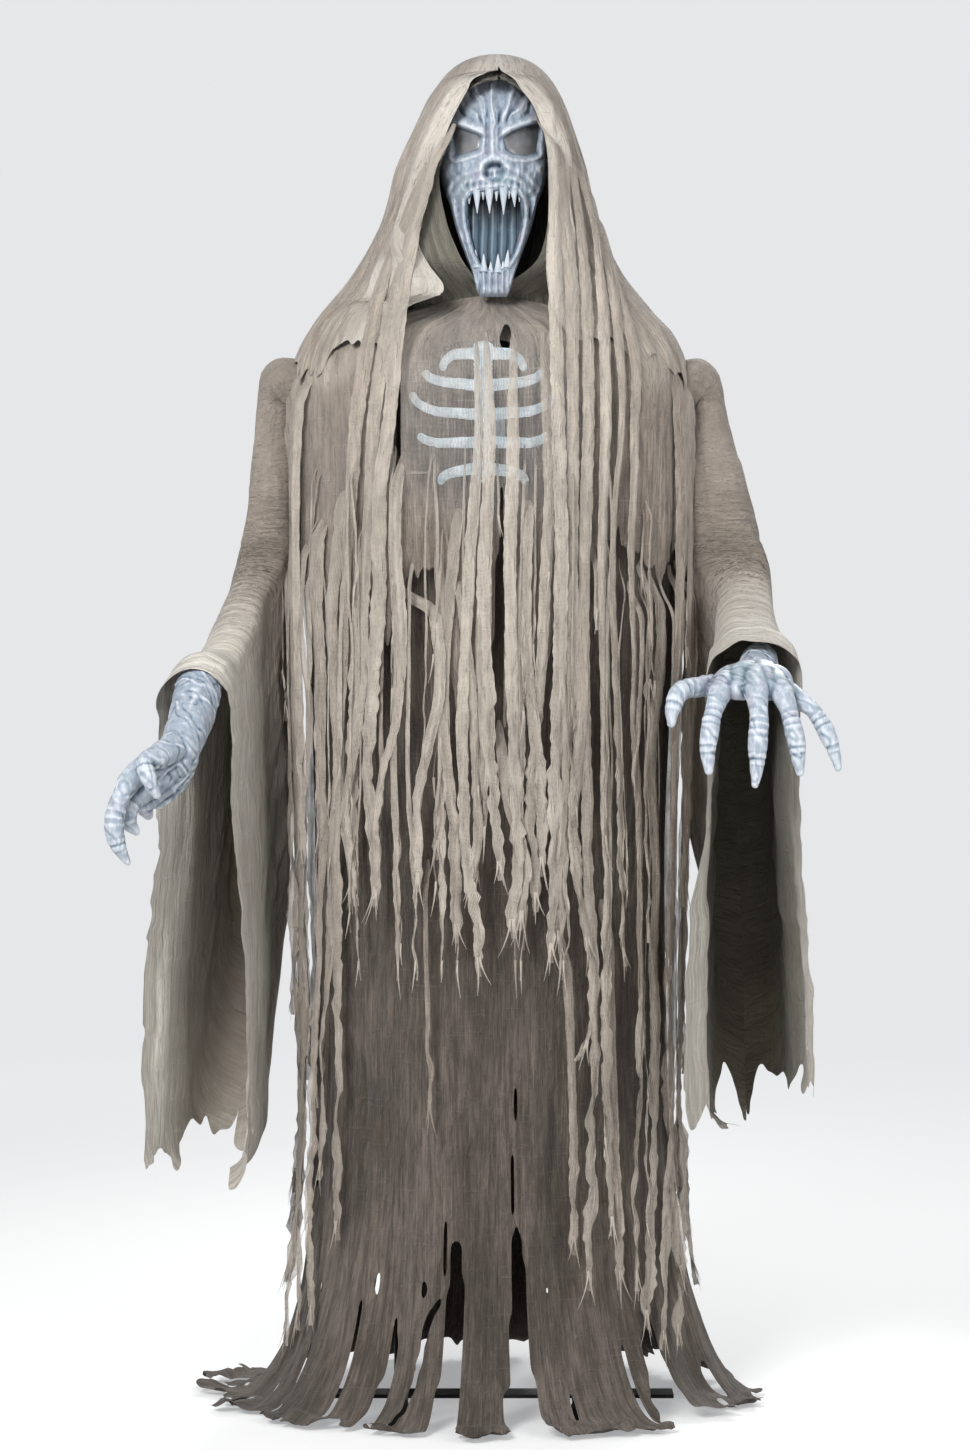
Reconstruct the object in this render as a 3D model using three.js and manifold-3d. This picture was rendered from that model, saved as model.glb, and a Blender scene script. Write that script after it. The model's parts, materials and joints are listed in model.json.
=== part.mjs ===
// Life-size animated ghoul: a hooded figure in ragged gauze on a hidden steel stand.
// A gear motor on the hip bar turns the torso, the arms swing at the shoulders and the hands twist.
// Millimetres, +Z up, the front faces -Y, and the origin is on the floor below the turning axis.
import * as THREE from 'three';
import { mergeVertices } from 'three/addons/utils/BufferGeometryUtils.js';
import Module from 'manifold-3d';

const wasm = await Module();
wasm.setup();

// Clearances that all pieces share
const seat = 0.3;
const seamGap = 0.6;
const overrun = 6;
const weld = 0.001;

// Stand
const tubeRadius = 11;
const tubeWall = 1.5;
const legSpread = 120;
const railHalfLength = 188;
const tieLength = 500;
const tieWidth = 40;
const tieThickness = 5;
const capLength = 36;
const capWall = 3;
const capFootHeight = 4;
const braceLevel = 400;
const hipLevel = 830;
const hipTubeRadius = 12.5;

// Turning joint and its gears
const plateThickness = 3;
const plateWidth = 52;
const plateFront = 24;
const plateBack = 84;
const bearingRadius = 19;
const bearingHeight = 22;
const bearingFlangeRadius = 24;
const bearingFlangeHeight = 4;
const spindleRadius = 8;
const spindleTop = 935;
const spindleCollarRadius = 13;
const spindleCollarHeight = 4;
const gearModule = 1.5;
const pinionTeeth = 18;
const sectorTeeth = 54;
const sectorToothCount = 13;
const gearThickness = 7;
const gearBacklash = 0.5;
const hubRadius = 17;
const sectorWebHalfWidth = 9;
const motorCanRadius = 16;
const motorCanLength = 34;
const gearboxRadius = 18.5;
const gearboxLength = 24;
const motorBossRadius = 6;
const motorShaftRadius = 3;

// Torso frame
const spineRadius = 11;
const shoulderLevel = 1385;
const shoulderBarRadius = 10;
const shoulderBarHalfLength = 236;
const neckRadius = 8;
const neckTop = 1600;
const boltRadius = 4;
const boltHeadRadius = 7;
const boltHeadThickness = 5;
const boltFlangeThickness = 4;

// Shoulder pads
const padReach = 70;
const padHeight = 46;
const padDepth = 88;

// Rib plate
const ribShift = -12;
const ribPairs = 5;
const ribTop = 1392;
const ribSpacing = 35;
const ribHalfWidth = 90;
const ribThickness = 5;
const ribHeight = 7.5;
const ribFront = 134;
const ribTopSetback = 24;
const ribSideDepth = 62;
const strapWidth = 24;
const strapThickness = 3;
const strapLevel = 1300;
const lampWidth = 40;
const lampDepth = 26;
const lampHeight = 24;

// Head and mask
const headShift = 6;
const faceHalfWidth = 69;
const chinLevel = 1484;
const faceHeight = 288;
const maskWall = 6;
const cheekDepth = 50;
const faceForward = 140;
const headHalfWidth = 64;
const headBack = 86;
const headFront = 128;
const headBottom = 1505;
const headTop = 1835;
const eyeSpacing = 41;
const eyeHalfWidth = 17;
const eyeHalfHeight = 12;
const eyeLevelShare = 0.705;
const lensThickness = 3;
const mouthHalfWidth = 39;
const mouthTop = 1621;
const mouthBottom = 1522;
const mouthPanelFront = 126;
const mouthPanelBack = 96;
const mouthRidges = 7;
const mouthRidgeRadius = 3.4;
const fangLength = 23;
const fangRadius = 4;
const browHeight = 9;
const socketDepth = 11;
const nostrilDepth = 9;
const noseRim = 5;
const cheekBump = 7;
const mouthRing = 5;
const chinBump = 4;
const furrow = 3;
const upperFangs = 6;
const lowerFangs = 5;

// Arms and hands
const shoulderReach = 288;
const armRadius = 8;
const armWall = 1.5;
const elbowBend = 55;
const handSpan = 200;
const forearmRadius = 31;
const wristRadius = 26;
const palmHalfWidth = 46;
const palmHalfThickness = 17;
const fingerRadius = 11;
const fingertipRadius = 5;
const forearmStubLength = 115;
const forearmBoreDepth = 70;
const rightElbow = { x: 345, y: -8, z: 1105 };
const rightWrist = { x: 335, y: -335, z: 968 };
const leftElbow = { x: -312, y: -5, z: 1105 };
const leftWrist = { x: -418, y: -300, z: 885 };
const leftRoll = 0.75;

// Cloth
const clothWall = 2.5;
const skirtTop = 857;
const skirtHalfWidth = 239;
const skirtHalfDepth = 184;
const skirtFold = 6;
const skirtFlare = 62;
const skirtFlareHeight = 150;
const leftTailReach = 105;
const rightTailReach = 62;
const frontTailReach = 60;
const floorClearance = 1.5;
const hemTear = 300;
const robeBottom = 862;
const robeHalfWidth = 258;
const robeHalfDepth = 178;
const robeFold = 4;
const collarTop = 1500;
const collarRadius = 84;
const collarShowing = 9;
const armholeHalfDepth = 58;
const armholeHalfHeight = 78;
const armholeLevel = 1345;
const ponchoEase = 7;
const ponchoHalfDepth = 236;
const ponchoTearLevel = 1150;
const ponchoFold = 4;
const stripDeepest = 990;
const stripFlare = 0.75;
const hoodTop = 1829;
const hoodBottom = 1450;
const hoodHalfWidth = 246;
const hoodFront = 172;
const hoodBack = 156;
const hoodFold = 4;
const openingHalfWidth = 92;
const openingTop = 1782;
const openingBottom = 1459;
const liningGap = 0.5;
const sleeveHalfWidth = 61;
const sleeveReach = 318;
const sleeveSpread = 74;
const sleeveEase = 0.9;
const cuffEase = 8;
const sleeveFold = 7;

// Control box
const boxWidth = 120;
const boxDepth = 38;
const boxHeight = 82;
const boxWall = 2.5;
const lidThickness = 3;
const buttonRadius = 6;
const buttonProud = 4;
const buttonFlange = 2.5;
const switchLength = 8;
const switchHeight = 5;
const switchProud = 3;
const switchTravel = 4;
const speakerRadius = 20;
const speakerDepth = 10;
const grilleSlots = 5;
const slotHeight = 2.6;
const boardThickness = 1.6;
const inletRadius = 5.5;
const inletBoreRadius = 3.4;
const inletLength = 14;
const inletFlangeRadius = 8;
const inletFlangeThickness = 2;

// Materials
const paintedSteel = () => new THREE.MeshStandardMaterial({ color: 0x15161a, roughness: 0.45, metalness: 0.4 });
const barePlate = () => new THREE.MeshStandardMaterial({ color: 0x9a9da1, roughness: 0.4, metalness: 0.85 });
const blackPlastic = () => new THREE.MeshStandardMaterial({ color: 0x1d1e20, roughness: 0.6, metalness: 0 });
const whiteAcetal = () => new THREE.MeshStandardMaterial({ color: 0xe4e2da, roughness: 0.45, metalness: 0 });
const brass = () => new THREE.MeshStandardMaterial({ color: 0xb08d4a, roughness: 0.35, metalness: 0.9 });
const rubber = () => new THREE.MeshStandardMaterial({ color: 0x222222, roughness: 0.85, metalness: 0 });
const paleMoulding = () => new THREE.MeshStandardMaterial({ color: 0xb4c1cf, roughness: 0.55, metalness: 0 });
const mouthPaint = () => new THREE.MeshStandardMaterial({ color: 0x46596c, roughness: 0.5, metalness: 0 });
const greyLens = () => new THREE.MeshStandardMaterial({ color: 0x8d9192, roughness: 0.3, metalness: 0 });
const redButton = () => new THREE.MeshStandardMaterial({ color: 0xa32a22, roughness: 0.45, metalness: 0 });
const lampLens = () => new THREE.MeshStandardMaterial({ color: 0xdfe8f5, roughness: 0.25, metalness: 0 });
const circuitBoard = () => new THREE.MeshStandardMaterial({ color: 0x2c6a3c, roughness: 0.5, metalness: 0 });
const robeCloth = () => new THREE.MeshStandardMaterial({ color: 0x6b615a, roughness: 0.9, metalness: 0 });
const paleGauze = () => new THREE.MeshStandardMaterial({ color: 0xb9ada0, roughness: 0.92, metalness: 0 });
const darkLining = () => new THREE.MeshStandardMaterial({ color: 0x5f5c4f, roughness: 0.92, metalness: 0 });
const creamCloth = () => new THREE.MeshStandardMaterial({ color: 0xcfc8b8, roughness: 0.92, metalness: 0 });

// Signed volume of an indexed mesh, negative when its faces point inward
function signedVolume(positions, indices) {
  const [a, b, c] = [new THREE.Vector3(), new THREE.Vector3(), new THREE.Vector3()];
  let sum = 0;
  for (let i = 0; i < indices.length; i += 3) {
    a.fromArray(positions, 3 * indices[i]);
    b.fromArray(positions, 3 * indices[i + 1]);
    c.fromArray(positions, 3 * indices[i + 2]);
    sum += a.dot(b.cross(c)) / 6;
  }
  return sum;
}

// Closed geometry to solid: merged corners, no collapsed triangles, faces outward
function solidOf(geometry) {
  const bare = geometry.clone();
  bare.deleteAttribute('normal');
  bare.deleteAttribute('uv');
  const merged = mergeVertices(bare, weld);
  const positions = Float32Array.from(merged.attributes.position.array);
  const kept = [];
  const index = merged.index.array;
  for (let i = 0; i < index.length; i += 3) {
    const [a, b, c] = [index[i], index[i + 1], index[i + 2]];
    if (a !== b && b !== c && c !== a) kept.push(a, b, c);
  }
  if (signedVolume(positions, kept) < 0) {
    for (let i = 0; i < kept.length; i += 3) [kept[i], kept[i + 1]] = [kept[i + 1], kept[i]];
  }
  const mesh = new wasm.Mesh({ numProp: 3, vertProperties: positions, triVerts: Uint32Array.from(kept) });
  return new wasm.Manifold(mesh);
}

function geometryOf(solid) {
  const mesh = solid.getMesh();
  const geometry = new THREE.BufferGeometry();
  geometry.setAttribute('position', new THREE.BufferAttribute(Float32Array.from(mesh.vertProperties), 3));
  geometry.setIndex(new THREE.BufferAttribute(Uint32Array.from(mesh.triVerts), 1));
  const flat = geometry.toNonIndexed();
  flat.computeVertexNormals();
  return flat;
}

const joinAll = (solids) => solids.reduce((whole, solid) => whole.add(solid));
const cutAll = (solid, cutters) => cutters.reduce((rest, cutter) => rest.subtract(cutter), solid);

function piece(name, solid, material, x = 0, y = 0, z = 0) {
  const mesh = new THREE.Mesh(geometryOf(solid), material);
  mesh.name = name;
  mesh.position.set(x, y, z);
  return mesh;
}

// Box between two corners
function block(x0, x1, y0, y1, z0, z1) {
  const geometry = new THREE.BoxGeometry(x1 - x0, y1 - y0, z1 - z0);
  geometry.translate((x0 + x1) / 2, (y0 + y1) / 2, (z0 + z1) / 2);
  return solidOf(geometry);
}

// Turned piece from [radius, height] pairs, its axis along Z
function turned(profile, sides) {
  const points = profile.map(([radius, height]) => new THREE.Vector2(radius, height));
  const geometry = new THREE.LatheGeometry(points, sides);
  geometry.rotateX(Math.PI / 2);
  return geometry;
}

const rodProfile = (radius, from, to) => [[0, from], [radius, from], [radius, to], [0, to]];

function pipeProfile(outer, inner, from, to) {
  return [[inner, from], [outer, from], [outer, to], [inner, to], [inner, from]];
}

// A turned piece laid along X or Y and moved to its place
function alongX(geometry, x, y, z) {
  geometry.rotateY(Math.PI / 2);
  geometry.translate(x, y, z);
  return solidOf(geometry);
}

function alongY(geometry, x, y, z) {
  geometry.rotateX(-Math.PI / 2);
  geometry.translate(x, y, z);
  return solidOf(geometry);
}

function alongZ(geometry, x, y, z) {
  geometry.translate(x, y, z);
  return solidOf(geometry);
}

// Outline in X and Z, extruded along Y from near to far
function extrudedAlongY(shape, near, far, curveSegments) {
  const geometry = new THREE.ExtrudeGeometry(shape, {
    depth: far - near, bevelEnabled: false, curveSegments, steps: 1,
  });
  geometry.rotateX(Math.PI / 2);
  geometry.translate(0, far, 0);
  return solidOf(geometry);
}

// Outline in X and Y, extruded up from a level
function extrudedUp(shape, level, height, curveSegments) {
  const geometry = new THREE.ExtrudeGeometry(shape, {
    depth: height, bevelEnabled: false, curveSegments, steps: 1,
  });
  geometry.translate(0, 0, level);
  return solidOf(geometry);
}

// Value at a place along [place, value] pairs, eased between them
function eased(place, pairs) {
  if (place <= pairs[0][0]) return pairs[0][1];
  for (let i = 1; i < pairs.length; i++) {
    const [from, start] = pairs[i - 1];
    const [to, end] = pairs[i];
    if (place <= to) {
      const share = (place - from) / (to - from);
      return start + (end - start) * share * share * (3 - 2 * share);
    }
  }
  return pairs[pairs.length - 1][1];
}

// Value at a place along [place, value] pairs, in straight lines
function straight(place, pairs) {
  if (place <= pairs[0][0]) return pairs[0][1];
  for (let i = 1; i < pairs.length; i++) {
    const [from, start] = pairs[i - 1];
    const [to, end] = pairs[i];
    if (place <= to) return start + (end - start) * (place - from) / (to - from);
  }
  return pairs[pairs.length - 1][1];
}

// A rounded hill that is 1 at its middle and fades to 0 at its width
function hill(distance, width) {
  const share = Math.min(1, Math.abs(distance) / width);
  return (1 - share * share) ** 2;
}

// Triangles of a lattice of corners, wound one way
function latticeTriangles(triangles, at, columns, rows, closed, flip) {
  const spans = closed ? columns : columns - 1;
  for (let r = 0; r + 1 < rows; r++) {
    for (let c = 0; c < spans; c++) {
      const next = (c + 1) % columns;
      const halves = [[at(c, r), at(next, r), at(next, r + 1)], [at(c, r), at(next, r + 1), at(c, r + 1)]];
      if (flip) halves.forEach((half) => half.reverse());
      triangles.push(...halves);
    }
  }
}

function geometryFrom(corners, triangles) {
  const positions = [];
  for (const triangle of triangles) {
    for (const index of triangle) positions.push(...corners[index].toArray());
  }
  const geometry = new THREE.BufferGeometry();
  geometry.setAttribute('position', new THREE.Float32BufferAttribute(positions, 3));
  return geometry;
}

// Lattice of a surface, row by row from the top
function latticeOf(surface, columnShares, rowCount, closed) {
  const rows = [];
  for (let r = 0; r < rowCount; r++) {
    rows.push(columnShares.map((share) => surface(share, r)));
  }
  return { rows, closed, columns: columnShares.length };
}

// Moves each corner of a lattice along the surface normal
function offsetLattice({ rows, closed, columns }, distance) {
  const step = (row, c) => row[closed ? (c + columns) % columns : Math.min(columns - 1, Math.max(0, c))];
  return rows.map((row, r) => row.map((corner, c) => {
    const across = step(row, c + 1).clone().sub(step(row, c - 1));
    const above = rows[Math.max(0, r - 1)][c];
    const below = rows[Math.min(rows.length - 1, r + 1)][c];
    const normal = below.clone().sub(above).cross(across).normalize();
    return corner.clone().addScaledVector(normal, distance);
  }));
}

// Cloth of one wall over a lattice; a crown closes the top over a pole
function clothOver(lattice, wall, outset = 0, crown = null) {
  const { columns, closed, rows } = lattice;
  const outer = offsetLattice(lattice, outset + wall / 2);
  const inner = offsetLattice(lattice, outset - wall / 2);
  const corners = [...outer.flat(), ...inner.flat()];
  const innerStart = rows.length * columns;
  const outerAt = (c, r) => r * columns + c;
  const innerAt = (c, r) => innerStart + r * columns + c;
  const triangles = [];
  latticeTriangles(triangles, outerAt, columns, rows.length, closed, false);
  latticeTriangles(triangles, innerAt, columns, rows.length, closed, true);
  const spans = closed ? columns : columns - 1;
  const bottom = rows.length - 1;
  const poles = crown && [crown.clone(), crown.clone()];
  if (poles) {
    poles[0].z += outset + wall / 2;
    poles[1].z += outset - wall / 2;
    corners.push(...poles);
  }
  for (let c = 0; c < spans; c++) {
    const next = (c + 1) % columns;
    triangles.push([innerAt(c, bottom), outerAt(c, bottom), outerAt(next, bottom)]);
    triangles.push([innerAt(c, bottom), outerAt(next, bottom), innerAt(next, bottom)]);
    if (poles) {
      triangles.push([corners.length - 2, outerAt(next, 0), outerAt(c, 0)]);
      triangles.push([corners.length - 1, innerAt(c, 0), innerAt(next, 0)]);
    } else {
      triangles.push([outerAt(c, 0), innerAt(c, 0), innerAt(next, 0)]);
      triangles.push([outerAt(c, 0), innerAt(next, 0), outerAt(next, 0)]);
    }
  }
  if (!closed) {
    for (let r = 0; r < bottom; r++) {
      for (const [c, flip] of [[0, false], [columns - 1, true]]) {
        const quad = [outerAt(c, r), outerAt(c, r + 1), innerAt(c, r + 1), innerAt(c, r)];
        if (flip) quad.reverse();
        triangles.push([quad[0], quad[1], quad[2]], [quad[0], quad[2], quad[3]]);
      }
    }
  }
  return solidOf(geometryFrom(corners, triangles));
}

const middleOf = (ring) => ring
  .reduce((sum, corner) => sum.add(corner), new THREE.Vector3())
  .divideScalar(ring.length);

// The space inside a closed lattice, drawn in from it by an inset
function insideOf(lattice, inset, rowCount, crown = null) {
  const rows = offsetLattice(lattice, -inset).slice(0, rowCount);
  const corners = rows.flat();
  const at = (c, r) => r * lattice.columns + c;
  const triangles = [];
  latticeTriangles(triangles, at, lattice.columns, rows.length, true, false);
  const top = crown ? crown.clone() : middleOf(rows[0]);
  if (crown) top.z -= inset;
  corners.push(top, middleOf(rows[rows.length - 1]));
  for (let c = 0; c < lattice.columns; c++) {
    const next = (c + 1) % lattice.columns;
    triangles.push([corners.length - 2, at(next, 0), at(c, 0)]);
    triangles.push([corners.length - 1, at(c, rows.length - 1), at(next, rows.length - 1)]);
  }
  return solidOf(geometryFrom(corners, triangles));
}

// Closed form through rings of corners, each end capped by a fan
function loft(rings) {
  const columns = rings[0].length;
  const corners = rings.flat();
  const at = (c, r) => r * columns + c;
  const triangles = [];
  latticeTriangles(triangles, at, columns, rings.length, true, false);
  corners.push(middleOf(rings[0]), middleOf(rings[rings.length - 1]));
  for (let c = 0; c < columns; c++) {
    const next = (c + 1) % columns;
    triangles.push([corners.length - 2, at(next, 0), at(c, 0)]);
    triangles.push([corners.length - 1, at(c, rings.length - 1), at(next, rings.length - 1)]);
  }
  return solidOf(geometryFrom(corners, triangles));
}

// Oval ring of corners square to a direction
function ringAround(centre, along, sideways, [halfWidth, halfThickness], sides) {
  const up = along.clone().cross(sideways).normalize();
  const side = up.clone().cross(along).normalize();
  return Array.from({ length: sides }, (unused, c) => {
    const angle = 2 * Math.PI * c / sides;
    return centre.clone()
      .addScaledVector(side, halfWidth * Math.cos(angle))
      .addScaledVector(up, halfThickness * Math.sin(angle));
  });
}

// Tapering limb along a curve; halves gives its half width and half thickness at each share
function limb(points, steps, sides, halves, sideways) {
  const curve = new THREE.CatmullRomCurve3(points);
  return loft(Array.from({ length: steps + 1 }, (unused, r) => ringAround(
    curve.getPointAt(r / steps), curve.getTangentAt(r / steps), sideways, halves(r / steps), sides)));
}

// Flattened oval, squarer with a higher power; the angle runs from the front toward +X
function ovalPoint(angle, halfWidth, halfDepth, power) {
  const [s, c] = [Math.sin(angle), Math.cos(angle)];
  const x = Math.sign(s) * Math.abs(s) ** (2 / power) * halfWidth;
  const y = -Math.sign(c) * Math.abs(c) ** (2 / power) * halfDepth;
  return [x, y];
}

const evenShares = (count) => Array.from({ length: count }, (unused, i) => i / count);

const railLevel = tieThickness + seat + tubeRadius;
const plateLevel = hipLevel + hipTubeRadius + seat;
const bearingLevel = plateLevel + plateThickness + seat;
const collarLevel = bearingLevel + bearingHeight + seat;
const gearLevel = collarLevel + spindleCollarHeight + seat;
const gearCentreDistance = gearModule * (pinionTeeth + sectorTeeth) / 2;
const spineBottom = gearLevel + gearThickness + seat;

// Stand

function tieBar() {
  return block(-tieLength / 2, tieLength / 2, -tieWidth / 2, tieWidth / 2, 0, tieThickness);
}

function footRail() {
  const tube = turned(pipeProfile(tubeRadius, tubeRadius - tubeWall, -railHalfLength, railHalfLength), 16);
  return alongY(tube, 0, 0, 0);
}

// Rubber cap over a rail end, its flat foot on the floor; the open end faces +Y
function footCap() {
  const outer = tubeRadius + seat + capWall;
  const shape = new THREE.Shape();
  shape.moveTo(-outer, -railLevel);
  shape.lineTo(outer, -railLevel);
  shape.lineTo(outer, 0);
  shape.absarc(0, 0, outer, 0, Math.PI, false);
  shape.closePath();
  const body = extrudedAlongY(shape, -capWall - seat, capLength - capWall - seat, 6);
  const bore = turned(rodProfile(tubeRadius + seat, 0, capLength), 16);
  return body.subtract(alongY(bore, 0, -seat, 0)
    .intersect(block(-outer, outer, -seat, capLength, -railLevel + capFootHeight, outer)));
}

const standingTube = (radius, from, to, x, y) => alongZ(turned(
  pipeProfile(radius, radius - tubeWall, from, to), 12), x, y, 0);

const cope = (radius, reach) => turned(rodProfile(radius + seat, -reach, reach), 16);

function legTube(side) {
  const leg = standingTube(tubeRadius, railLevel, hipLevel, side * legSpread, 0);
  const railCope = alongY(cope(tubeRadius, tubeRadius + overrun), side * legSpread, 0, railLevel);
  const hipCope = alongX(cope(hipTubeRadius, tubeRadius + overrun), side * legSpread, 0, hipLevel);
  const railBelow = block(side * legSpread - hipTubeRadius, side * legSpread + hipTubeRadius,
    -hipTubeRadius, hipTubeRadius, 0, railLevel + tubeRadius / 2);
  const hipAbove = block(side * legSpread - hipTubeRadius, side * legSpread + hipTubeRadius,
    -hipTubeRadius, hipTubeRadius, hipLevel - hipTubeRadius / 2, hipLevel + hipTubeRadius);
  return cutAll(leg, [railCope, hipCope, railBelow, hipAbove]);
}

function legBrace() {
  const tube = alongX(turned(pipeProfile(tubeRadius, tubeRadius - tubeWall, -legSpread, legSpread), 12),
    0, 0, braceLevel);
  const ends = [-1, 1].flatMap((side) => {
    const x = side * legSpread;
    const beyond = side * (legSpread - tubeRadius / 2);
    return [
      alongZ(cope(tubeRadius, tubeRadius + overrun), x, 0, braceLevel),
      block(Math.min(x, beyond), Math.max(x, beyond), -hipTubeRadius, hipTubeRadius,
        braceLevel - hipTubeRadius, braceLevel + hipTubeRadius),
    ];
  });
  return cutAll(tube, ends);
}

// The hip bar carries the robe at its two ends, which are shaped to the cloth
function hipBar(clothSpace) {
  const reach = skirtHalfWidth + overrun;
  return alongX(turned(rodProfile(hipTubeRadius, -reach, reach), 16), 0, 0, hipLevel).intersect(clothSpace);
}

// Motor and turning joint

function motorBracket() {
  const shape = new THREE.Shape();
  const [half, corner] = [plateWidth / 2, plateWidth / 6];
  shape.moveTo(-half + corner, -plateFront);
  shape.lineTo(half - corner, -plateFront);
  shape.absarc(half - corner, -plateFront + corner, corner, -Math.PI / 2, 0, false);
  shape.lineTo(half, plateBack - corner);
  shape.absarc(half - corner, plateBack - corner, corner, 0, Math.PI / 2, false);
  shape.lineTo(-half + corner, plateBack);
  shape.absarc(-half + corner, plateBack - corner, corner, Math.PI / 2, Math.PI, false);
  shape.lineTo(-half, -plateFront + corner);
  shape.absarc(-half + corner, -plateFront + corner, corner, Math.PI, 1.5 * Math.PI, false);
  const bossHole = turned(rodProfile(motorBossRadius + seat, plateLevel - overrun, plateLevel + overrun), 12);
  return extrudedUp(shape, plateLevel, plateThickness, 3).subtract(alongZ(bossHole, 0, gearCentreDistance, 0));
}

function gearMotor() {
  const gearboxTop = plateLevel - seat;
  const shaftTop = gearLevel + gearThickness + seat;
  const profile = [
    [0, gearboxTop - gearboxLength - motorCanLength],
    [motorCanRadius, gearboxTop - gearboxLength - motorCanLength],
    [motorCanRadius, gearboxTop - gearboxLength],
    [gearboxRadius, gearboxTop - gearboxLength],
    [gearboxRadius, gearboxTop],
    [motorBossRadius, gearboxTop],
    [motorBossRadius, plateLevel + plateThickness],
    [motorShaftRadius, plateLevel + plateThickness],
    [motorShaftRadius, shaftTop],
    [0, shaftTop],
  ];
  return alongZ(turned(profile, 12), 0, gearCentreDistance, 0);
}

function swivelBearing() {
  const bore = spindleRadius + seat;
  const floor = bearingFlangeHeight;
  const profile = [
    [0, 0], [bearingFlangeRadius, 0], [bearingFlangeRadius, bearingFlangeHeight],
    [bearingRadius, bearingFlangeHeight], [bearingRadius, bearingHeight],
    [bore, bearingHeight], [bore, floor], [0, floor],
  ];
  return alongZ(turned(profile, 16), 0, 0, bearingLevel);
}

function spindle() {
  const bottom = bearingLevel + bearingFlangeHeight + seat;
  const collarTopLevel = collarLevel + spindleCollarHeight;
  const profile = [
    [0, bottom], [spindleRadius, bottom], [spindleRadius, collarLevel], [spindleCollarRadius, collarLevel],
    [spindleCollarRadius, collarTopLevel], [spindleRadius, collarTopLevel], [spindleRadius, spindleTop],
    [0, spindleTop],
  ];
  return alongZ(turned(profile, 16), 0, 0, 0);
}

// Involute flank: how far the flank has turned at a radius
function involuteAngle(radius, baseRadius) {
  const ratio = Math.max(1, radius / baseRadius);
  return Math.sqrt(ratio * ratio - 1) - Math.acos(1 / ratio);
}

// Corners of toothed arc, tooth by tooth; each flank has a root, pitch and tip corner
function toothCorners(teeth, toothCount, middleAngle) {
  const pitchRadius = gearModule * teeth / 2;
  const pressureAngle = 20 * Math.PI / 180;
  const baseRadius = pitchRadius * Math.cos(pressureAngle);
  const rootRadius = pitchRadius - 1.25 * gearModule;
  const tipRadius = pitchRadius + gearModule;
  const halfTooth = Math.PI / (2 * teeth) - gearBacklash / (4 * pitchRadius);
  const atPitch = involuteAngle(pitchRadius, baseRadius);
  const flank = [rootRadius, pitchRadius, tipRadius]
    .map((radius) => [radius, halfTooth + atPitch - involuteAngle(radius, baseRadius)]);
  const corners = [];
  for (let i = 0; i < toothCount; i++) {
    const centre = middleAngle + (i - (toothCount - 1) / 2) * 2 * Math.PI / teeth;
    for (const [radius, half] of flank) corners.push([radius, centre - half]);
    for (const [radius, half] of [...flank].reverse()) corners.push([radius, centre + half]);
  }
  return corners.map(([radius, angle]) => new THREE.Vector2(
    radius * Math.cos(angle), radius * Math.sin(angle)));
}

const gearBoreProfile = (shaftRadius) => rodProfile(
  shaftRadius + seat, gearLevel - overrun, gearLevel + 2 * gearThickness);

// Sector gear: a toothed arc on a waisted web with a round hub, facing the pinion behind the spindle
function sectorGear() {
  const teeth = toothCorners(sectorTeeth, sectorToothCount, Math.PI / 2);
  const rimRadius = gearModule * sectorTeeth / 2 - 4 * gearModule;
  const halfArc = sectorToothCount * Math.PI / sectorTeeth;
  const shape = new THREE.Shape(teeth);
  const rimX = rimRadius * Math.sin(halfArc);
  const rimY = rimRadius * Math.cos(halfArc);
  shape.lineTo(-rimX, rimY);
  shape.quadraticCurveTo(-sectorWebHalfWidth, rimY, -sectorWebHalfWidth, hubRadius);
  shape.absarc(0, 0, hubRadius, Math.PI - Math.acos(sectorWebHalfWidth / hubRadius),
    2 * Math.PI + Math.acos(sectorWebHalfWidth / hubRadius), false);
  shape.quadraticCurveTo(sectorWebHalfWidth, rimY, rimX, rimY);
  const bore = turned(gearBoreProfile(spindleRadius), 16);
  return extrudedUp(shape, gearLevel, gearThickness, 5).subtract(alongZ(bore, 0, 0, 0));
}

function drivePinion() {
  const shape = new THREE.Shape(toothCorners(pinionTeeth, pinionTeeth, -Math.PI / 2));
  const bore = turned(gearBoreProfile(motorShaftRadius), 12);
  return extrudedUp(shape, gearLevel, gearThickness, 1).subtract(alongZ(bore, 0, 0, 0));
}

// Torso frame

function spineTube() {
  const top = shoulderLevel;
  const tube = alongZ(turned(pipeProfile(spineRadius, spindleRadius + seat, spineBottom, top), 16), 0, 0, 0);
  const bar = alongX(cope(shoulderBarRadius, spineRadius + overrun), 0, 0, shoulderLevel);
  const above = block(-2 * spineRadius, 2 * spineRadius, -2 * spineRadius, 2 * spineRadius,
    shoulderLevel - shoulderBarRadius / 2, shoulderLevel + spineRadius);
  return cutAll(tube, [bar, above]);
}

function shoulderBar() {
  return alongX(turned(pipeProfile(shoulderBarRadius, spindleRadius + seat,
    -shoulderBarHalfLength, shoulderBarHalfLength), 16), 0, 0, shoulderLevel);
}

function neckTube() {
  const profile = pipeProfile(neckRadius, neckRadius - tubeWall, shoulderLevel, neckTop);
  const tube = alongZ(turned(profile, 16), 0, 0, 0);
  const bar = alongX(cope(shoulderBarRadius, neckRadius + overrun), 0, 0, shoulderLevel);
  const below = block(-2 * neckRadius, 2 * neckRadius, -2 * neckRadius, 2 * neckRadius,
    shoulderLevel - shoulderBarRadius, shoulderLevel + shoulderBarRadius / 2);
  return cutAll(tube, [bar, below]);
}

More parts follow.
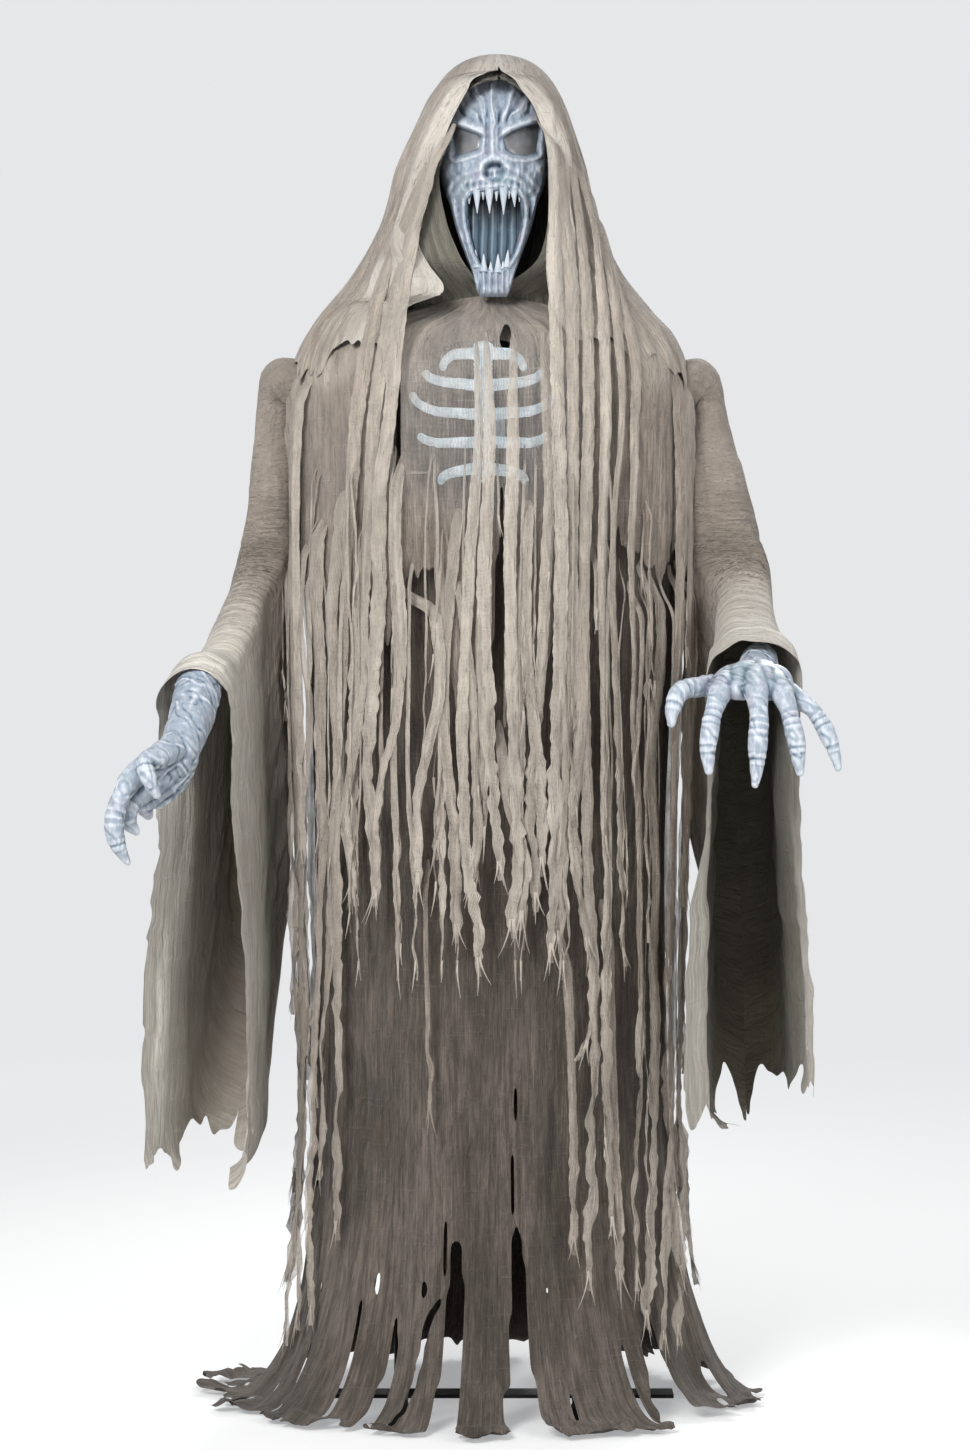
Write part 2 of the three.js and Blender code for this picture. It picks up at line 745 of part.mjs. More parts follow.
// Stepped bolt: plugged into the shoulder bar, with the arm hanging on its shank
function shoulderBolt({ side, elbow }) {
  const slant = (Math.abs(elbow.x) - shoulderReach) / (shoulderLevel - elbow.z);
  const flangeFrom = shoulderBarHalfLength + seat;
  const flangeTo = flangeFrom + boltFlangeThickness;
  const headFrom = shoulderReach + (armRadius + boltHeadRadius * slant) * Math.hypot(1, slant) + seat;
  const plugFrom = shoulderBarHalfLength - 3 * spindleRadius;
  const profile = [
    [0, plugFrom], [spindleRadius, plugFrom], [spindleRadius, flangeFrom],
    [shoulderBarRadius, flangeFrom], [shoulderBarRadius, flangeTo], [boltRadius, flangeTo],
    [boltRadius, headFrom], [boltHeadRadius, headFrom],
    [boltHeadRadius, headFrom + boltHeadThickness], [0, headFrom + boltHeadThickness],
  ];
  const bolt = turned(profile, 10);
  if (side < 0) bolt.rotateY(Math.PI);
  return alongX(bolt, 0, 0, shoulderLevel);
}

// Moulded pad that rounds out the shoulder; its top follows the cloth
function shoulderPad(side, clothSpace) {
  const dome = new THREE.SphereGeometry(1, 10, 6);
  dome.scale(padReach, padDepth, padHeight);
  dome.translate(side * (shoulderBarHalfLength - padReach / 2), 0, shoulderLevel + shoulderBarRadius);
  const bar = alongX(turned(rodProfile(shoulderBarRadius + seat, -shoulderReach, shoulderReach), 16),
    0, 0, shoulderLevel);
  const under = block(-shoulderReach, shoulderReach, -padDepth, padDepth,
    shoulderLevel - padHeight, shoulderLevel - shoulderBarRadius / 2);
  const outside = block(-shoulderBarHalfLength, shoulderBarHalfLength, -padDepth, padDepth,
    shoulderLevel - padHeight, shoulderLevel + 2 * padHeight);
  return cutAll(solidOf(dome).intersect(clothSpace).intersect(outside), [bar, under]);
}

// Rib plate: curved ribs between a breastbone and two side rails, moulded in one piece
function ribPlate() {
  const bottom = ribTop - ribPairs * ribSpacing;
  const setbacks = [[ribTop - 2 * ribSpacing, 0], [ribTop + ribSpacing, ribTopSetback]];
  const frontAt = (level) => -ribFront + eased(level, setbacks);
  const widthShares = [[bottom, 0.82], [ribTop - ribSpacing, 1], [ribTop, 0.9]];
  const sideways = new THREE.Vector3(1, 0, 0);
  const upright = new THREE.Vector3(0, 0, 1);
  const breastbone = limb([ribTop + ribHeight, (ribTop + bottom) / 2, bottom]
    .map((level) => new THREE.Vector3(ribShift, frontAt(level), level)), 4, 6,
  (share) => [2 * ribThickness * (1 - 0.4 * share), ribThickness], sideways);
  const parts = [breastbone];
  for (const side of [-1, 1]) {
    const railX = (level) => ribShift + side * ribHalfWidth * eased(level, widthShares);
    const railLevels = [ribTop - ribSpacing / 2, ribTop - 2 * ribSpacing, bottom + ribSpacing / 3];
    const railPoint = (level) => new THREE.Vector3(railX(level), frontAt(level) + ribSideDepth, level);
    parts.push(limb(railLevels.map(railPoint), 4, 5, () => [ribThickness, ribThickness], sideways));
    for (let i = 0; i < ribPairs; i++) {
      const level = ribTop - i * ribSpacing;
      const end = level - ribSpacing / 2;
      const path = [
        new THREE.Vector3(ribShift, frontAt(level), level - ribHeight / 2),
        new THREE.Vector3(ribShift + side * ribHalfWidth / 2, frontAt(level), level),
        new THREE.Vector3(
          ribShift + side * ribHalfWidth * 0.92, frontAt(level) + ribSideDepth / 2, level - ribHeight),
        railPoint(end),
      ];
      parts.push(limb(path, 4, 5, () => [ribHeight, ribThickness], upright));
    }
  }
  return joinAll(parts);
}

// Strap that holds the rib plate off the spine
function ribStrap() {
  const front = -ribFront + ribThickness + seat;
  const back = -spineRadius - seat;
  const part = (near, far, low) => block(
    -strapWidth / 2, strapWidth / 2, near, far, low, strapLevel + strapThickness);
  return joinAll([
    part(front, back, strapLevel),
    part(front, front + strapThickness, strapLevel - strapWidth),
    part(back - strapThickness, back, strapLevel - strapWidth),
  ]);
}

function chestLamp() {
  const bottom = strapLevel + strapThickness + seat;
  const middle = -(ribFront + spineRadius) / 2;
  const housing = block(-lampWidth / 2, lampWidth / 2, middle, middle + lampDepth, bottom, bottom + lampHeight);
  const dome = new THREE.SphereGeometry(lampHeight / 2.2, 10, 6);
  dome.scale(1.5, 0.7, 1);
  dome.translate(0, middle, bottom + lampHeight / 2);
  return housing.add(solidOf(dome));
}

// Head

// Half width and forward reach of the face at shares of its height, from the chin up
const faceWidthShares = [
  [0, 0.3], [0.06, 0.4], [0.25, 0.66], [0.5, 0.93], [0.68, 1], [0.82, 0.9], [0.93, 0.62], [1, 0.32],
];
const faceForwardShares = [
  [0, 0.93], [0.05, 0.98], [0.2, 0.985], [0.45, 1.03], [0.56, 1.05], [0.63, 0.99], [0.72, 0.985],
  [0.86, 0.88], [1, 0.68],
];
const faceLevel = (heightShare) => chinLevel + heightShare * faceHeight;
const faceX = (acrossShare, heightShare, spread) => headShift
  + acrossShare * faceHalfWidth * spread * straight(heightShare, faceWidthShares);

// Smooth back of the mask, which the head form behind it follows
function faceBack(x, heightShare) {
  const across = (x - headShift) / faceHalfWidth;
  return -faceForward * eased(heightShare, faceForwardShares) + cheekDepth * across * across + maskWall;
}

// How far the face stands out from its smooth curve
function faceRelief(x, heightShare) {
  const across = Math.abs(x - headShift);
  const level = faceLevel(heightShare);
  const eyeLevel = faceLevel(eyeLevelShare);
  const mouthMiddle = (mouthTop + mouthBottom) / 2;
  const mouthHalfHeight = (mouthTop - mouthBottom) / 2;
  const fromEye = Math.hypot((across - eyeSpacing) / eyeHalfWidth, (level - eyeLevel) / eyeHalfHeight);
  const fromMouth = Math.hypot(across / mouthHalfWidth, (level - mouthMiddle) / mouthHalfHeight);
  const noseLevel = mouthTop + 2 * eyeHalfHeight;
  const fromNose = Math.hypot(across / eyeHalfWidth, (level - noseLevel) / eyeHalfHeight);
  const browLine = eyeLevel + eyeHalfHeight * (1 + 0.8 * across / eyeSpacing);
  const furrows = furrow * Math.cos(across / eyeHalfWidth * Math.PI * 1.6)
    * hill(level - browLine - 2 * eyeHalfHeight, 3 * eyeHalfHeight);
  return browHeight * hill(level - browLine, eyeHalfHeight) * hill(across - eyeSpacing / 2, eyeSpacing)
    - socketDepth * hill(fromEye, 1.7)
    + noseRim * hill(fromNose - 1, 0.8) - nostrilDepth * hill(fromNose, 0.9)
    + cheekBump * hill(across - eyeSpacing * 1.35, eyeSpacing / 1.5)
    * hill(level - noseLevel, 2.4 * eyeHalfHeight)
    + mouthRing * hill(fromMouth - 1.18, 0.35)
    + chinBump * hill(level - chinLevel - eyeHalfHeight, eyeHalfHeight) * hill(across, eyeHalfWidth)
    + furrows;
}

// Solid between a front and a back over the face outline, widened by a spread
function faceSolid(frontY, backY, columns, rowShares, spread) {
  const front = [];
  const back = [];
  for (const heightShare of rowShares) {
    for (let c = 0; c <= columns; c++) {
      const x = faceX(2 * c / columns - 1, heightShare, spread);
      front.push(new THREE.Vector3(x, frontY(x, heightShare), faceLevel(heightShare)));
      back.push(new THREE.Vector3(x, backY(x, heightShare), faceLevel(heightShare)));
    }
  }
  const width = columns + 1;
  const corners = [...front, ...back];
  const frontAt = (c, r) => r * width + c;
  const backAt = (c, r) => front.length + r * width + c;
  const triangles = [];
  latticeTriangles(triangles, frontAt, width, rowShares.length, false, false);
  latticeTriangles(triangles, backAt, width, rowShares.length, false, true);
  const edge = [];
  for (let c = 0; c < columns; c++) edge.push([c, 0]);
  for (let r = 0; r < rowShares.length - 1; r++) edge.push([columns, r]);
  for (let c = columns; c > 0; c--) edge.push([c, rowShares.length - 1]);
  for (let r = rowShares.length - 1; r > 0; r--) edge.push([0, r]);
  edge.forEach(([c, r], i) => {
    const [nextC, nextR] = edge[(i + 1) % edge.length];
    triangles.push([frontAt(nextC, nextR), frontAt(c, r), backAt(c, r)]);
    triangles.push([frontAt(nextC, nextR), backAt(c, r), backAt(nextC, nextR)]);
  });
  return solidOf(geometryFrom(corners, triangles));
}

// Outline of the gaping mouth: wide above, narrower below
function mouthOutline(grow) {
  const middle = mouthTop - (mouthTop - mouthBottom) * 0.38;
  const half = mouthHalfWidth + grow;
  const lowBend = mouthBottom + eyeHalfHeight;
  const highBend = mouthTop + grow - eyeHalfHeight / 3;
  const [left, right] = [headShift - half, headShift + half];
  const shape = new THREE.Shape();
  shape.moveTo(left, middle);
  shape.bezierCurveTo(left, lowBend, headShift - half / 1.8, mouthBottom - grow, headShift, mouthBottom - grow);
  shape.bezierCurveTo(headShift + half / 1.8, mouthBottom - grow, right, lowBend, right, middle);
  shape.bezierCurveTo(right, highBend, headShift + half / 1.4, mouthTop + grow, headShift, mouthTop + grow);
  shape.bezierCurveTo(headShift - half / 1.4, mouthTop + grow, left, highBend, left, middle);
  return shape;
}

// Outline of a slanted eye, higher at its outer end
function eyeOutline(side, grow) {
  const level = faceLevel(eyeLevelShare);
  const [halfWidth, halfHeight] = [eyeHalfWidth + grow, eyeHalfHeight + grow];
  const centre = headShift + side * eyeSpacing;
  const shape = new THREE.Shape();
  shape.moveTo(centre - side * halfWidth, level - halfHeight / 3);
  shape.quadraticCurveTo(centre, level - halfHeight * 1.4, centre + side * halfWidth, level - halfHeight / 6);
  shape.lineTo(centre + side * halfWidth * 0.86, level + halfHeight);
  shape.quadraticCurveTo(centre, level + halfHeight * 0.9, centre - side * halfWidth, level - halfHeight / 3);
  return shape;
}

function fang(x, level, y, length) {
  const cone = new THREE.ConeGeometry(fangRadius, Math.abs(length), 6);
  cone.rotateX(length > 0 ? Math.PI / 2 : -Math.PI / 2);
  cone.translate(x, y, level + length / 2);
  return solidOf(cone);
}

// Fangs stand in the lips on both sides of the mouth's middle
function fangs() {
  const row = (count, level, direction, spreadShare) => Array.from({ length: count }, (unused, i) => {
    const share = 2 * i / (count - 1) - 1;
    const x = headShift + share * mouthHalfWidth * spreadShare;
    const heightShare = (level - chinLevel) / faceHeight;
    const y = faceBack(x, heightShare) - fangRadius - seat;
    const root = level - direction * (fangRadius / 2 + fangRadius * 2 * share * share);
    return fang(x, root, y, direction * fangLength * (1 - 0.25 * share * share));
  });
  return [
    ...row(upperFangs, mouthTop + fangRadius, -1, 0.66),
    ...row(lowerFangs, mouthBottom - fangRadius, 1, 0.4),
  ];
}

const maskRowShares = Array.from({ length: 23 }, (unused, i) => i / 22);

function maskShell() {
  const frontY = (x, share) => faceBack(x, share) - maskWall - Math.max(-maskWall / 3, faceRelief(x, share));
  const face = faceSolid(frontY, faceBack, 14, maskRowShares, 1);
  const far = faceForward * 2;
  const openings = [mouthOutline(0), eyeOutline(-1, 0), eyeOutline(1, 0)]
    .map((shape) => extrudedAlongY(shape, -far, 0, 5));
  return joinAll([cutAll(face, openings), ...fangs()]);
}

// The space in front of the mask's back, cut from the head form so that the mask seats on it
function faceVoids() {
  const frontY = () => -faceForward * 2;
  const besideY = (x, share) => faceBack(x, share) + maskWall / 2;
  const backY = (x, share) => faceBack(x, share) + 2 * seat;
  return [
    faceSolid(frontY, besideY, 6, [-0.15, 0, 0.05, 0.2, 0.45, 0.56, 0.63, 0.72, 0.86, 0.93, 1, 1.08], 1.6),
    faceSolid(frontY, backY, 6, maskRowShares, 1),
  ];
}

function headForm(hoodSpace) {
  const sections = [
    [headTop, 0.25, 0.28], [(chinLevel + faceHeight + headTop) / 2, 0.6, 0.62],
    [chinLevel + 0.95 * faceHeight, 0.86, 0.88], [chinLevel + 0.7 * faceHeight, 1, 1],
    [chinLevel + 0.45 * faceHeight, 0.92, 0.95], [chinLevel + 0.2 * faceHeight, 0.72, 0.82],
    [headBottom, 0.42, 0.62],
  ];
  const ring = ([level, widthShare, depthShare]) => evenShares(16).map((share) => {
    const angle = 2 * Math.PI * share;
    const depth = Math.cos(angle) > 0 ? headFront : headBack;
    const [x, y] = ovalPoint(angle, headHalfWidth * widthShare, depth * depthShare, 2.4);
    return new THREE.Vector3(headShift + x, y, level);
  });
  const boreProfile = rodProfile(neckRadius + seat, headBottom - overrun, neckTop + seat);
  const neckBore = alongZ(turned(boreProfile, 16), 0, 0, 0);
  const mouthPocket = extrudedAlongY(mouthOutline(seat), -2 * faceForward, -mouthPanelBack + seat, 5);
  return cutAll(loft(sections.map(ring)).intersect(hoodSpace), [...faceVoids(), neckBore, mouthPocket]);
}

// Dark ribbed panel that closes the mouth behind the fangs
function mouthPanel() {
  const body = extrudedAlongY(mouthOutline(-seat), -mouthPanelFront, -mouthPanelBack, 5);
  const outline = extrudedAlongY(mouthOutline(-seat), -faceForward, -mouthPanelBack, 5);
  const pitch = 2 * (mouthHalfWidth - mouthRidgeRadius) / mouthRidges;
  const ridges = Array.from({ length: mouthRidges }, (unused, i) => {
    const x = headShift + (i - (mouthRidges - 1) / 2) * pitch;
    return alongZ(turned(rodProfile(mouthRidgeRadius, mouthBottom, mouthTop), 6), x, -mouthPanelFront, 0)
      .intersect(outline);
  });
  return joinAll([body, ...ridges]);
}

function eyeLens(side) {
  const outline = extrudedAlongY(eyeOutline(side, -seat), -2 * faceForward, 0, 5);
  const rowShares = [0.6, 0.64, 0.68, 0.72, 0.76, 0.8];
  const frontY = (x, share) => faceBack(x, share) - lensThickness - seat;
  const backY = (x, share) => faceBack(x, share) - seat;
  return faceSolid(frontY, backY, 12, rowShares, 1).intersect(outline);
}

// Arms and hands

const vectorOf = ({ x, y, z }) => new THREE.Vector3(x, y, z);
const armSides = {
  right: { side: 1, elbow: vectorOf(rightElbow), wrist: vectorOf(rightWrist), roll: 0, spreadShare: 1 },
  left: { side: -1, elbow: vectorOf(leftElbow), wrist: vectorOf(leftWrist), roll: leftRoll, spreadShare: 0.62 },
};
const shoulderPoint = (side) => new THREE.Vector3(side * shoulderReach, 0, shoulderLevel);
const forearmDirection = ({ elbow, wrist }) => wrist.clone().sub(elbow).normalize();

// Centre line of an arm: upper arm, bend at the elbow, forearm
function armPath(arm, start, endBeforeWrist) {
  const shoulder = shoulderPoint(arm.side);
  const upper = arm.elbow.clone().sub(shoulder).normalize();
  const lower = forearmDirection(arm);
  const bendFrom = arm.elbow.clone().addScaledVector(upper, -elbowBend);
  const bendTo = arm.elbow.clone().addScaledVector(lower, elbowBend);
  const path = new THREE.CurvePath();
  path.add(new THREE.LineCurve3(shoulder.clone().addScaledVector(upper, start), bendFrom));
  path.add(new THREE.QuadraticBezierCurve3(bendFrom, arm.elbow, bendTo));
  path.add(new THREE.LineCurve3(bendTo, arm.wrist.clone().addScaledVector(lower, -endBeforeWrist)));
  return path;
}

const bendShares = [0, 0.25, 0.5, 0.75, 1];

function armTube(arm) {
  const sideways = new THREE.Vector3(1, 0, 0);
  const beforeWrist = forearmStubLength - forearmBoreDepth + seat;
  const [upper, bend, lower] = armPath(arm, -1.5 * armRadius, beforeWrist).curves;
  const rod = (radius, beyond) => {
    const start = upper.getPoint(0).addScaledVector(upper.getTangent(0), -beyond);
    const end = lower.getPoint(1).addScaledVector(lower.getTangent(1), beyond);
    const ring = (point, along) => ringAround(point, along, sideways, [radius, radius], 8);
    return loft([
      ring(start, upper.getTangent(0)),
      ...bendShares.map((share) => ring(bend.getPoint(share), bend.getTangent(share))),
      ring(end, lower.getTangent(1)),
    ]);
  };
  const boltHole = alongX(turned(rodProfile(boltRadius + seat, 0, 2 * shoulderReach), 10),
    arm.side < 0 ? -2 * shoulderReach : 0, 0, shoulderLevel);
  return cutAll(rod(armRadius, 0), [rod(armRadius - armWall, overrun), boltHole]);
}

// Places of each finger's knuckle, middle joint and tip, as shares of the hand's span:
// toward the little finger, forward and up
const fingerShares = {
  thumb: [[-0.14, 0.08, -0.02], [-0.3, 0.18, 0.02], [-0.46, 0.3, -0.03], [-0.54, 0.42, -0.2]],
  index: [[-0.14, 0.3, 0.03], [-0.24, 0.46, 0.08], [-0.3, 0.66, -0.02], [-0.34, 0.82, -0.32]],
  middle: [[-0.04, 0.3, 0.05], [-0.05, 0.5, 0.1], [-0.06, 0.74, -0.01], [-0.07, 0.9, -0.36]],
  ring: [[0.08, 0.3, 0.04], [0.14, 0.47, 0.08], [0.18, 0.7, -0.02], [0.21, 0.84, -0.32]],
  little: [[0.14, 0.26, 0.02], [0.27, 0.38, 0.04], [0.38, 0.55, -0.03], [0.46, 0.66, -0.27]],
};

// Hand and forearm moulding in its own frame: the wrist at the origin, forward along -Y
function handMoulding({ side, spreadShare }) {
  const forearm = -forearmStubLength;
  const place = ([across, forward, up]) => new THREE.Vector3(side * across * spreadShare, -forward, up)
    .multiplyScalar(handSpan);
  const sideways = new THREE.Vector3(1, 0, 0);
  const palmHalves = [
    [0, forearmRadius], [0.3, forearmRadius], [0.5, wristRadius], [0.58, wristRadius],
    [0.85, palmHalfWidth], [1, palmHalfWidth * 0.72],
  ];
  const palmThickness = [
    [0, forearmRadius], [0.3, forearmRadius], [0.5, wristRadius], [0.58, wristRadius * 0.86],
    [0.85, palmHalfThickness], [1, palmHalfThickness * 0.7],
  ];
  const palm = limb([
    new THREE.Vector3(0, -forearm, 0), new THREE.Vector3(0, -forearm / 2, 0), new THREE.Vector3(0, 0, 0),
    place([0, 0.22, 0.03]), place([0, 0.44, 0.05]),
  ], 9, 12, (share) => [eased(share, palmHalves), eased(share, palmThickness)], sideways);
  const halves = (share) => {
    const knuckle = 1 + 0.16 * hill(share - 0.34, 0.14) + 0.14 * hill(share - 0.68, 0.14);
    const radius = knuckle
      * straight(share, [[0, fingerRadius], [0.85, fingerRadius * 0.72], [1, fingertipRadius]]);
    return [radius, radius];
  };
  const digits = Object.values(fingerShares).map((places) => limb(places.map(place), 6, 6, halves, sideways));
  const boreProfile = rodProfile(armRadius + 2 * seat, -forearmBoreDepth, overrun);
  const bore = alongY(turned(boreProfile, 16), 0, -forearm, 0);
  return joinAll([palm, ...digits]).subtract(bore);
}

function handMesh(name, arm) {
  const mesh = piece(name, handMoulding(arm), paleMoulding());
  const forward = forearmDirection(arm);
  const level = new THREE.Vector3(0, 0, 1).cross(forward).normalize();
  const across = level.applyAxisAngle(forward, arm.roll);
  const up = forward.clone().cross(across);
  mesh.quaternion.setFromRotationMatrix(new THREE.Matrix4().makeBasis(across, forward.clone().negate(), up));
  mesh.position.copy(arm.wrist);
  return mesh;
}

// Cloth

const tailAngles = { front: -0.12, left: -1.45, right: 1.4 };

// Skirt surface: an oval with folds that flares near the floor and spreads into three tails
function skirtPoint(angle, level) {
  const low = Math.max(0, 1 - level / skirtFlareHeight);
  const drop = (skirtTop - level) / skirtTop;
  const [x, y] = ovalPoint(angle, skirtHalfWidth, skirtHalfDepth, 2);
  const radius = Math.hypot(x, y);
  const tails = leftTailReach * hill(angle - tailAngles.left, 0.5)
    + rightTailReach * hill(angle - tailAngles.right, 0.5)
    + frontTailReach * hill(angle - tailAngles.front, 0.3);
  const folds = skirtFold * Math.cos(12 * angle) + skirtFold * 0.4 * Math.cos(19 * angle + 1);
  const out = (folds * (0.35 + 0.65 * drop) + (skirtFlare + tails) * low * low) / radius;
  return new THREE.Vector3(x * (1 + out), y * (1 + out), level);
}

// Bottom of the hem above the floor at each column of a gore, as shares of the deepest tear
const hemShares = {
  front: [0.02, 0, 0.7, 0.03, 0.78, 0.12, 0.96, 0.38, 0, 0.02, 0.72, 0.18, 0.06, 0.03, 0.1, 0.72, 0.08, 0.03, 0],
  right: [0, 0.08, 0.5, 0.06, 0, 0.02, 0.3, 0.05, 0, 0, 0.02, 0.2, 0.04, 0, 0.1, 0.35, 0.05, 0, 0.02],
  back: [0.02, 0, 0.25, 0.04, 0, 0.1, 0.4, 0.08, 0, 0.02, 0.3, 0.05, 0, 0.06, 0.45, 0.1, 0, 0.03, 0.02],
  left: [0.02, 0, 0.3, 0.08, 0, 0, 0.06, 0.22, 0.04, 0, 0, 0.05, 0.28, 0.03, 0, 0.04, 0.4, 0.05, 0.02],
};
const goreStarts = { front: -Math.PI / 4, right: Math.PI / 4, back: 0.75 * Math.PI, left: 1.25 * Math.PI };
const skirtRowShares = [0, 0.18, 0.5, 0.82, 0.93, 1];

const hemLevel = (share) => Math.max(floorClearance + clothWall, share * hemTear);

function skirtGore(name) {
  const start = goreStarts[name];
  const shares = hemShares[name];
  const trim = seamGap / 2 / skirtHalfDepth;
  const span = Math.PI / 2 - 2 * trim;
  const columnShares = shares.map((unused, i) => i / (shares.length - 1));
  const surface = (share, row) => {
    const angle = wrapAngle(start + trim + span * share);
    const bottom = hemLevel(shares[Math.round(share * (shares.length - 1))]);
    const level = skirtTop + (bottom - skirtTop) * skirtRowShares[row];
    return skirtPoint(angle, level);
  };
  return clothOver(latticeOf(surface, columnShares, skirtRowShares.length, false), clothWall);
}

const wrapAngle = (angle) => Math.atan2(Math.sin(angle), Math.cos(angle));

// The space inside the top of the skirt, where the hip bar ends seat
function skirtInside() {
  const levels = [skirtTop, skirtTop - 2 * hipTubeRadius, hipLevel - 3 * hipTubeRadius];
  const surface = (share, row) => skirtPoint(wrapAngle(2 * Math.PI * share), levels[row]);
  const columnShares = evenShares(4 * (hemShares.front.length - 1));
  const lattice = latticeOf(surface, columnShares, levels.length, true);
  return insideOf(lattice, clothWall / 2 + seat, levels.length);
}

const armholes = () => [-1, 1].map((side) => {
  const hole = turned(rodProfile(1, -armholeHalfDepth, armholeHalfDepth), 10);
  hole.scale(armholeHalfHeight, armholeHalfDepth, 1);
  return alongX(hole, side * shoulderReach, 0, armholeLevel);
});

// Robe from the collar down: shares of its height, half width and half depth, then its squareness
const robeShares = [
  [1, collarRadius / robeHalfWidth, collarRadius / robeHalfDepth, 2],
  [0.978, collarRadius / robeHalfWidth, collarRadius / robeHalfDepth, 2],
  [0.953, 0.543, 0.562, 2],
  [0.925, 0.775, 0.629, 2.1],
  [0.89, 0.95, 0.697, 2.3],
  [0.835, 1, 0.798, 2.4],
  [0.671, 1, 0.876, 2.3],
  [0.404, 0.984, 0.933, 2.1],
  [0, 0.953, 1, 2],
];

function robeLattice(columns) {
  const surface = (share, row) => {
    const [heightShare, widthShare, depthShare, power] = robeShares[row];
    const angle = wrapAngle(2 * Math.PI * share);
    const fold = row > 5 ? robeFold * Math.cos(12 * angle) * Math.abs(Math.cos(angle)) : 0;
    const [x, y] = ovalPoint(angle, robeHalfWidth * widthShare, robeHalfDepth * depthShare + fold, power);
    return new THREE.Vector3(x, y, robeBottom + heightShare * (collarTop - robeBottom));
  };
  return latticeOf(surface, evenShares(columns), robeShares.length, true);
}

function robeTop() {
  return cutAll(clothOver(robeLattice(28), clothWall), armholes());
}

// Poncho above its torn edge: shares of its height, half width and half depth, then its squareness
const ponchoTop = collarTop - collarShowing;
const ponchoHalfWidth = robeHalfWidth + ponchoEase;
const ponchoNeckRadius = collarRadius + clothWall + 2 * seat;
const ponchoShares = [
  [1, ponchoNeckRadius / ponchoHalfWidth, ponchoNeckRadius / ponchoHalfDepth, 2],
  [0.974, 0.445, 0.441, 2],
  [0.915, 0.74, 0.508, 2.1],
  [0.85, 0.966, 0.568, 2.5],
  [0.727, 0.996, 0.653, 2.5],
  [0, 1, 0.822, 2.1],
];
const hemPower = 2;

// Torn strips: middle and half width as shares of a turn from the front, length as a share of the deepest
const stripShares = [
  [-0.172, 0.006, 0.99], [-0.137, 0.009, 0.5], [-0.103, 0.009, 0.49], [-0.07, 0.009, 0.3],
  [-0.036, 0.01, 0.52], [-0.004, 0.009, 0.59], [0.028, 0.01, 0.53], [0.062, 0.009, 0.4],
  [0.096, 0.009, 0.97], [0.122, 0.008, 0.57], [0.148, 0.007, 0.98], [0.215, 0.016, 0.2],
  [0.33, 0.02, 0.5], [0.43, 0.02, 0.85], [0.53, 0.022, 0.6], [0.63, 0.02, 0.95],
  [0.72, 0.018, 0.7], [0.785, 0.016, 0.22],
];
const tearShares = [0.02, 0.05, 0.03, 0.07, 0.03, 0.04, 0.02, 0.05, 0.04, 0.06, 0.03];
const stripRows = 2;

// Columns of the poncho in order round the body: two edges of each strip and the tear beside it
function ponchoColumns() {
  const columns = [];
  stripShares.forEach(([middle, half, length], i) => {
    const next = i + 1 < stripShares.length ? stripShares[i + 1] : [stripShares[0][0] + 1, stripShares[0][1]];
    const tear = (middle + half + next[0] - next[1]) / 2;
    columns.push([middle - half, length], [middle + half, length], [tear, tearShares[i % tearShares.length]]);
  });
  return columns;
}

function ponchoPoint(turnShare, row, length) {
  const angle = wrapAngle(2 * Math.PI * turnShare);
  const fixed = ponchoShares.length;
  if (row < fixed) {
    const [heightShare, widthShare, depthShare, power] = ponchoShares[row];
    const [x, y] = ovalPoint(angle, ponchoHalfWidth * widthShare, ponchoHalfDepth * depthShare, power);
    return new THREE.Vector3(x, y, ponchoTearLevel + heightShare * (ponchoTop - ponchoTearLevel));
  }
  const drop = (row - fixed + 1) / stripRows;
  const fold = ponchoFold * Math.cos(20 * angle) * Math.min(1, 4 * length) * Math.abs(Math.cos(angle));
  const spread = stripFlare * drop * length;
  const [, , depthShare, power] = ponchoShares[fixed - 1];
  const halfDepth = ponchoHalfDepth * (depthShare + (1 - depthShare) * spread) + fold;
  const [x, y] = ovalPoint(angle, ponchoHalfWidth, halfDepth, power + (hemPower - power) * spread);
  return new THREE.Vector3(x, y, ponchoTearLevel - stripDeepest * length * drop);
}

function poncho() {
  const columns = ponchoColumns();
  const surface = (index, row) => ponchoPoint(columns[index][0], row, columns[index][1]);
  const lattice = latticeOf(surface, columns.map((unused, i) => i), ponchoShares.length + stripRows, true);
  return cutAll(clothOver(lattice, clothWall), armholes());
}

// Hood below the crown: shares of its height, half width, front and back, its shift as a share
// of the head's, and its squareness
const hoodShares = [
  [0.982, 0.138, 0.36, 0.308, 1.5, 2],
  [0.934, 0.268, 0.651, 0.538, 1.5, 2],
  [0.85, 0.362, 0.872, 0.692, 1.3, 2],
  [0.752, 0.423, 0.965, 0.776, 1, 2],
  [0.607, 0.508, 1, 0.833, 0.3, 2],
  [0.383, 0.598, 0.988, 0.872, 0.2, 2],
  [0.211, 0.732, 0.977, 0.91, -0.5, 2.1],
  [0.074, 0.902, 0.965, 0.962, -0.7, 2.3],
  [0, 1, 0.953, 1, 0, 2.5],
];

function hoodLattice(columns, rowCount) {
  const surface = (share, row) => {
    const [heightShare, widthShare, frontShare, backShare, shiftShare, power] = hoodShares[row];
    const angle = wrapAngle(2 * Math.PI * share);
    const fold = hoodFold * Math.cos(10 * angle) * (row / hoodShares.length) ** 2;
    const depth = Math.cos(angle) > 0 ? hoodFront * frontShare : hoodBack * backShare;
    const [x, y] = ovalPoint(angle, hoodHalfWidth * widthShare, depth + fold, power);
    return new THREE.Vector3(x + headShift * shiftShare, y, hoodBottom + heightShare * (hoodTop - hoodBottom));
  };
  return latticeOf(surface, evenShares(columns), rowCount, true);
}

const hoodColumns = 20;
const hoodCrown = () => new THREE.Vector3(headShift * hoodShares[0][4], 0, hoodTop - clothWall / 2);

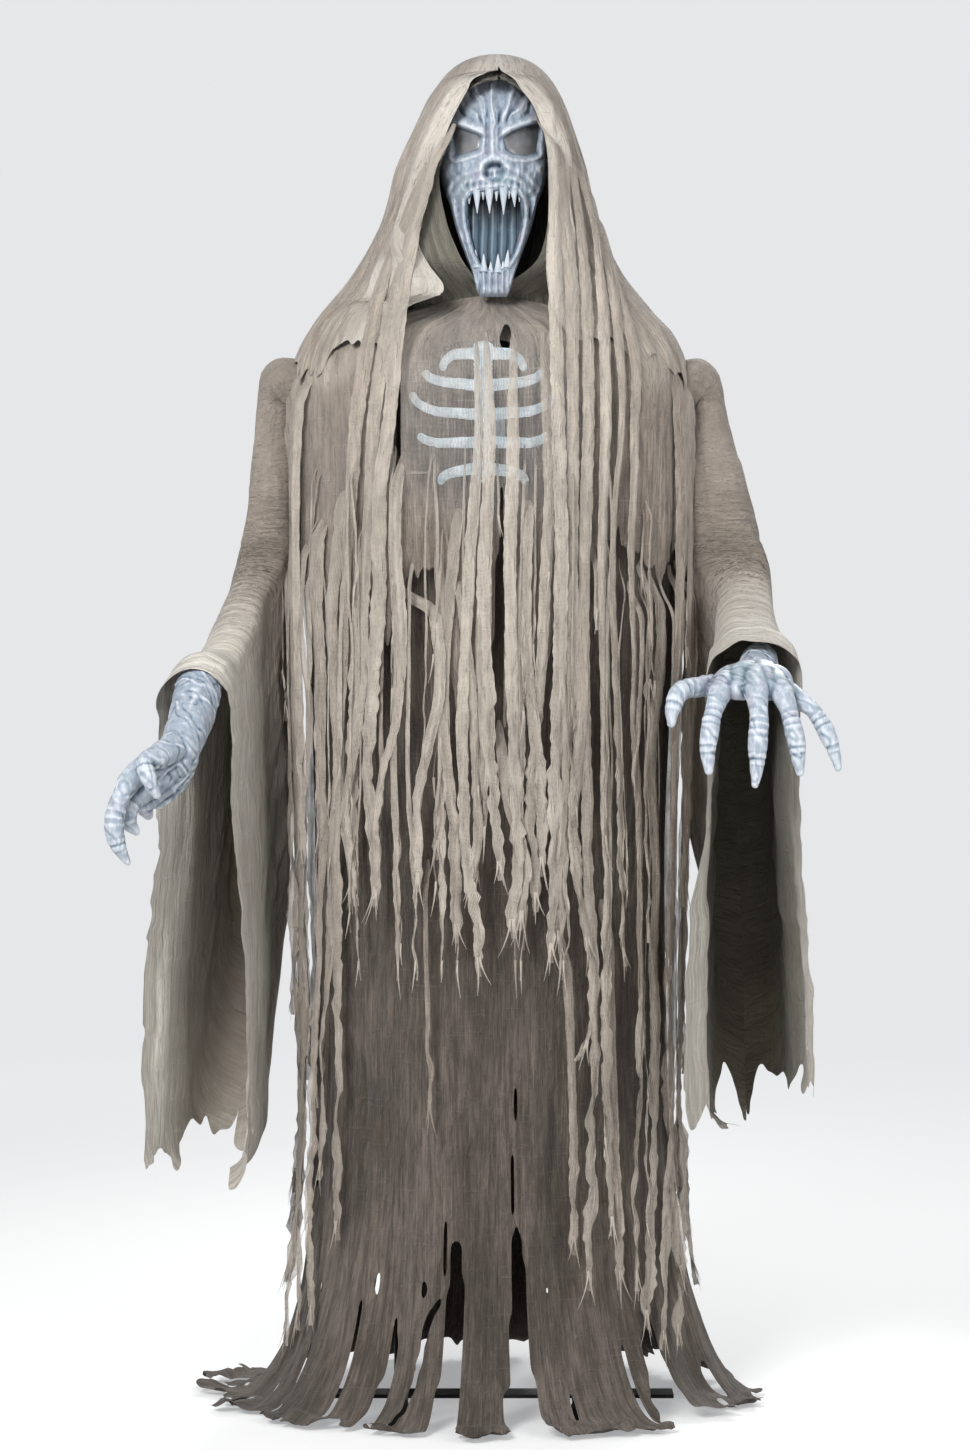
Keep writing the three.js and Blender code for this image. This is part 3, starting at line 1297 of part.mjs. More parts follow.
// Face opening of the hood: a tall arch, fuller at the left where the edge is turned out
const openingShares = [
  [0, 1], [0.5, 0.94], [0.78, 0.81], [0.84, 0.5], [0.82, 0.14], [0.45, 0.03], [0.14, 0],
  [-0.35, 0.03], [-0.66, 0.1], [-1.1, 0.36], [-0.78, 0.66], [-0.45, 0.9],
];

function hoodOpening(grow) {
  const points = openingShares.map(([across, up]) => new THREE.Vector2(
    across * (openingHalfWidth + grow), openingBottom - grow + up * (openingTop - openingBottom + 2 * grow)));
  const shape = new THREE.Shape(new THREE.SplineCurve([...points, points[0]]).getPoints(24));
  return extrudedAlongY(shape, -4 * openingHalfWidth, -headBack / 2, 1);
}

function hood() {
  const lattice = hoodLattice(hoodColumns, hoodShares.length);
  return clothOver(lattice, clothWall, 0, hoodCrown()).subtract(hoodOpening(0));
}

const liningRows = 7;
const liningOutset = -(clothWall + liningGap);

function hoodLining() {
  const lattice = hoodLattice(hoodColumns, liningRows);
  return clothOver(lattice, clothWall, liningOutset, hoodCrown()).subtract(hoodOpening(-seat));
}

const hoodInside = () => insideOf(
  hoodLattice(hoodColumns, liningRows), clothWall / 2 - liningOutset + seat, liningRows, hoodCrown());

// Sleeve from the shoulder to the cuff: share of the arm's length, then shares of the arch's width,
// of the way from arm cover to cuff cover, of the edge's reach, of the shoulder's level, and of the
// inner and outer spread
const sleeveShares = {
  right: [
    [0.035, 0.18, 0, 0.195, 0.964, 0, 0.03], [0.12, 0.26, 1.2, 0.233, 0.911, 0, 0.054],
    [0.22, 0.35, 2, 0.258, 0.809, 0, 0.11], [0.32, 0.44, 2.2, 0.258, 0.671, 0, 0.2],
    [0.42, 0.52, 1.8, 0.233, 0.52, 0.03, 0.34], [0.52, 0.6, 0.8, 0.164, 0.361, 0.054, 0.42],
    [0.6, 0.62, 0.2, 0.025, 0.283, 0.08, 0.46], [0.68, 0.754, 0.06, -0.195, 0.269, 0.108, 0.46],
    [0.76, 0.852, 0.13, -0.44, 0.289, 0.108, 0.405], [0.83, 0.918, 1, -0.66, 0.254, 0.108, 0.324],
    [0.9, 0.984, 1, -0.88, 0.303, 0.46, 0.216], [0.94, 1, 1, -1, 0.249, 0.595, 0.108],
  ],
  left: [
    [0.035, 0.18, 0, 0.195, 0.964, 0, 0.03], [0.12, 0.213, 1.2, 0.233, 0.911, 0, 0.054],
    [0.22, 0.27, 2, 0.258, 0.809, 0, 0.11], [0.32, 0.33, 2.2, 0.258, 0.671, 0, 0.2],
    [0.42, 0.4, 1.8, 0.233, 0.505, 0, 0.4], [0.52, 0.46, 0.8, 0.164, 0.325, 0, 0.6],
    [0.58, 0.5, 0.2, 0.057, 0.245, 0, 0.81], [0.64, 0.49, 0.02, -0.094, 0.217, 0, 1],
    [0.7, 0.59, 0.13, -0.264, 0.238, 0.03, 0.89], [0.75, 0.69, 1, -0.421, 0.202, 0.108, 0.7],
    [0.8, 0.77, 1, -0.56, 0.245, 0.19, 0.486], [0.84, 0.82, 1, -0.66, 0.211, 0.27, 0.3],
  ],
};
const sleeveWallShares = [1, 0.6, 0.22];
const sleeveArchShares = [1, 0.7, 0.35, 0, -0.35, -0.7, -1];

// One crosswise line of a sleeve: up the inner wall, over the arm and down the outer wall
function sleeveSection(arm, station, index) {
  const [share, radiusShare, coverShare, reachShare, levelShare, innerShare, outerShare] = station;
  const radius = sleeveHalfWidth * radiusShare;
  const armCover = armRadius + clothWall / 2 + sleeveEase;
  const cover = armCover + (forearmRadius + clothWall / 2 + cuffEase - armCover) * coverShare;
  const path = armPath(arm, 0, 0);
  const centre = path.getPointAt(share);
  const outward = new THREE.Vector3(arm.side, 0, 0);
  const over = path.getTangentAt(share).cross(new THREE.Vector3(1, 0, 0)).normalize();
  const edge = new THREE.Vector3(centre.x, sleeveReach * reachShare, shoulderLevel * levelShare);
  const arch = centre.clone().addScaledVector(over, cover - radius);
  const ripple = sleeveFold * Math.cos(index * 2.1);
  const wall = (depth, bend) => arch.clone().lerp(edge, depth).addScaledVector(outward, bend);
  const inner = sleeveWallShares.map((depth) => wall(depth, -radius - sleeveSpread * innerShare * depth));
  const outerReach = sleeveSpread * outerShare + ripple;
  const outer = sleeveWallShares.map((depth) => wall(depth, radius + outerReach * depth));
  const top = sleeveArchShares.map((turn) => arch.clone()
    .addScaledVector(outward, -radius * Math.sin(turn * Math.PI / 2))
    .addScaledVector(over, radius * Math.cos(turn * Math.PI / 2)));
  return [...inner, ...top, ...outer.reverse()];
}

function sleeve(name) {
  const arm = armSides[name];
  const lines = sleeveShares[name].map((station, index) => sleeveSection(arm, station, index));
  const columns = lines[0].map((unused, i) => i);
  return clothOver(latticeOf((column, row) => lines[row][column], columns, lines.length, false), clothWall);
}

// Control box on the leg brace, its lid with the controls facing back

const boxBottom = braceLevel + tubeRadius + seat;
const boxMiddle = boxBottom + boxHeight / 2;
const boxFront = -boxDepth / 2;
const lidInner = boxDepth / 2 + seat;
const lidOuter = lidInner + lidThickness;
const buttonX = -boxWidth / 2 + 4 * buttonRadius;
const switchX = buttonX + 5 * buttonRadius;
const speakerX = boxWidth / 2 - 1.5 * speakerRadius;
const controlLevel = boxMiddle + boxHeight / 5;
const inletLevel = boxMiddle - boxHeight / 5;

function controlBox() {
  const shell = block(-boxWidth / 2, boxWidth / 2, boxFront, boxDepth / 2, boxBottom, boxBottom + boxHeight);
  const hollow = block(-boxWidth / 2 + boxWall, boxWidth / 2 - boxWall, boxFront + boxWall, boxDepth / 2 + overrun,
    boxBottom + boxWall, boxBottom + boxHeight - boxWall);
  const posts = [-1, 1].map((side) => alongY(turned(rodProfile(2 * boxWall, 0, 3 * boxWall), 8),
    side * boxWidth / 3, boxFront + boxWall / 2, boxMiddle));
  return joinAll([shell.subtract(hollow), ...posts]);
}

const boardBack = boxFront + boxWall / 2 + 3 * boxWall + seat;

function controlBoard() {
  return block(-boxWidth / 2 + 3 * boxWall, boxWidth / 2 - 3 * boxWall, boardBack, boardBack + boardThickness,
    boxBottom + 3 * boxWall, boxBottom + boxHeight - 3 * boxWall);
}

function controlBoxLid() {
  const plate = block(-boxWidth / 2, boxWidth / 2, lidInner, lidOuter, boxBottom, boxBottom + boxHeight);
  const button = alongY(turned(rodProfile(buttonRadius + seat, 0, boxDepth), 16), buttonX, 0, controlLevel);
  const slotHalf = (switchLength + switchTravel) / 2 + seat;
  const slot = block(switchX - slotHalf, switchX + slotHalf, 0, boxDepth,
    controlLevel - switchHeight / 2 - seat, controlLevel + switchHeight / 2 + seat);
  const inlet = alongY(turned(rodProfile(inletRadius + seat, 0, boxDepth), 16), buttonX, 0, inletLevel);
  const slots = Array.from({ length: grilleSlots }, (unused, i) => {
    const level = boxMiddle + (i - (grilleSlots - 1) / 2) * 2.4 * slotHeight;
    const half = Math.sqrt(speakerRadius ** 2 - (level - boxMiddle) ** 2) * 0.8;
    return block(speakerX - half, speakerX + half, 0, boxDepth, level - slotHeight / 2, level + slotHeight / 2);
  });
  return cutAll(plate, [button, slot, inlet, ...slots]);
}

function speaker() {
  const profile = [
    [0, 0], [speakerRadius * 0.6, 0], [speakerRadius * 0.6, speakerDepth / 2],
    [speakerRadius, speakerDepth * 0.7], [speakerRadius, speakerDepth],
    [speakerRadius * 0.85, speakerDepth], [speakerRadius * 0.4, speakerDepth * 0.75],
    [0, speakerDepth * 0.8],
  ];
  return alongY(turned(profile, 12), speakerX, lidInner - seat - speakerDepth, boxMiddle);
}

function tryButton() {
  const profile = [
    [0, 0], [buttonRadius * 1.4, 0], [buttonRadius * 1.4, buttonFlange], [buttonRadius, buttonFlange],
    [buttonRadius, buttonFlange + seat + lidThickness + buttonProud * 0.7],
    [buttonRadius * 0.8, buttonFlange + seat + lidThickness + buttonProud],
    [0, buttonFlange + seat + lidThickness + buttonProud],
  ];
  return alongY(turned(profile, 12), buttonX, lidInner - seat - buttonFlange, controlLevel);
}

function modeSwitch() {
  const behind = lidInner - seat;
  const knob = block(switchX - switchLength / 2, switchX + switchLength / 2, behind - buttonFlange / 2,
    lidOuter + switchProud, controlLevel - switchHeight / 2, controlLevel + switchHeight / 2);
  const base = block(switchX - switchLength, switchX + switchLength, behind - buttonFlange, behind,
    controlLevel - switchHeight, controlLevel + switchHeight);
  return knob.add(base);
}

// Power inlet through the lid, its flange outside
function dcInlet() {
  const inletFace = inletLength + inletFlangeThickness;
  const profile = [
    [inletBoreRadius, 0], [inletRadius, 0], [inletRadius, inletLength], [inletFlangeRadius, inletLength],
    [inletFlangeRadius, inletFace], [inletBoreRadius, inletFace], [inletBoreRadius, 0],
  ];
  return alongY(turned(profile, 16), buttonX, lidOuter + seat - inletLength, inletLevel);
}

// Assembly

const ghoul = new THREE.Group();

function addStand() {
  const skirtSpace = skirtInside();
  const stand = new THREE.Group();
  stand.add(piece('base_tie_bar', tieBar(), paintedSteel()));
  for (const [name, side] of [['left', -1], ['right', 1]]) {
    stand.add(piece(`${name}_foot_rail`, footRail(), paintedSteel(), side * legSpread, 0, railLevel));
    const [x, y] = [side * legSpread, railHalfLength];
    stand.add(piece(`${name}_front_foot_cap`, footCap(), rubber(), x, -y, railLevel));
    const rearCap = piece(`${name}_rear_foot_cap`, footCap(), rubber(), x, y, railLevel);
    rearCap.rotation.z = Math.PI;
    stand.add(rearCap);
    stand.add(piece(`${name}_leg_tube`, legTube(side), paintedSteel()));
  }
  stand.add(piece('leg_brace', legBrace(), paintedSteel()));
  stand.add(piece('hip_bar', hipBar(skirtSpace), paintedSteel()));
  stand.add(piece('motor_bracket', motorBracket(), barePlate()));
  stand.add(piece('gear_motor', gearMotor(), barePlate()));
  stand.add(piece('swivel_bearing', swivelBearing(), whiteAcetal()));
  for (const name of Object.keys(goreStarts)) {
    stand.add(piece(`skirt_${name}_panel`, skirtGore(name), robeCloth()));
  }
  ghoul.add(stand);
}

function addControls() {
  const controls = new THREE.Group();
  controls.add(piece('control_box', controlBox(), blackPlastic()));
  controls.add(piece('control_box_lid', controlBoxLid(), blackPlastic()));
  controls.add(piece('control_board', controlBoard(), circuitBoard()));
  controls.add(piece('speaker', speaker(), barePlate()));
  controls.add(piece('dc_inlet', dcInlet(), blackPlastic()));
  controls.add(piece('try_button', tryButton(), redButton()));
  controls.add(piece('mode_switch', modeSwitch(), whiteAcetal()));
  ghoul.add(controls);
}

function addTorso() {
  const torso = new THREE.Group();
  const robeSpace = insideOf(robeLattice(28), clothWall / 2 + seat, robeShares.length);
  torso.add(piece('spindle', spindle(), barePlate()));
  torso.add(piece('sector_gear', sectorGear(), whiteAcetal()));
  torso.add(piece('drive_pinion', drivePinion(), brass(), 0, gearCentreDistance, 0));
  torso.add(piece('spine_tube', spineTube(), paintedSteel()));
  torso.add(piece('shoulder_bar', shoulderBar(), paintedSteel()));
  torso.add(piece('neck_tube', neckTube(), paintedSteel()));
  for (const [name, side] of [['left', -1], ['right', 1]]) {
    torso.add(piece(`${name}_shoulder_bolt`, shoulderBolt(armSides[name]), barePlate()));
    torso.add(piece(`${name}_shoulder_pad`, shoulderPad(side, robeSpace), blackPlastic()));
  }
  torso.add(piece('rib_plate', ribPlate(), paleMoulding()));
  torso.add(piece('rib_strap', ribStrap(), barePlate()));
  torso.add(piece('chest_lamp', chestLamp(), lampLens()));
  torso.add(piece('robe_top', robeTop(), robeCloth()));
  torso.add(piece('gauze_poncho', poncho(), paleGauze()));
  ghoul.add(torso);
}

function addHead() {
  const head = new THREE.Group();
  head.add(piece('head_form', headForm(hoodInside()), blackPlastic()));
  head.add(piece('ghoul_mask', maskShell(), paleMoulding()));
  head.add(piece('mouth_panel', mouthPanel(), mouthPaint()));
  head.add(piece('left_eye_lens', eyeLens(-1), greyLens()));
  head.add(piece('right_eye_lens', eyeLens(1), greyLens()));
  head.add(piece('hood', hood(), paleGauze()));
  head.add(piece('hood_lining', hoodLining(), darkLining()));
  ghoul.add(head);
}

function addArm(name) {
  const arm = armSides[name];
  const group = new THREE.Group();
  group.add(piece(`${name}_arm_tube`, armTube(arm), paintedSteel()));
  group.add(piece(`${name}_sleeve`, sleeve(name), creamCloth()));
  group.add(handMesh(`${name}_hand`, arm));
  ghoul.add(group);
}

addStand();
addControls();
addTorso();
addHead();
addArm('left');
addArm('right');

export default ghoul;
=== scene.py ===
import json
import math

import bpy
import numpy as np
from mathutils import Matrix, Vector


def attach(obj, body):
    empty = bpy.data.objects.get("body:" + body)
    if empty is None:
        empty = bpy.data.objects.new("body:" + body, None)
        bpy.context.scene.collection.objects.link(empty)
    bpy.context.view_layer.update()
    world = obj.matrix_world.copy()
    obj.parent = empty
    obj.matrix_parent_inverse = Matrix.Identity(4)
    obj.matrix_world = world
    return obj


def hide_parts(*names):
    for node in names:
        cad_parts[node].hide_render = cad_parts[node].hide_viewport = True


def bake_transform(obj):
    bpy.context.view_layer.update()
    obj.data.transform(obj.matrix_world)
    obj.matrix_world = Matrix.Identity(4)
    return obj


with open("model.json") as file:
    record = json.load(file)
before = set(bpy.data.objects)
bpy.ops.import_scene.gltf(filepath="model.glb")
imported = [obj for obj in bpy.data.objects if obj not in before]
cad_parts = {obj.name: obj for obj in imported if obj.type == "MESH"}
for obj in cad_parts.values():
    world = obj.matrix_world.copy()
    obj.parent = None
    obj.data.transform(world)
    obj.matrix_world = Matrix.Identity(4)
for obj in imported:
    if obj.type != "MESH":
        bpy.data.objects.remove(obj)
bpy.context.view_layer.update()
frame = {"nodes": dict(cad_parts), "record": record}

# Camera: the photograph's distance, height and field of view
CAMERA_DISTANCE = 4.2
CAMERA_HEIGHT = 0.916
CAMERA_X = -0.0068
PIXELS_PER_METRE = 731.5
IMAGE_WIDTH, IMAGE_HEIGHT = 970, 1450
SENSOR = 36.0

# Arms: shoulder, elbow and wrist, and the length of the bend on each side of the elbow
SHOULDER_REACH = 0.288
SHOULDER_LEVEL = 1.385
ELBOW_BEND = 0.055
ELBOWS = {"right": (0.345, -0.008, 1.105), "left": (-0.312, -0.005, 1.105)}
WRISTS = {"right": (0.335, -0.335, 0.968), "left": (-0.418, -0.300, 0.885)}
SIDES = {"right": 1, "left": -1}

# Head
HEAD_SHIFT = 0.006
HOOD_TOP = 1.826


def scale_at(y):
    """Pixels of the image to the metre at a depth"""
    return PIXELS_PER_METRE * CAMERA_DISTANCE / (CAMERA_DISTANCE + y)


def x_at(px, y):
    """X of an image column at a depth"""
    return CAMERA_X + (px - IMAGE_WIDTH / 2) / scale_at(y)


def z_at(py, y):
    """Height of an image row at a depth"""
    return CAMERA_HEIGHT + (IMAGE_HEIGHT / 2 - py) / scale_at(y)


# Smooth noise and curves

def corner_value(a, b, seed):
    """A fixed number from -1 to 1 for each corner of a grid of cells"""
    h = (a.astype(np.int64) * 374761393 + b.astype(np.int64) * 668265263 + seed * 97471) & 0xffffffff
    h = ((h ^ (h >> 13)) * 1274126177) & 0xffffffff
    return ((h ^ (h >> 16)) & 0xffff) / 32767.5 - 1


def noise(u, v, seed, wrap=0):
    """Smooth noise from -1 to 1; u repeats after wrap cells"""
    u, v = np.broadcast_arrays(np.asarray(u, float), np.asarray(v, float))
    iu, iv = np.floor(u), np.floor(v)
    fu, fv = u - iu, v - iv
    fu, fv = fu * fu * (3 - 2 * fu), fv * fv * (3 - 2 * fv)
    ua, ub = iu, iu + 1
    if wrap:
        ua, ub = ua % wrap, ub % wrap
    low = corner_value(ua, iv, seed) * (1 - fu) + corner_value(ub, iv, seed) * fu
    high = corner_value(ua, iv + 1, seed) * (1 - fu) + corner_value(ub, iv + 1, seed) * fu
    return low * (1 - fv) + high * fv


def smooth(t):
    """An even rise from 0 to 1"""
    t = np.clip(t, 0, 1)
    return t * t * (3 - 2 * t)


def hill(x, half):
    """A smooth bump of height 1 that ends at half on each side"""
    return smooth(1 - np.abs(x) / half)


def through(table, places):
    """Smooth values at places between the rows of a table whose first column rises"""
    table = np.asarray(table, float)
    keys, values = table[:, 0], table[:, 1:]
    steps = np.diff(keys)
    slopes = np.diff(values, axis=0) / steps[:, None]
    turning = np.sign(slopes[:-1]) != np.sign(slopes[1:])
    middle = np.where(turning, 0, (slopes[:-1] + slopes[1:]) / 2)
    tangents = np.vstack([slopes[:1], middle, slopes[-1:]])
    places = np.clip(np.asarray(places, float), keys[0], keys[-1])
    i = np.clip(np.searchsorted(keys, places, side="right") - 1, 0, len(steps) - 1)
    h = steps[i][..., None]
    t = ((places - keys[i]) / steps[i])[..., None]
    return ((2 * t**3 - 3 * t**2 + 1) * values[i] + (t**3 - 2 * t**2 + t) * h * tangents[i]
            + (-2 * t**3 + 3 * t**2) * values[i + 1] + (t**3 - t**2) * h * tangents[i + 1])


def oval(angle, half_width, half_depth, power=2.0):
    """Point of a flattened oval; the angle runs from the front toward +X"""
    s, c = np.sin(angle), np.cos(angle)
    return (np.sign(s) * np.abs(s) ** (2 / power) * half_width,
            -np.sign(c) * np.abs(c) ** (2 / power) * half_depth)


def oval_tube(angle, drop, table):
    """Points of an oval tube of cloth, their outward way and how far round they lie, as a share of a turn"""
    level, width, depth, power = np.moveaxis(through(table, drop), -1, 0)
    x, y = oval(angle, width, depth, power)
    out = np.stack([x, y * (width / depth), np.zeros_like(x)], -1)
    out /= np.maximum(np.linalg.norm(out, axis=-1, keepdims=True), 1e-9)
    return np.stack([x, y, level], -1), out, (angle / (2 * math.pi)) % 1


def run_along(points):
    """How far along a line of points each one lies"""
    return np.concatenate([[0], np.cumsum(np.linalg.norm(np.diff(points, axis=0), axis=1))])


def folds(across, down, seed, layers, wrap=True):
    """Depth of hanging folds. across runs from 0 to 1 and down in metres. Each layer gives the number of
    cells across, the length of a fold, its height and how sharp its ridges are"""
    total = 0
    for i, (cells, length, height, sharp) in enumerate(layers):
        drift = 0.5 * noise(across * 4, down / (2.5 * length), seed + 50 + i, 4 if wrap else 0)
        value = noise(across * cells + drift, down / length, seed + i, cells if wrap else 0)
        total = total + height * ((1 - sharp) * value + sharp * (1 - 2.4 * np.abs(value)))
    return total


# Making meshes

def deselect():
    if bpy.context.mode != "OBJECT":
        bpy.ops.object.mode_set(mode="OBJECT")
    bpy.ops.object.select_all(action="DESELECT")


def only(piece):
    """Selects one object and no other"""
    deselect()
    piece.select_set(True)
    bpy.context.view_layer.objects.active = piece


def apply_modifiers(piece):
    only(piece)
    for modifier in list(piece.modifiers):
        bpy.ops.object.modifier_apply(modifier=modifier.name)


def grid_normals(grid):
    across = np.gradient(grid, axis=1)
    down = np.gradient(grid, axis=0)
    normal = np.cross(down, across)
    length = np.linalg.norm(normal, axis=2, keepdims=True)
    return normal / np.maximum(length, 1e-12)


def unrolled(drop, columns):
    """Angles and drops for each point of a cloth that runs all the way round"""
    return np.meshgrid(np.linspace(-math.pi, math.pi, columns, endpoint=False), drop)


# Sweeps down and up the cloth that find which faces hang from its top row
HANGING_SWEEPS = 3


def hanging(kept):
    """Faces joined to the top row, so that no scrap of cloth floats by itself"""
    rows = len(kept)
    held = kept.copy()
    held[1:] = False
    for _ in range(HANGING_SWEEPS):
        for order, step in ((range(1, rows), -1), (range(rows - 2, -1, -1), 1)):
            for r in order:
                runs = np.cumsum(~kept[r])
                held[r] = kept[r] & np.isin(runs, runs[kept[r] & (held[r] | held[r + step])])
    return held


def patch(grid, closed=False, kept=None, marks=None, soften=3):
    """Part of a cloth over a grid of points from the top row down. kept says which faces are there, marks are
    numbers for each point that the material reads, and soften is how often the torn rim is evened out"""
    rows, columns = grid.shape[:2]
    spans = columns if closed else columns - 1
    r, c = np.meshgrid(np.arange(rows - 1), np.arange(spans), indexing="ij")
    n = (c + 1) % columns
    quads = np.stack([r * columns + c, (r + 1) * columns + c, (r + 1) * columns + n, r * columns + n], -1)
    if kept is not None:
        quads = quads[kept[:rows - 1, :spans]]
    used, index = np.unique(quads.reshape(-1, 4), return_inverse=True)
    quads = index.reshape(-1, 4)
    points = grid.reshape(-1, 3)[used].copy()
    if kept is not None and soften:
        ends = np.sort(np.concatenate([quads[:, [k, (k + 1) % 4]] for k in range(4)]), 1)
        keys, counts = np.unique(ends[:, 0] * len(points) + ends[:, 1], return_counts=True)
        rim = np.stack([keys[counts == 1] // len(points), keys[counts == 1] % len(points)], 1)
        degree = np.bincount(rim.ravel(), minlength=len(points))
        inside = degree >= 2
        for _ in range(soften):
            total = np.zeros_like(points)
            np.add.at(total, rim[:, 0], points[rim[:, 1]])
            np.add.at(total, rim[:, 1], points[rim[:, 0]])
            points[inside] = (points[inside] + total[inside] / degree[inside, None]) / 2
    step_u = np.linalg.norm(np.diff(grid, axis=1), axis=2).mean(0)
    step_v = np.linalg.norm(np.diff(grid, axis=0), axis=2).mean(1)
    u = np.concatenate([[0], np.cumsum(step_u)])
    v = np.concatenate([[0], np.cumsum(step_v)])
    flat = np.stack(np.broadcast_arrays(u[None, :], v[:, None]), -1).reshape(-1, 2)[used]
    uv = flat[quads]
    if closed:
        total = u[-1] + np.linalg.norm(grid[:, 0] - grid[:, -1], axis=1).mean()
        wide = uv[:, :, 0].max(1) - uv[:, :, 0].min(1) > total / 2
        uv[:, :, 0] += np.where(wide[:, None] & (uv[:, :, 0] < total / 2), total, 0)
    values = {mark: np.broadcast_to(value, grid.shape[:2]).reshape(-1)[used]
              for mark, value in (marks or {}).items()}
    return {"points": points, "quads": quads, "uv": uv, "marks": values}


def cloth(name, patches):
    """One piece of cloth from its patches"""
    starts = np.cumsum([0] + [len(p["points"]) for p in patches])
    points = np.concatenate([p["points"] for p in patches])
    quads = np.concatenate([p["quads"] + start for p, start in zip(patches, starts)])
    uv = np.concatenate([p["uv"] for p in patches])
    mesh = bpy.data.meshes.new(name)
    mesh.vertices.add(len(points))
    mesh.vertices.foreach_set("co", points.astype(np.float32).ravel())
    mesh.loops.add(quads.size)
    mesh.loops.foreach_set("vertex_index", quads.astype(np.int32).ravel())
    mesh.polygons.add(len(quads))
    mesh.polygons.foreach_set("loop_start", np.arange(0, quads.size, 4, dtype=np.int32))
    mesh.update(calc_edges=True)
    mesh.validate()
    mesh.uv_layers.new(name="cloth").data.foreach_set("uv", uv.astype(np.float32).ravel())
    for mark in patches[0]["marks"]:
        values = np.concatenate([p["marks"][mark] for p in patches])
        attribute = mesh.attributes.new(mark, "FLOAT", "POINT")
        attribute.data.foreach_set("value", values.astype(np.float32))
    mesh.polygons.foreach_set("use_smooth", np.ones(len(mesh.polygons), bool))
    piece = bpy.data.objects.new(name, mesh)
    bpy.context.scene.collection.objects.link(piece)
    return piece


def joined(name, pieces):
    """One object made of several"""
    deselect()
    for piece in pieces:
        piece.select_set(True)
    bpy.context.view_layer.objects.active = pieces[0]
    bpy.ops.object.join()
    pieces[0].name = name
    pieces[0].data.name = name
    return pieces[0]


def ball(place, segments, rings, radius=1.0, scale=(1, 1, 1)):
    bpy.ops.mesh.primitive_uv_sphere_add(segments=segments, ring_count=rings, radius=radius, location=place,
                                         scale=scale)
    bpy.ops.object.transform_apply(location=True, rotation=True, scale=True)
    return bpy.context.object


def melted(name, balls, voxel, smoothing_rounds):
    """Balls that run into one another, under one smooth skin"""
    skin = joined(name, balls)
    skin.data.remesh_voxel_size = voxel
    only(skin)
    bpy.ops.object.voxel_remesh()
    smoothing = skin.modifiers.new("smooth", "SMOOTH")
    smoothing.factor = 0.5
    smoothing.iterations = smoothing_rounds
    apply_modifiers(skin)
    return skin


def paint(piece, material):
    """Shades a moulding smooth and gives it one material"""
    only(piece)
    bpy.ops.object.shade_smooth()
    piece.data.materials.clear()
    piece.data.materials.append(material)


# Camera, floor and lights

CLIP_END = 50


def add_camera():
    data = bpy.data.cameras.new("camera")
    data.sensor_fit = "VERTICAL"
    data.sensor_width = data.sensor_height = SENSOR
    data.lens = SENSOR * PIXELS_PER_METRE * CAMERA_DISTANCE / IMAGE_HEIGHT
    data.clip_end = CLIP_END
    camera = bpy.data.objects.new("camera", data)
    camera.location = (CAMERA_X, -CAMERA_DISTANCE, CAMERA_HEIGHT)
    camera.rotation_euler = (math.pi / 2, 0, 0)
    bpy.context.scene.collection.objects.link(camera)
    bpy.context.scene.camera = camera


def add_light(name, place, target, size, power):
    data = bpy.data.lights.new(name, "AREA")
    data.shape = "DISK"
    data.size = size
    data.energy = power
    lamp = bpy.data.objects.new(name, data)
    lamp.location = place
    lamp.rotation_euler = (Vector(target) - Vector(place)).to_track_quat("-Z", "Y").to_euler()
    bpy.context.scene.collection.objects.link(lamp)


# Lights: place, the point they face, width of the disk in metres and power in watts
LIGHTS = {
    "key": ((-1.6, -3.4, 3.0), (0, 0, 1.1), 1.6, 150),
    "fill": ((2.6, -2.6, 1.6), (0, 0, 0.9), 2.2, 44),
    "rim": ((1.2, 2.8, 2.8), (0, 0, 1.2), 1.5, 60),
}

add_camera()
for light_name, light in LIGHTS.items():
    add_light(light_name, *light)


# Materials

class Shading:
    """Short way to lay out the nodes of a material or a group"""

    def __init__(self, tree):
        self.tree = tree

    def put(self, target, value):
        if isinstance(value, bpy.types.NodeSocket):
            self.tree.links.new(value, target)
        elif isinstance(value, tuple) and len(value) == 3 and target.type == "RGBA":
            target.default_value = (*value, 1)
        else:
            target.default_value = value

    def fill(self, node, values):
        """Sets or links several inputs of a node"""
        for key, value in values.items():
            self.put(node.inputs[key], value)

    def node(self, kind, inputs=None, **settings):
        made = self.tree.nodes.new("ShaderNode" + kind)
        for key, value in settings.items():
            setattr(made, key, value)
        self.fill(made, inputs or {})
        return made

    def math(self, operation, a, b=0.0, c=0.0, clamp=False):
        return self.node("Math", {0: a, 1: b, 2: c}, operation=operation, use_clamp=clamp).outputs[0]

    def mix(self, factor, a, b):
        return self.node("Mix", {0: factor, 6: a, 7: b}, data_type="RGBA").outputs[2]

    def span(self, value, low, high, to_low=0.0, to_high=1.0):
        made = self.node("MapRange", {"Value": value, "From Min": low, "From Max": high,
                                      "To Min": to_low, "To Max": to_high}, interpolation_type="SMOOTHSTEP")
        return made.outputs[0]

    def noise(self, place, scale, detail=3.0, roughness=0.55, distortion=0.0):
        made = self.node("TexNoise", {"Vector": place, "Scale": scale, "Detail": detail,
                                      "Roughness": roughness, "Distortion": distortion})
        return made.outputs["Fac"]

    def stretch(self, place, x, y, z):
        return self.node("Mapping", {"Vector": place, "Scale": (x, y, z)}).outputs[0]

    def bump(self, height, strength, distance, normal=None):
        inputs = {"Height": height, "Strength": strength, "Distance": distance}
        if normal is not None:
            inputs["Normal"] = normal
        return self.node("Bump", inputs).outputs[0]


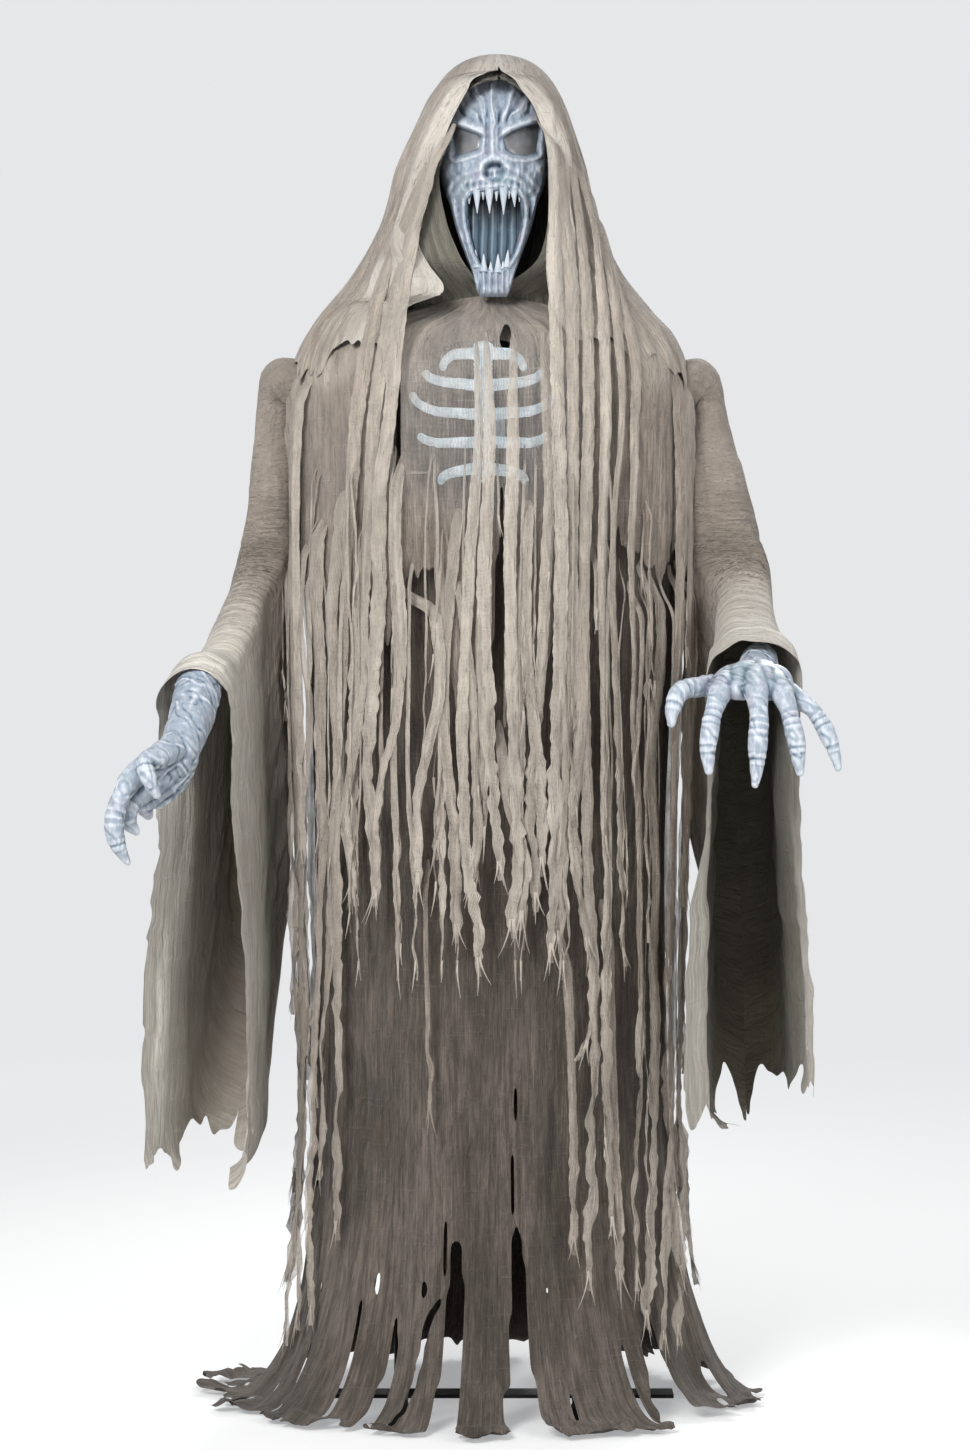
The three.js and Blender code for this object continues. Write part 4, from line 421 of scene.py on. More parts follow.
def new_group(name, inputs, outputs):
    tree = bpy.data.node_groups.new(name, "ShaderNodeTree")
    for label, kind, value in inputs:
        made = tree.interface.new_socket(label, in_out="INPUT", socket_type="NodeSocket" + kind)
        if value is not None:
            made.default_value = value
    for label, kind in outputs:
        tree.interface.new_socket(label, in_out="OUTPUT", socket_type="NodeSocket" + kind)
    return tree, tree.nodes.new("NodeGroupInput"), tree.nodes.new("NodeGroupOutput")


THREAD_SPACING = 0.0016


def weave_group():
    """Loose gauze weave in metres of cloth: thread height, openness between threads, slubs and crinkle"""
    tree, given, result = new_group(
        "weave", [("UV", "Vector", None), ("Spacing", "Float", THREAD_SPACING)],
        [("Thread", "Float"), ("Gap", "Float"), ("Slub", "Float"), ("Crinkle", "Float")])
    s = Shading(tree)
    uv = given.outputs["UV"]
    wander = s.node("TexNoise", {"Vector": uv, "Scale": 60.0, "Detail": 1.0}).outputs["Color"]
    moved = s.node("VectorMath", {0: wander, 1: (0.003, 0.003, 0), 2: uv}, operation="MULTIPLY_ADD")
    parts = s.node("SeparateXYZ", {"Vector": moved.outputs[0]})
    waves = []
    for axis in (0, 1):
        turns = s.math("DIVIDE", parts.outputs[axis], given.outputs["Spacing"])
        wave = s.math("SINE", s.math("MULTIPLY", turns, 2 * math.pi))
        waves.append(s.math("MULTIPLY_ADD", wave, 0.5, 0.5))
    thread = s.math("MAXIMUM", *waves)
    along = s.noise(s.stretch(uv, 260.0, 14.0, 1.0), 1.0, 2.0)
    cross = s.noise(s.stretch(uv, 14.0, 260.0, 1.0), 1.0, 2.0)
    slub = s.math("MAXIMUM", s.span(along, 0.52, 0.72), s.span(cross, 0.56, 0.76))
    gap = s.math("SUBTRACT", 1.0, s.math("MAXIMUM", thread, s.math("MULTIPLY", slub, 0.9)))
    crinkle = s.noise(s.stretch(uv, 90.0, 26.0, 1.0), 1.0, 4.0, 0.62, 0.6)
    s.fill(result, {"Thread": thread, "Gap": gap, "Slub": slub, "Crinkle": crinkle})
    return tree


WEAVE = weave_group()


def new_material(name):
    material = bpy.data.materials.new(name)
    material.use_nodes = True
    tree = material.node_tree
    shader = tree.nodes["Principled BSDF"]
    return material, Shading(tree), shader


def tinted(colour, factor):
    """A colour made darker or lighter, no channel above 1"""
    return tuple(min(1, c * factor) for c in colour)


# Noises of the cloth, blotches, streaks and fibres: cells to the metre across and down, detail, roughness
CLOTH_NOISES = [((9.0, 4.0, 1.0), 5.0, 0.6), ((150.0, 7.0, 1.0), 3.0, 0.6), ((620.0, 22.0, 1.0), 3.0, 0.65)]

# Light of the chest lamp on the gauze over the ribs
LAMP_TINT = (0.80, 0.92, 1.0)


def cloth_material(name, light, dark, open_share=0.0, sheen=0.15, inside=None, wrinkle=1.0, toned=None,
                   thin_alpha=0.0, lit_inside=False, glow=0.0):
    """Crinkled gauze: woven threads, slubs, darker streaks, painted shade in the hollows of the crinkle, and
    open weave where it is thin. Attributes of the cloth say where the tint goes over to toned, where it is
    thin, and where light is painted on it"""
    material, s, shader = new_material(name)
    uv = s.node("UVMap", uv_map="cloth").outputs[0]
    weave = s.node("Group", {"UV": uv, "Spacing": THREAD_SPACING}, node_tree=WEAVE)
    blotch, streak, fibre = (s.noise(s.stretch(uv, *cells), 1.0, detail, roughness)
                             for cells, detail, roughness in CLOTH_NOISES)
    tint = s.mix(s.span(blotch, 0.36, 0.66), dark, light)
    tint = s.mix(s.span(streak, 0.32, 0.62, 0.75, 0.0), tint, tinted(dark, 0.66))
    tint = s.mix(s.span(fibre, 0.34, 0.56, 0.55, 0.0), tint, tinted(dark, 0.60))
    tint = s.mix(s.span(fibre, 0.54, 0.70, 0.0, 0.45), tint, tinted(light, 1.25))
    tint = s.mix(s.math("MULTIPLY", weave.outputs["Slub"], 0.3), tint, tinted(light, 1.18))
    # Painted shade in the hollows of the crinkle, the same pattern as its bump
    tint = s.mix(s.span(weave.outputs["Crinkle"], 0.3, 0.55, 0.45, 0.0), tint, tinted(dark, 0.62))
    if toned is not None:
        tone = s.node("Attribute", attribute_name="tone").outputs["Fac"]
        tint = s.mix(tone, tint, s.mix(s.span(blotch, 0.36, 0.66), tinted(toned, 0.75), toned))
    # Back faces take the darker inside colour, painted shade of the cloth's inside; where the cloth is marked
    # lit they keep the outer tint, painted light through the cloth
    if inside is not None:
        back = s.node("NewGeometry").outputs["Backfacing"]
        hidden = s.mix(s.span(blotch, 0.35, 0.7), tinted(inside, 0.6), inside)
        if lit_inside:
            hidden = s.mix(s.node("Attribute", attribute_name="lit").outputs["Fac"], hidden, tint)
        tint = s.mix(back, tint, hidden)
    s.fill(shader, {"Base Color": tint, "Roughness": 0.92, "Sheen Weight": sheen, "Sheen Roughness": 0.5,
                    "Specular IOR Level": 0.25})
    height = s.math("MULTIPLY_ADD", weave.outputs["Thread"], 0.35, weave.outputs["Slub"])
    height = s.math("MULTIPLY_ADD", fibre, 1.5, height)
    crumple = s.bump(weave.outputs["Crinkle"], min(1.0, 0.8 * wrinkle), 0.009)
    s.put(shader.inputs["Normal"], s.bump(height, 0.7, 0.0011, crumple))
    if glow:
        lit = s.node("Attribute", attribute_name="lit").outputs["Fac"]
        s.fill(shader, {"Emission Color": s.mix(lit, (0.0, 0.0, 0.0), tinted(LAMP_TINT, glow)),
                        "Emission Strength": 1.0})
    if open_share or thin_alpha:
        patchy = s.span(s.noise(s.stretch(uv, 60.0, 22.0, 1.0), 1.0, 3.0), 0.3, 0.75)
        thin = s.node("Attribute", attribute_name="thin").outputs["Fac"]
        share = s.math("MULTIPLY_ADD", thin, thin_alpha, s.math("MULTIPLY", patchy, open_share))
        opened = s.math("MULTIPLY", weave.outputs["Gap"], 1.6, clamp=True)
        s.put(shader.inputs["Alpha"], s.math("SUBTRACT", 1.0, s.math("MULTIPLY", share, opened), clamp=True))
    return material


ROBE = cloth_material("robe_cloth", (0.190, 0.158, 0.132), (0.080, 0.065, 0.054), wrinkle=1.3)
CAPE = cloth_material("cape_gauze", (0.400, 0.335, 0.282), (0.240, 0.197, 0.166), open_share=0.45, sheen=0.2,
                      toned=(0.60, 0.53, 0.455), thin_alpha=0.85, wrinkle=1.2, glow=0.16)
GAUZE = cloth_material("pale_gauze", (0.53, 0.45, 0.378), (0.31, 0.255, 0.212), open_share=0.6, sheen=0.25,
                       toned=(0.66, 0.59, 0.51), thin_alpha=0.75, wrinkle=1.2)
# Hood gauze; its darker inside colour is painted shade
HOOD = cloth_material("hood_gauze", (0.56, 0.49, 0.415), (0.34, 0.288, 0.242), sheen=0.25, wrinkle=1.2,
                      toned=(0.70, 0.65, 0.58), inside=(0.13, 0.122, 0.105))
LINING = cloth_material("dark_lining", (0.215, 0.203, 0.165), (0.14, 0.132, 0.108), wrinkle=0.9)
# Cream sleeve cloth; its darker inside colour is painted shade, and where marked lit the inside takes the
# outer tint as painted light
CREAM = cloth_material("cream_cloth", (0.80, 0.76, 0.68), (0.62, 0.575, 0.505), sheen=0.25, wrinkle=1.2,
                       toned=(0.36, 0.30, 0.25), inside=(0.21, 0.19, 0.142), lit_inside=True)


# Floor and backdrop: near the object the floor takes shadows, and far from it it runs into the backdrop
FLOOR_SIZE = 40
FLOOR_TINT = (0.72, 0.72, 0.71)
FLOOR_GLOW = (0.80, 0.81, 0.83)
BACKDROP = (0.93, 0.94, 0.96)
FADE_FROM, FADE_TO = 0.9, 5.0


def add_floor():
    bpy.ops.mesh.primitive_plane_add(size=FLOOR_SIZE, location=(0, 0, 0))
    floor = bpy.context.object
    floor.name = "floor"
    material, s, shader = new_material("floor")
    place = s.node("TexCoord").outputs["Object"]
    seen = s.node("LightPath").outputs["Is Camera Ray"]
    away = s.span(s.node("VectorMath", {0: place}, operation="LENGTH").outputs["Value"], FADE_FROM, FADE_TO)
    hidden = s.math("MULTIPLY", seen, away)
    s.fill(shader, {"Base Color": s.mix(hidden, FLOOR_TINT, (0.0, 0.0, 0.0)),
                    "Emission Color": s.mix(hidden, FLOOR_GLOW, BACKDROP),
                    "Emission Strength": s.math("MULTIPLY", seen, s.span(away, 0.0, 1.0, 0.42, 0.85)),
                    "Roughness": 0.9, "Specular IOR Level": 0.0})
    floor.data.materials.append(material)


def add_world():
    world = bpy.data.worlds.new("world")
    bpy.context.scene.world = world
    world.use_nodes = True
    s = Shading(world.node_tree)
    background = world.node_tree.nodes["Background"]
    path = s.node("LightPath")
    seen = s.math("MAXIMUM", path.outputs["Is Camera Ray"],
                  s.math("MAXIMUM", path.outputs["Is Glossy Ray"], path.outputs["Is Transmission Ray"]))
    s.put(background.inputs["Color"], BACKDROP)
    s.put(background.inputs["Strength"], s.math("MULTIPLY_ADD", seen, 0.45, 0.4))


add_floor()
add_world()
bpy.context.scene.view_settings.view_transform = "Standard"


# Moulded and hard materials

def wear_group():
    """Handling marks in metres of the object: soft blotches, fine grain and scratches"""
    tree, given, result = new_group(
        "wear", [("Place", "Vector", None)],
        [("Blotch", "Float"), ("Grain", "Float"), ("Scratch", "Float")])
    s = Shading(tree)
    place = given.outputs["Place"]
    blotch = s.noise(place, 22.0, 4.0, 0.6)
    grain = s.noise(place, 900.0, 2.0, 0.6)
    lines = s.noise(s.stretch(place, 900.0, 900.0, 14.0), 1.0, 2.0)
    scratch = s.math("MULTIPLY", s.span(lines, 0.64, 0.70), s.span(s.noise(place, 35.0, 2.0), 0.5, 0.62))
    s.fill(result, {"Blotch": blotch, "Grain": grain, "Scratch": scratch})
    return tree


WEAR = wear_group()


def worn_material(name, light, dark, rough, metallic=0.0, grain=0.0002, scratch=0.15, coat=0.0):
    """Hard surface with soft blotches, grain and a few scratches"""
    material, s, shader = new_material(name)
    wear = s.node("Group", {"Place": s.node("TexCoord").outputs["Object"]}, node_tree=WEAR)
    tint = s.mix(s.span(wear.outputs["Blotch"], 0.36, 0.64), dark, light)
    bare = tuple(min(1, c * 1.8 + 0.05) for c in light)
    tint = s.mix(s.math("MULTIPLY", wear.outputs["Scratch"], scratch), tint, bare)
    uneven = s.span(wear.outputs["Blotch"], 0.3, 0.7, rough * 0.85, min(1, rough * 1.15))
    s.fill(shader, {"Base Color": tint, "Roughness": uneven, "Metallic": metallic, "Coat Weight": coat,
                    "Normal": s.bump(wear.outputs["Grain"], 0.35, grain)})
    return material


# Painted highlight of the moulding on its ridges, and the painted shade in the hollows below them: where each
# starts and ends, and its colour
RIDGE_HIGHLIGHT = (0.62, 0.66, 0.715)
HOLLOW_SHADES = [(0.12, 0.52, (0.31, 0.365, 0.435)), (0.50, 0.86, (0.095, 0.135, 0.185)),
          (0.84, 1.05, (0.030, 0.040, 0.055))]

# Faint patches of violet and green: cells to the metre, strength and colour
PATCHES = [(26.0, 0.25, (0.46, 0.38, 0.46)), (19.0, 0.30, (0.27, 0.38, 0.38))]
SPECKLE_PAINT = (0.18, 0.22, 0.28)

# Mouth: its dark blue paint on the ridges and the painted shade in its grooves, and the painted shadow toward
# its upper end
MOUTH_PAINT_AND_GROOVE_SHADE = ((0.062, 0.108, 0.152), (0.014, 0.024, 0.036))
MOUTH_SHADOW = (0.012, 0.017, 0.024)
MOUTH_SHADOW_LEVELS = (1.560, 1.604)

# Ribs: dark and light of the plastic, and of the light that shines through it
RIB_PLASTIC = ((0.42, 0.50, 0.56), (0.66, 0.73, 0.78))
RIB_LIGHT = ((0.40, 0.50, 0.56), (0.58, 0.68, 0.74))


def moulding_material():
    """Pale painted moulding: a blue-white painted highlight on the ridges, and blue-grey painted shade in the
    hollows
    """
    material, s, shader = new_material("pale_moulding")
    place = s.node("TexCoord").outputs["Object"]
    cavity = s.node("Attribute", attribute_name="cavity").outputs["Fac"]
    blotch = s.noise(place, 38.0, 4.0, 0.6)
    streak = s.noise(s.stretch(place, 420.0, 300.0, 70.0), 1.0, 3.0, 0.6)
    speckle = s.noise(place, 700.0, 2.0, 0.6)
    # Painted highlight on the ridges and painted shade in the hollows, following the cavity mark broken up by
    # random streaks and blotches
    depth = s.math("MULTIPLY_ADD", s.math("SUBTRACT", streak, 0.5), 0.55, cavity)
    depth = s.math("MULTIPLY_ADD", s.math("SUBTRACT", blotch, 0.5), 0.35, depth)
    tint = RIDGE_HIGHLIGHT
    for low, high, hollow_shade in HOLLOW_SHADES:
        tint = s.mix(s.span(depth, low, high), tint, hollow_shade)
    for cells, strength, blush in PATCHES:
        tint = s.mix(s.span(s.noise(place, cells, 2.0), 0.56, 0.70, 0.0, strength), tint, blush)
    tint = s.mix(s.span(speckle, 0.60, 0.72, 0.0, 0.35), tint, SPECKLE_PAINT)
    crinkle = s.bump(s.noise(s.stretch(place, 330.0, 330.0, 160.0), 1.0, 4.0, 0.62, 0.5), 0.5, 0.0012)
    s.fill(shader, {"Base Color": tint, "Roughness": s.span(blotch, 0.3, 0.7, 0.42, 0.58),
                    "Normal": s.bump(speckle, 0.3, 0.0003, crinkle)})
    return material


def throat_material():
    """Dark blue paint of the ridged mouth, with painted shade in its grooves and a painted shadow toward its
    upper end
    """
    material, s, shader = new_material("mouth_paint")
    place = s.node("TexCoord").outputs["Object"]
    cavity = s.node("Attribute", attribute_name="cavity").outputs["Fac"]
    height = s.node("SeparateXYZ", {"Vector": place}).outputs[2]
    # Painted shade in the grooves, and a painted shadow toward the upper end
    tint = s.mix(s.span(cavity, 0.25, 0.9), *MOUTH_PAINT_AND_GROOVE_SHADE)
    tint = s.mix(s.span(height, *MOUTH_SHADOW_LEVELS, 0.0, 0.92), tint, MOUTH_SHADOW)
    tint = s.mix(s.span(s.noise(place, 60.0, 3.0), 0.5, 0.7, 0.0, 0.4), tint, (0.10, 0.15, 0.195))
    s.fill(shader, {"Base Color": tint, "Roughness": 0.45,
                    "Normal": s.bump(s.noise(place, 500.0, 3.0), 0.3, 0.0004)})
    return material


def glow_material():
    """Rib moulding lit from behind by the chest lamp"""
    material, s, shader = new_material("rib_moulding")
    place = s.node("TexCoord").outputs["Object"]
    blotch = s.span(s.noise(place, 60.0, 4.0, 0.6), 0.35, 0.65)
    s.fill(shader, {"Base Color": s.mix(blotch, *RIB_PLASTIC), "Emission Color": s.mix(blotch, *RIB_LIGHT),
                    "Emission Strength": 1.0, "Roughness": 0.5,
                    "Normal": s.bump(s.noise(place, 300.0, 3.0), 0.3, 0.0006)})
    return material


def board_material():
    """Green board with paler tracks"""
    material, s, shader = new_material("circuit_board")
    place = s.node("TexCoord").outputs["Object"]
    cells = s.node("TexVoronoi", {"Vector": s.stretch(place, 260.0, 260.0, 260.0), "Scale": 1.0},
                   distance="CHEBYCHEV").outputs["Distance"]
    tracks = s.span(cells, 0.42, 0.46)
    s.fill(shader, {"Base Color": s.mix(tracks, (0.020, 0.135, 0.040), (0.055, 0.245, 0.080)),
                    "Roughness": 0.4, "Normal": s.bump(tracks, 0.3, 0.0001)})
    return material


MOULDING = moulding_material()
THROAT = throat_material()
RIB_GLOW = glow_material()
LENS = worn_material("grey_lens", (0.215, 0.215, 0.222), (0.125, 0.127, 0.135), 0.22, grain=0.0001, coat=0.4)

# Hard materials of the pieces kept from the CAD: light and dark of the surface, its roughness and the rest
HARD_LOOKS = {
    "black_steel": ((0.016, 0.016, 0.018), (0.010, 0.010, 0.011), 0.42, {"scratch": 0.4}),
    "zinc_steel": ((0.56, 0.57, 0.58), (0.40, 0.41, 0.43), 0.34, {"metallic": 1.0}),
    "white_acetal": ((0.80, 0.79, 0.75), (0.68, 0.67, 0.63), 0.38, {}),
    "brass": ((0.62, 0.44, 0.16), (0.42, 0.28, 0.09), 0.30, {"metallic": 1.0}),
    "black_rubber": ((0.020, 0.020, 0.020), (0.012, 0.012, 0.012), 0.85, {"grain": 0.0005}),
    "black_plastic": ((0.026, 0.026, 0.028), (0.017, 0.017, 0.018), 0.60, {"grain": 0.0004}),
    "red_button": ((0.42, 0.026, 0.018), (0.30, 0.018, 0.012), 0.25, {"coat": 0.5}),
    "lamp_lens": ((0.80, 0.85, 0.92), (0.70, 0.76, 0.84), 0.15, {"coat": 0.5}),
}
SLOT_MATERIALS = {name: worn_material(name, light, dark, rough, **rest)
                  for name, (light, dark, rough, rest) in HARD_LOOKS.items()}
SLOT_MATERIALS["circuit_board"] = board_material()


def finish_nodes():
    """Gives every node of the frame that is still shown the material of its slot"""
    slots = {row["node"]: row["material_slot"] for row in frame["record"]["subparts"]}
    for name, node in frame["nodes"].items():
        material = SLOT_MATERIALS.get(slots.get(name))
        if material is not None:
            node.data.materials.clear()
            node.data.materials.append(material)


# Robe: one tube from the collar to the hem, its hem torn and lying on the floor in tails

ROBE_ROWS = [
    # drop down the cloth, level, half width, half depth, power
    [0.000, 1.497, 0.084, 0.084, 2.0],
    [0.020, 1.478, 0.086, 0.086, 2.0],
    [0.085, 1.458, 0.150, 0.102, 2.0],
    [0.150, 1.438, 0.215, 0.116, 2.1],
    [0.205, 1.405, 0.250, 0.130, 2.3],
    [0.330, 1.285, 0.256, 0.146, 2.4],
    [0.500, 1.115, 0.254, 0.164, 2.3],
    [0.760, 0.860, 0.245, 0.176, 2.1],
    [1.020, 0.600, 0.242, 0.185, 2.0],
    [1.220, 0.400, 0.243, 0.188, 2.0],
    [1.352, 0.270, 0.250, 0.194, 2.0],
    [1.474, 0.150, 0.266, 0.206, 2.0],
    [1.568, 0.060, 0.298, 0.230, 2.0],
    [1.634, 0.010, 0.338, 0.262, 2.0],
    [1.694, 0.006, 0.380, 0.288, 2.0],
    [1.754, 0.006, 0.418, 0.300, 2.0],
]

# Hem: angle in degrees from the front toward +X, and how far down the cloth it reaches
HEM = [
    [-180, 1.630], [-165, 1.600], [-150, 1.640], [-132, 1.610], [-118, 1.690], [-106, 1.745], [-94, 1.700],
    [-82, 1.680], [-70, 1.735], [-60, 1.660], [-50, 1.680], [-42, 1.660], [-36, 1.650], [-31, 1.620],
    [-29, 1.500], [-27, 1.690], [-22, 1.700], [-18, 1.690], [-15, 1.650], [-12.5, 1.380], [-9.5, 1.360],
    [-7.5, 1.690], [-4.5, 1.760], [-1, 1.755], [2, 1.735], [4.5, 1.600], [6, 1.370], [9, 1.360], [12, 1.660],
    [18, 1.710], [28, 1.700], [38, 1.690], [44, 1.520], [49, 1.500], [54, 1.640], [66, 1.660], [78, 1.700],
    [88, 1.660], [100, 1.610], [116, 1.640], [130, 1.590], [146, 1.630], [162, 1.600], [180, 1.630],
]


# Folds: how many cells round the robe, the length of a fold, its height and how sharp its ridges are
ROBE_FOLDS = [(26, 0.9, 0.010, 0.3), (48, 0.32, 0.0055, 0.5), (90, 0.12, 0.0028, 0.6)]

# Torn edges: how many cells round the robe, how far a tear reaches, and the seed of its noise
ROBE_FRAYS = [(70, 0.022, 0.3, 21), (130, 0.024, 0.7, 22), (330, 0.014, 0.7, 23)]

# Hole behind the ribs: middle and half size, and the power of its rounded square
CHEST_HOLE = (-0.012, 1.315, 0.115, 2.4)
SLITS_FROM = 1.25
TEAR_LENGTH = 0.22


def robe_surface(angle, drop, seed=11):
    """Points of the robe with its folds, at angles and at drops down the cloth"""
    points, out, across = oval_tube(angle, drop, ROBE_ROWS)
    big = smooth((drop - 0.12) / 0.4)
    low = smooth((drop - 1.1) / 0.5)
    height = folds(across, drop, seed, ROBE_FOLDS)
    height = height * (0.25 + 0.75 * big) + low * 0.016 * noise(across * 18, drop / 0.5, seed + 9, 18)
    height = height - 0.006 * big
    rumple = np.abs(noise(across * 60, drop / 0.035, seed + 12, 60)) * 0.016 * smooth((drop - 1.60) / 0.04)
    points[..., 2] += rumple
    return points + out * height[..., None], across


def frayed(edge, across, frays):
    """How far down a cloth its torn edge reaches, with a fray of several sizes"""
    for cells, reach, row, seed in frays:
        edge = edge + reach * noise(across * cells, row, seed, cells)
    return edge


def make_robe():
    rows, columns = 230, 330
    drop = np.concatenate([np.linspace(0, 0.21, 18)[:-1], np.linspace(0.21, 1.76, rows - 17)])
    a, d = unrolled(drop, columns)
    points, across = robe_surface(a, d)
    hem = frayed(through(HEM, np.degrees(a))[..., 0], across, ROBE_FRAYS)
    slits = (noise(across * 90, d / 0.16, 31, 90) > 0.90) & (d > SLITS_FROM)
    tears = (np.abs(noise(across * 22, d / 0.7, 33, 22)) < 0.035) & (d > hem - TEAR_LENGTH)
    middle_x, middle_z, half, power = CHEST_HOLE
    x, y, z = points[..., 0], points[..., 1], points[..., 2]
    off = np.abs((x - middle_x) / half) ** power + np.abs((z - middle_z) / half) ** power
    chest = (off < 1) & (y < 0)
    robe = cloth("robe", [patch(points, True, hanging((d < hem) & ~slits & ~tears & ~chest))])
    robe.data.materials.append(ROBE)
    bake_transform(robe)
    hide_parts("skirt_front_panel", "skirt_right_panel", "skirt_back_panel", "skirt_left_panel",
                "robe_top")


# Cape: an open-weave poncho with a gathered neck, dark slits and a torn edge

CAPE_ROWS = [
    # drop, level, half width, half depth, power
    [0.000, 1.490, 0.088, 0.090, 2.0],
    [0.012, 1.482, 0.104, 0.100, 2.0],
    [0.080, 1.462, 0.180, 0.118, 2.1],
    [0.140, 1.440, 0.238, 0.134, 2.4],
    [0.185, 1.405, 0.262, 0.152, 2.5],
    [0.260, 1.330, 0.266, 0.166, 2.5],
    [0.440, 1.150, 0.266, 0.190, 2.4],
    [0.560, 1.030, 0.264, 0.198, 2.3],
    [0.700, 0.890, 0.262, 0.200, 2.2],
]

# Torn edge: angle in degrees from the front toward +X, and how far down the cloth it reaches
TEAR = [
    [-180, 0.560], [-165, 0.500], [-150, 0.600], [-138, 0.520], [-122, 0.580], [-105, 0.480], [-88, 0.440],
    [-70, 0.470], [-56, 0.520], [-44, 0.580], [-33, 0.620], [-26, 0.540], [-23, 0.495], [-13, 0.480],
    [-10, 0.600], [-4, 0.660], [0, 0.580], [3, 0.660], [9, 0.620], [14, 0.560], [18, 0.410], [28, 0.425],
    [38, 0.440], [49, 0.475], [60, 0.440], [74, 0.420], [90, 0.440], [106, 0.500], [122, 0.560], [138, 0.480],
    [154, 0.600], [168, 0.520], [180, 0.560],
]

CAPE_FOLDS = [(28, 0.9, 0.0075, 0.45), (70, 0.45, 0.0050, 0.7), (150, 0.2, 0.0018, 0.6)]
CAPE_FRAYS = [(60, 0.018, 0.3, 71), (150, 0.022, 0.7, 72), (400, 0.020, 0.7, 73)]

# Slits: image column at the top and the bottom, rows they run between, and their half width in metres
CAPE_SLITS = [(397, 391, 345, 900, 0.0055), (500, 498, 480, 720, 0.0060), (505, 503, 318, 346, 0.0070),
              (556, 556, 560, 900, 0.0040), (606, 610, 570, 900, 0.0050)]
SLIT_DEPTH = -0.18

# Place and half size of the rib cage that shines through the gauze
RIB_CAGE = ((-0.008, 1.318), (0.095, 0.10))


CAPE_LIFT = 0.002


def cape_surface(angle, drop, seed=61):
    """Points of the cape with its folds, at angles and at drops down the cloth"""
    points, out, across = oval_tube(angle, drop, CAPE_ROWS)
    front = np.abs(np.cos(angle)) ** 1.2
    height = folds(across, drop, seed, CAPE_FOLDS)
    reach = smooth(drop / 0.06) * (0.35 + 0.65 * front)
    return points + out * (height * reach + CAPE_LIFT)[..., None], across


def make_cape():
    a, d = unrolled(np.linspace(0, CAPE_ROWS[-1][0], 112), 540)
    points, across = cape_surface(a, d)
    edge = frayed(through(TEAR, np.degrees(a))[..., 0], across, CAPE_FRAYS)
    kept = d < edge
    x, y, z = points[..., 0], points[..., 1], points[..., 2]
    for top_px, end_px, top_py, end_py, half in CAPE_SLITS:
        top, end = z_at(top_py, SLIT_DEPTH), z_at(end_py, SLIT_DEPTH)
        share = (top - z) / (top - end)
        middle = x_at(top_px + (end_px - top_px) * share, SLIT_DEPTH)
        wide = half * np.sqrt(np.clip(4 * share * (1 - share), 0, 1))
        kept &= ~((y < 0) & (np.abs(x - middle) < wide))
    holes = (noise(across * 110, d / 0.09, 81, 110) > 0.90) & (d > edge - 0.08) & (d > 0.3)
    (rib_x, rib_z), (rib_wide, rib_high) = RIB_CAGE
    ribs = smooth(1.9 - 1.1 * np.hypot((x - rib_x) / rib_wide, (z - rib_z) / rib_high)) * (y < 0)
    worn = smooth((d - edge + 0.10) / 0.10) * 0.5
    pale = smooth(0.5 + (z - 1.36) / 0.06) * 0.35
    marks = {"tone": pale + 0.25 * smooth(noise(across * 12, d / 0.3, 85, 12)),
             "thin": np.maximum(ribs, worn), "lit": 0.75 * ribs}
    cape = cloth("cape", [patch(points, True, hanging(kept & ~holes), marks)])
    cape.data.materials.append(CAPE)
    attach(cape, "torso")
    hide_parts("gauze_poncho")


# Strands of torn gauze that lie on the hood, the cape and the robe

OUTER_ROWS = [
    # level with its sign turned, half width, half depth, power
    [-1.800, 0.070, 0.120, 2.0],
    [-1.733, 0.108, 0.168, 2.0],
    [-1.678, 0.128, 0.175, 2.0],
    [-1.594, 0.151, 0.174, 2.0],
    [-1.529, 0.184, 0.172, 2.1],
    [-1.478, 0.226, 0.170, 2.3],
    [-1.440, 0.252, 0.166, 2.4],
    [-1.405, 0.264, 0.168, 2.5],
    [-1.330, 0.270, 0.178, 2.5],
    [-1.150, 0.272, 0.200, 2.4],
    [-1.000, 0.270, 0.207, 2.3],
    [-0.860, 0.266, 0.208, 2.2],
    [-0.600, 0.260, 0.207, 2.1],
    [-0.400, 0.258, 0.208, 2.1],
    [-0.270, 0.264, 0.212, 2.0],
    [-0.150, 0.280, 0.222, 2.0],
    [-0.060, 0.312, 0.244, 2.0],
    [-0.010, 0.348, 0.272, 2.0],
]

# Depth near which the strands in front are laid out
STRAND_DEPTH = -0.18

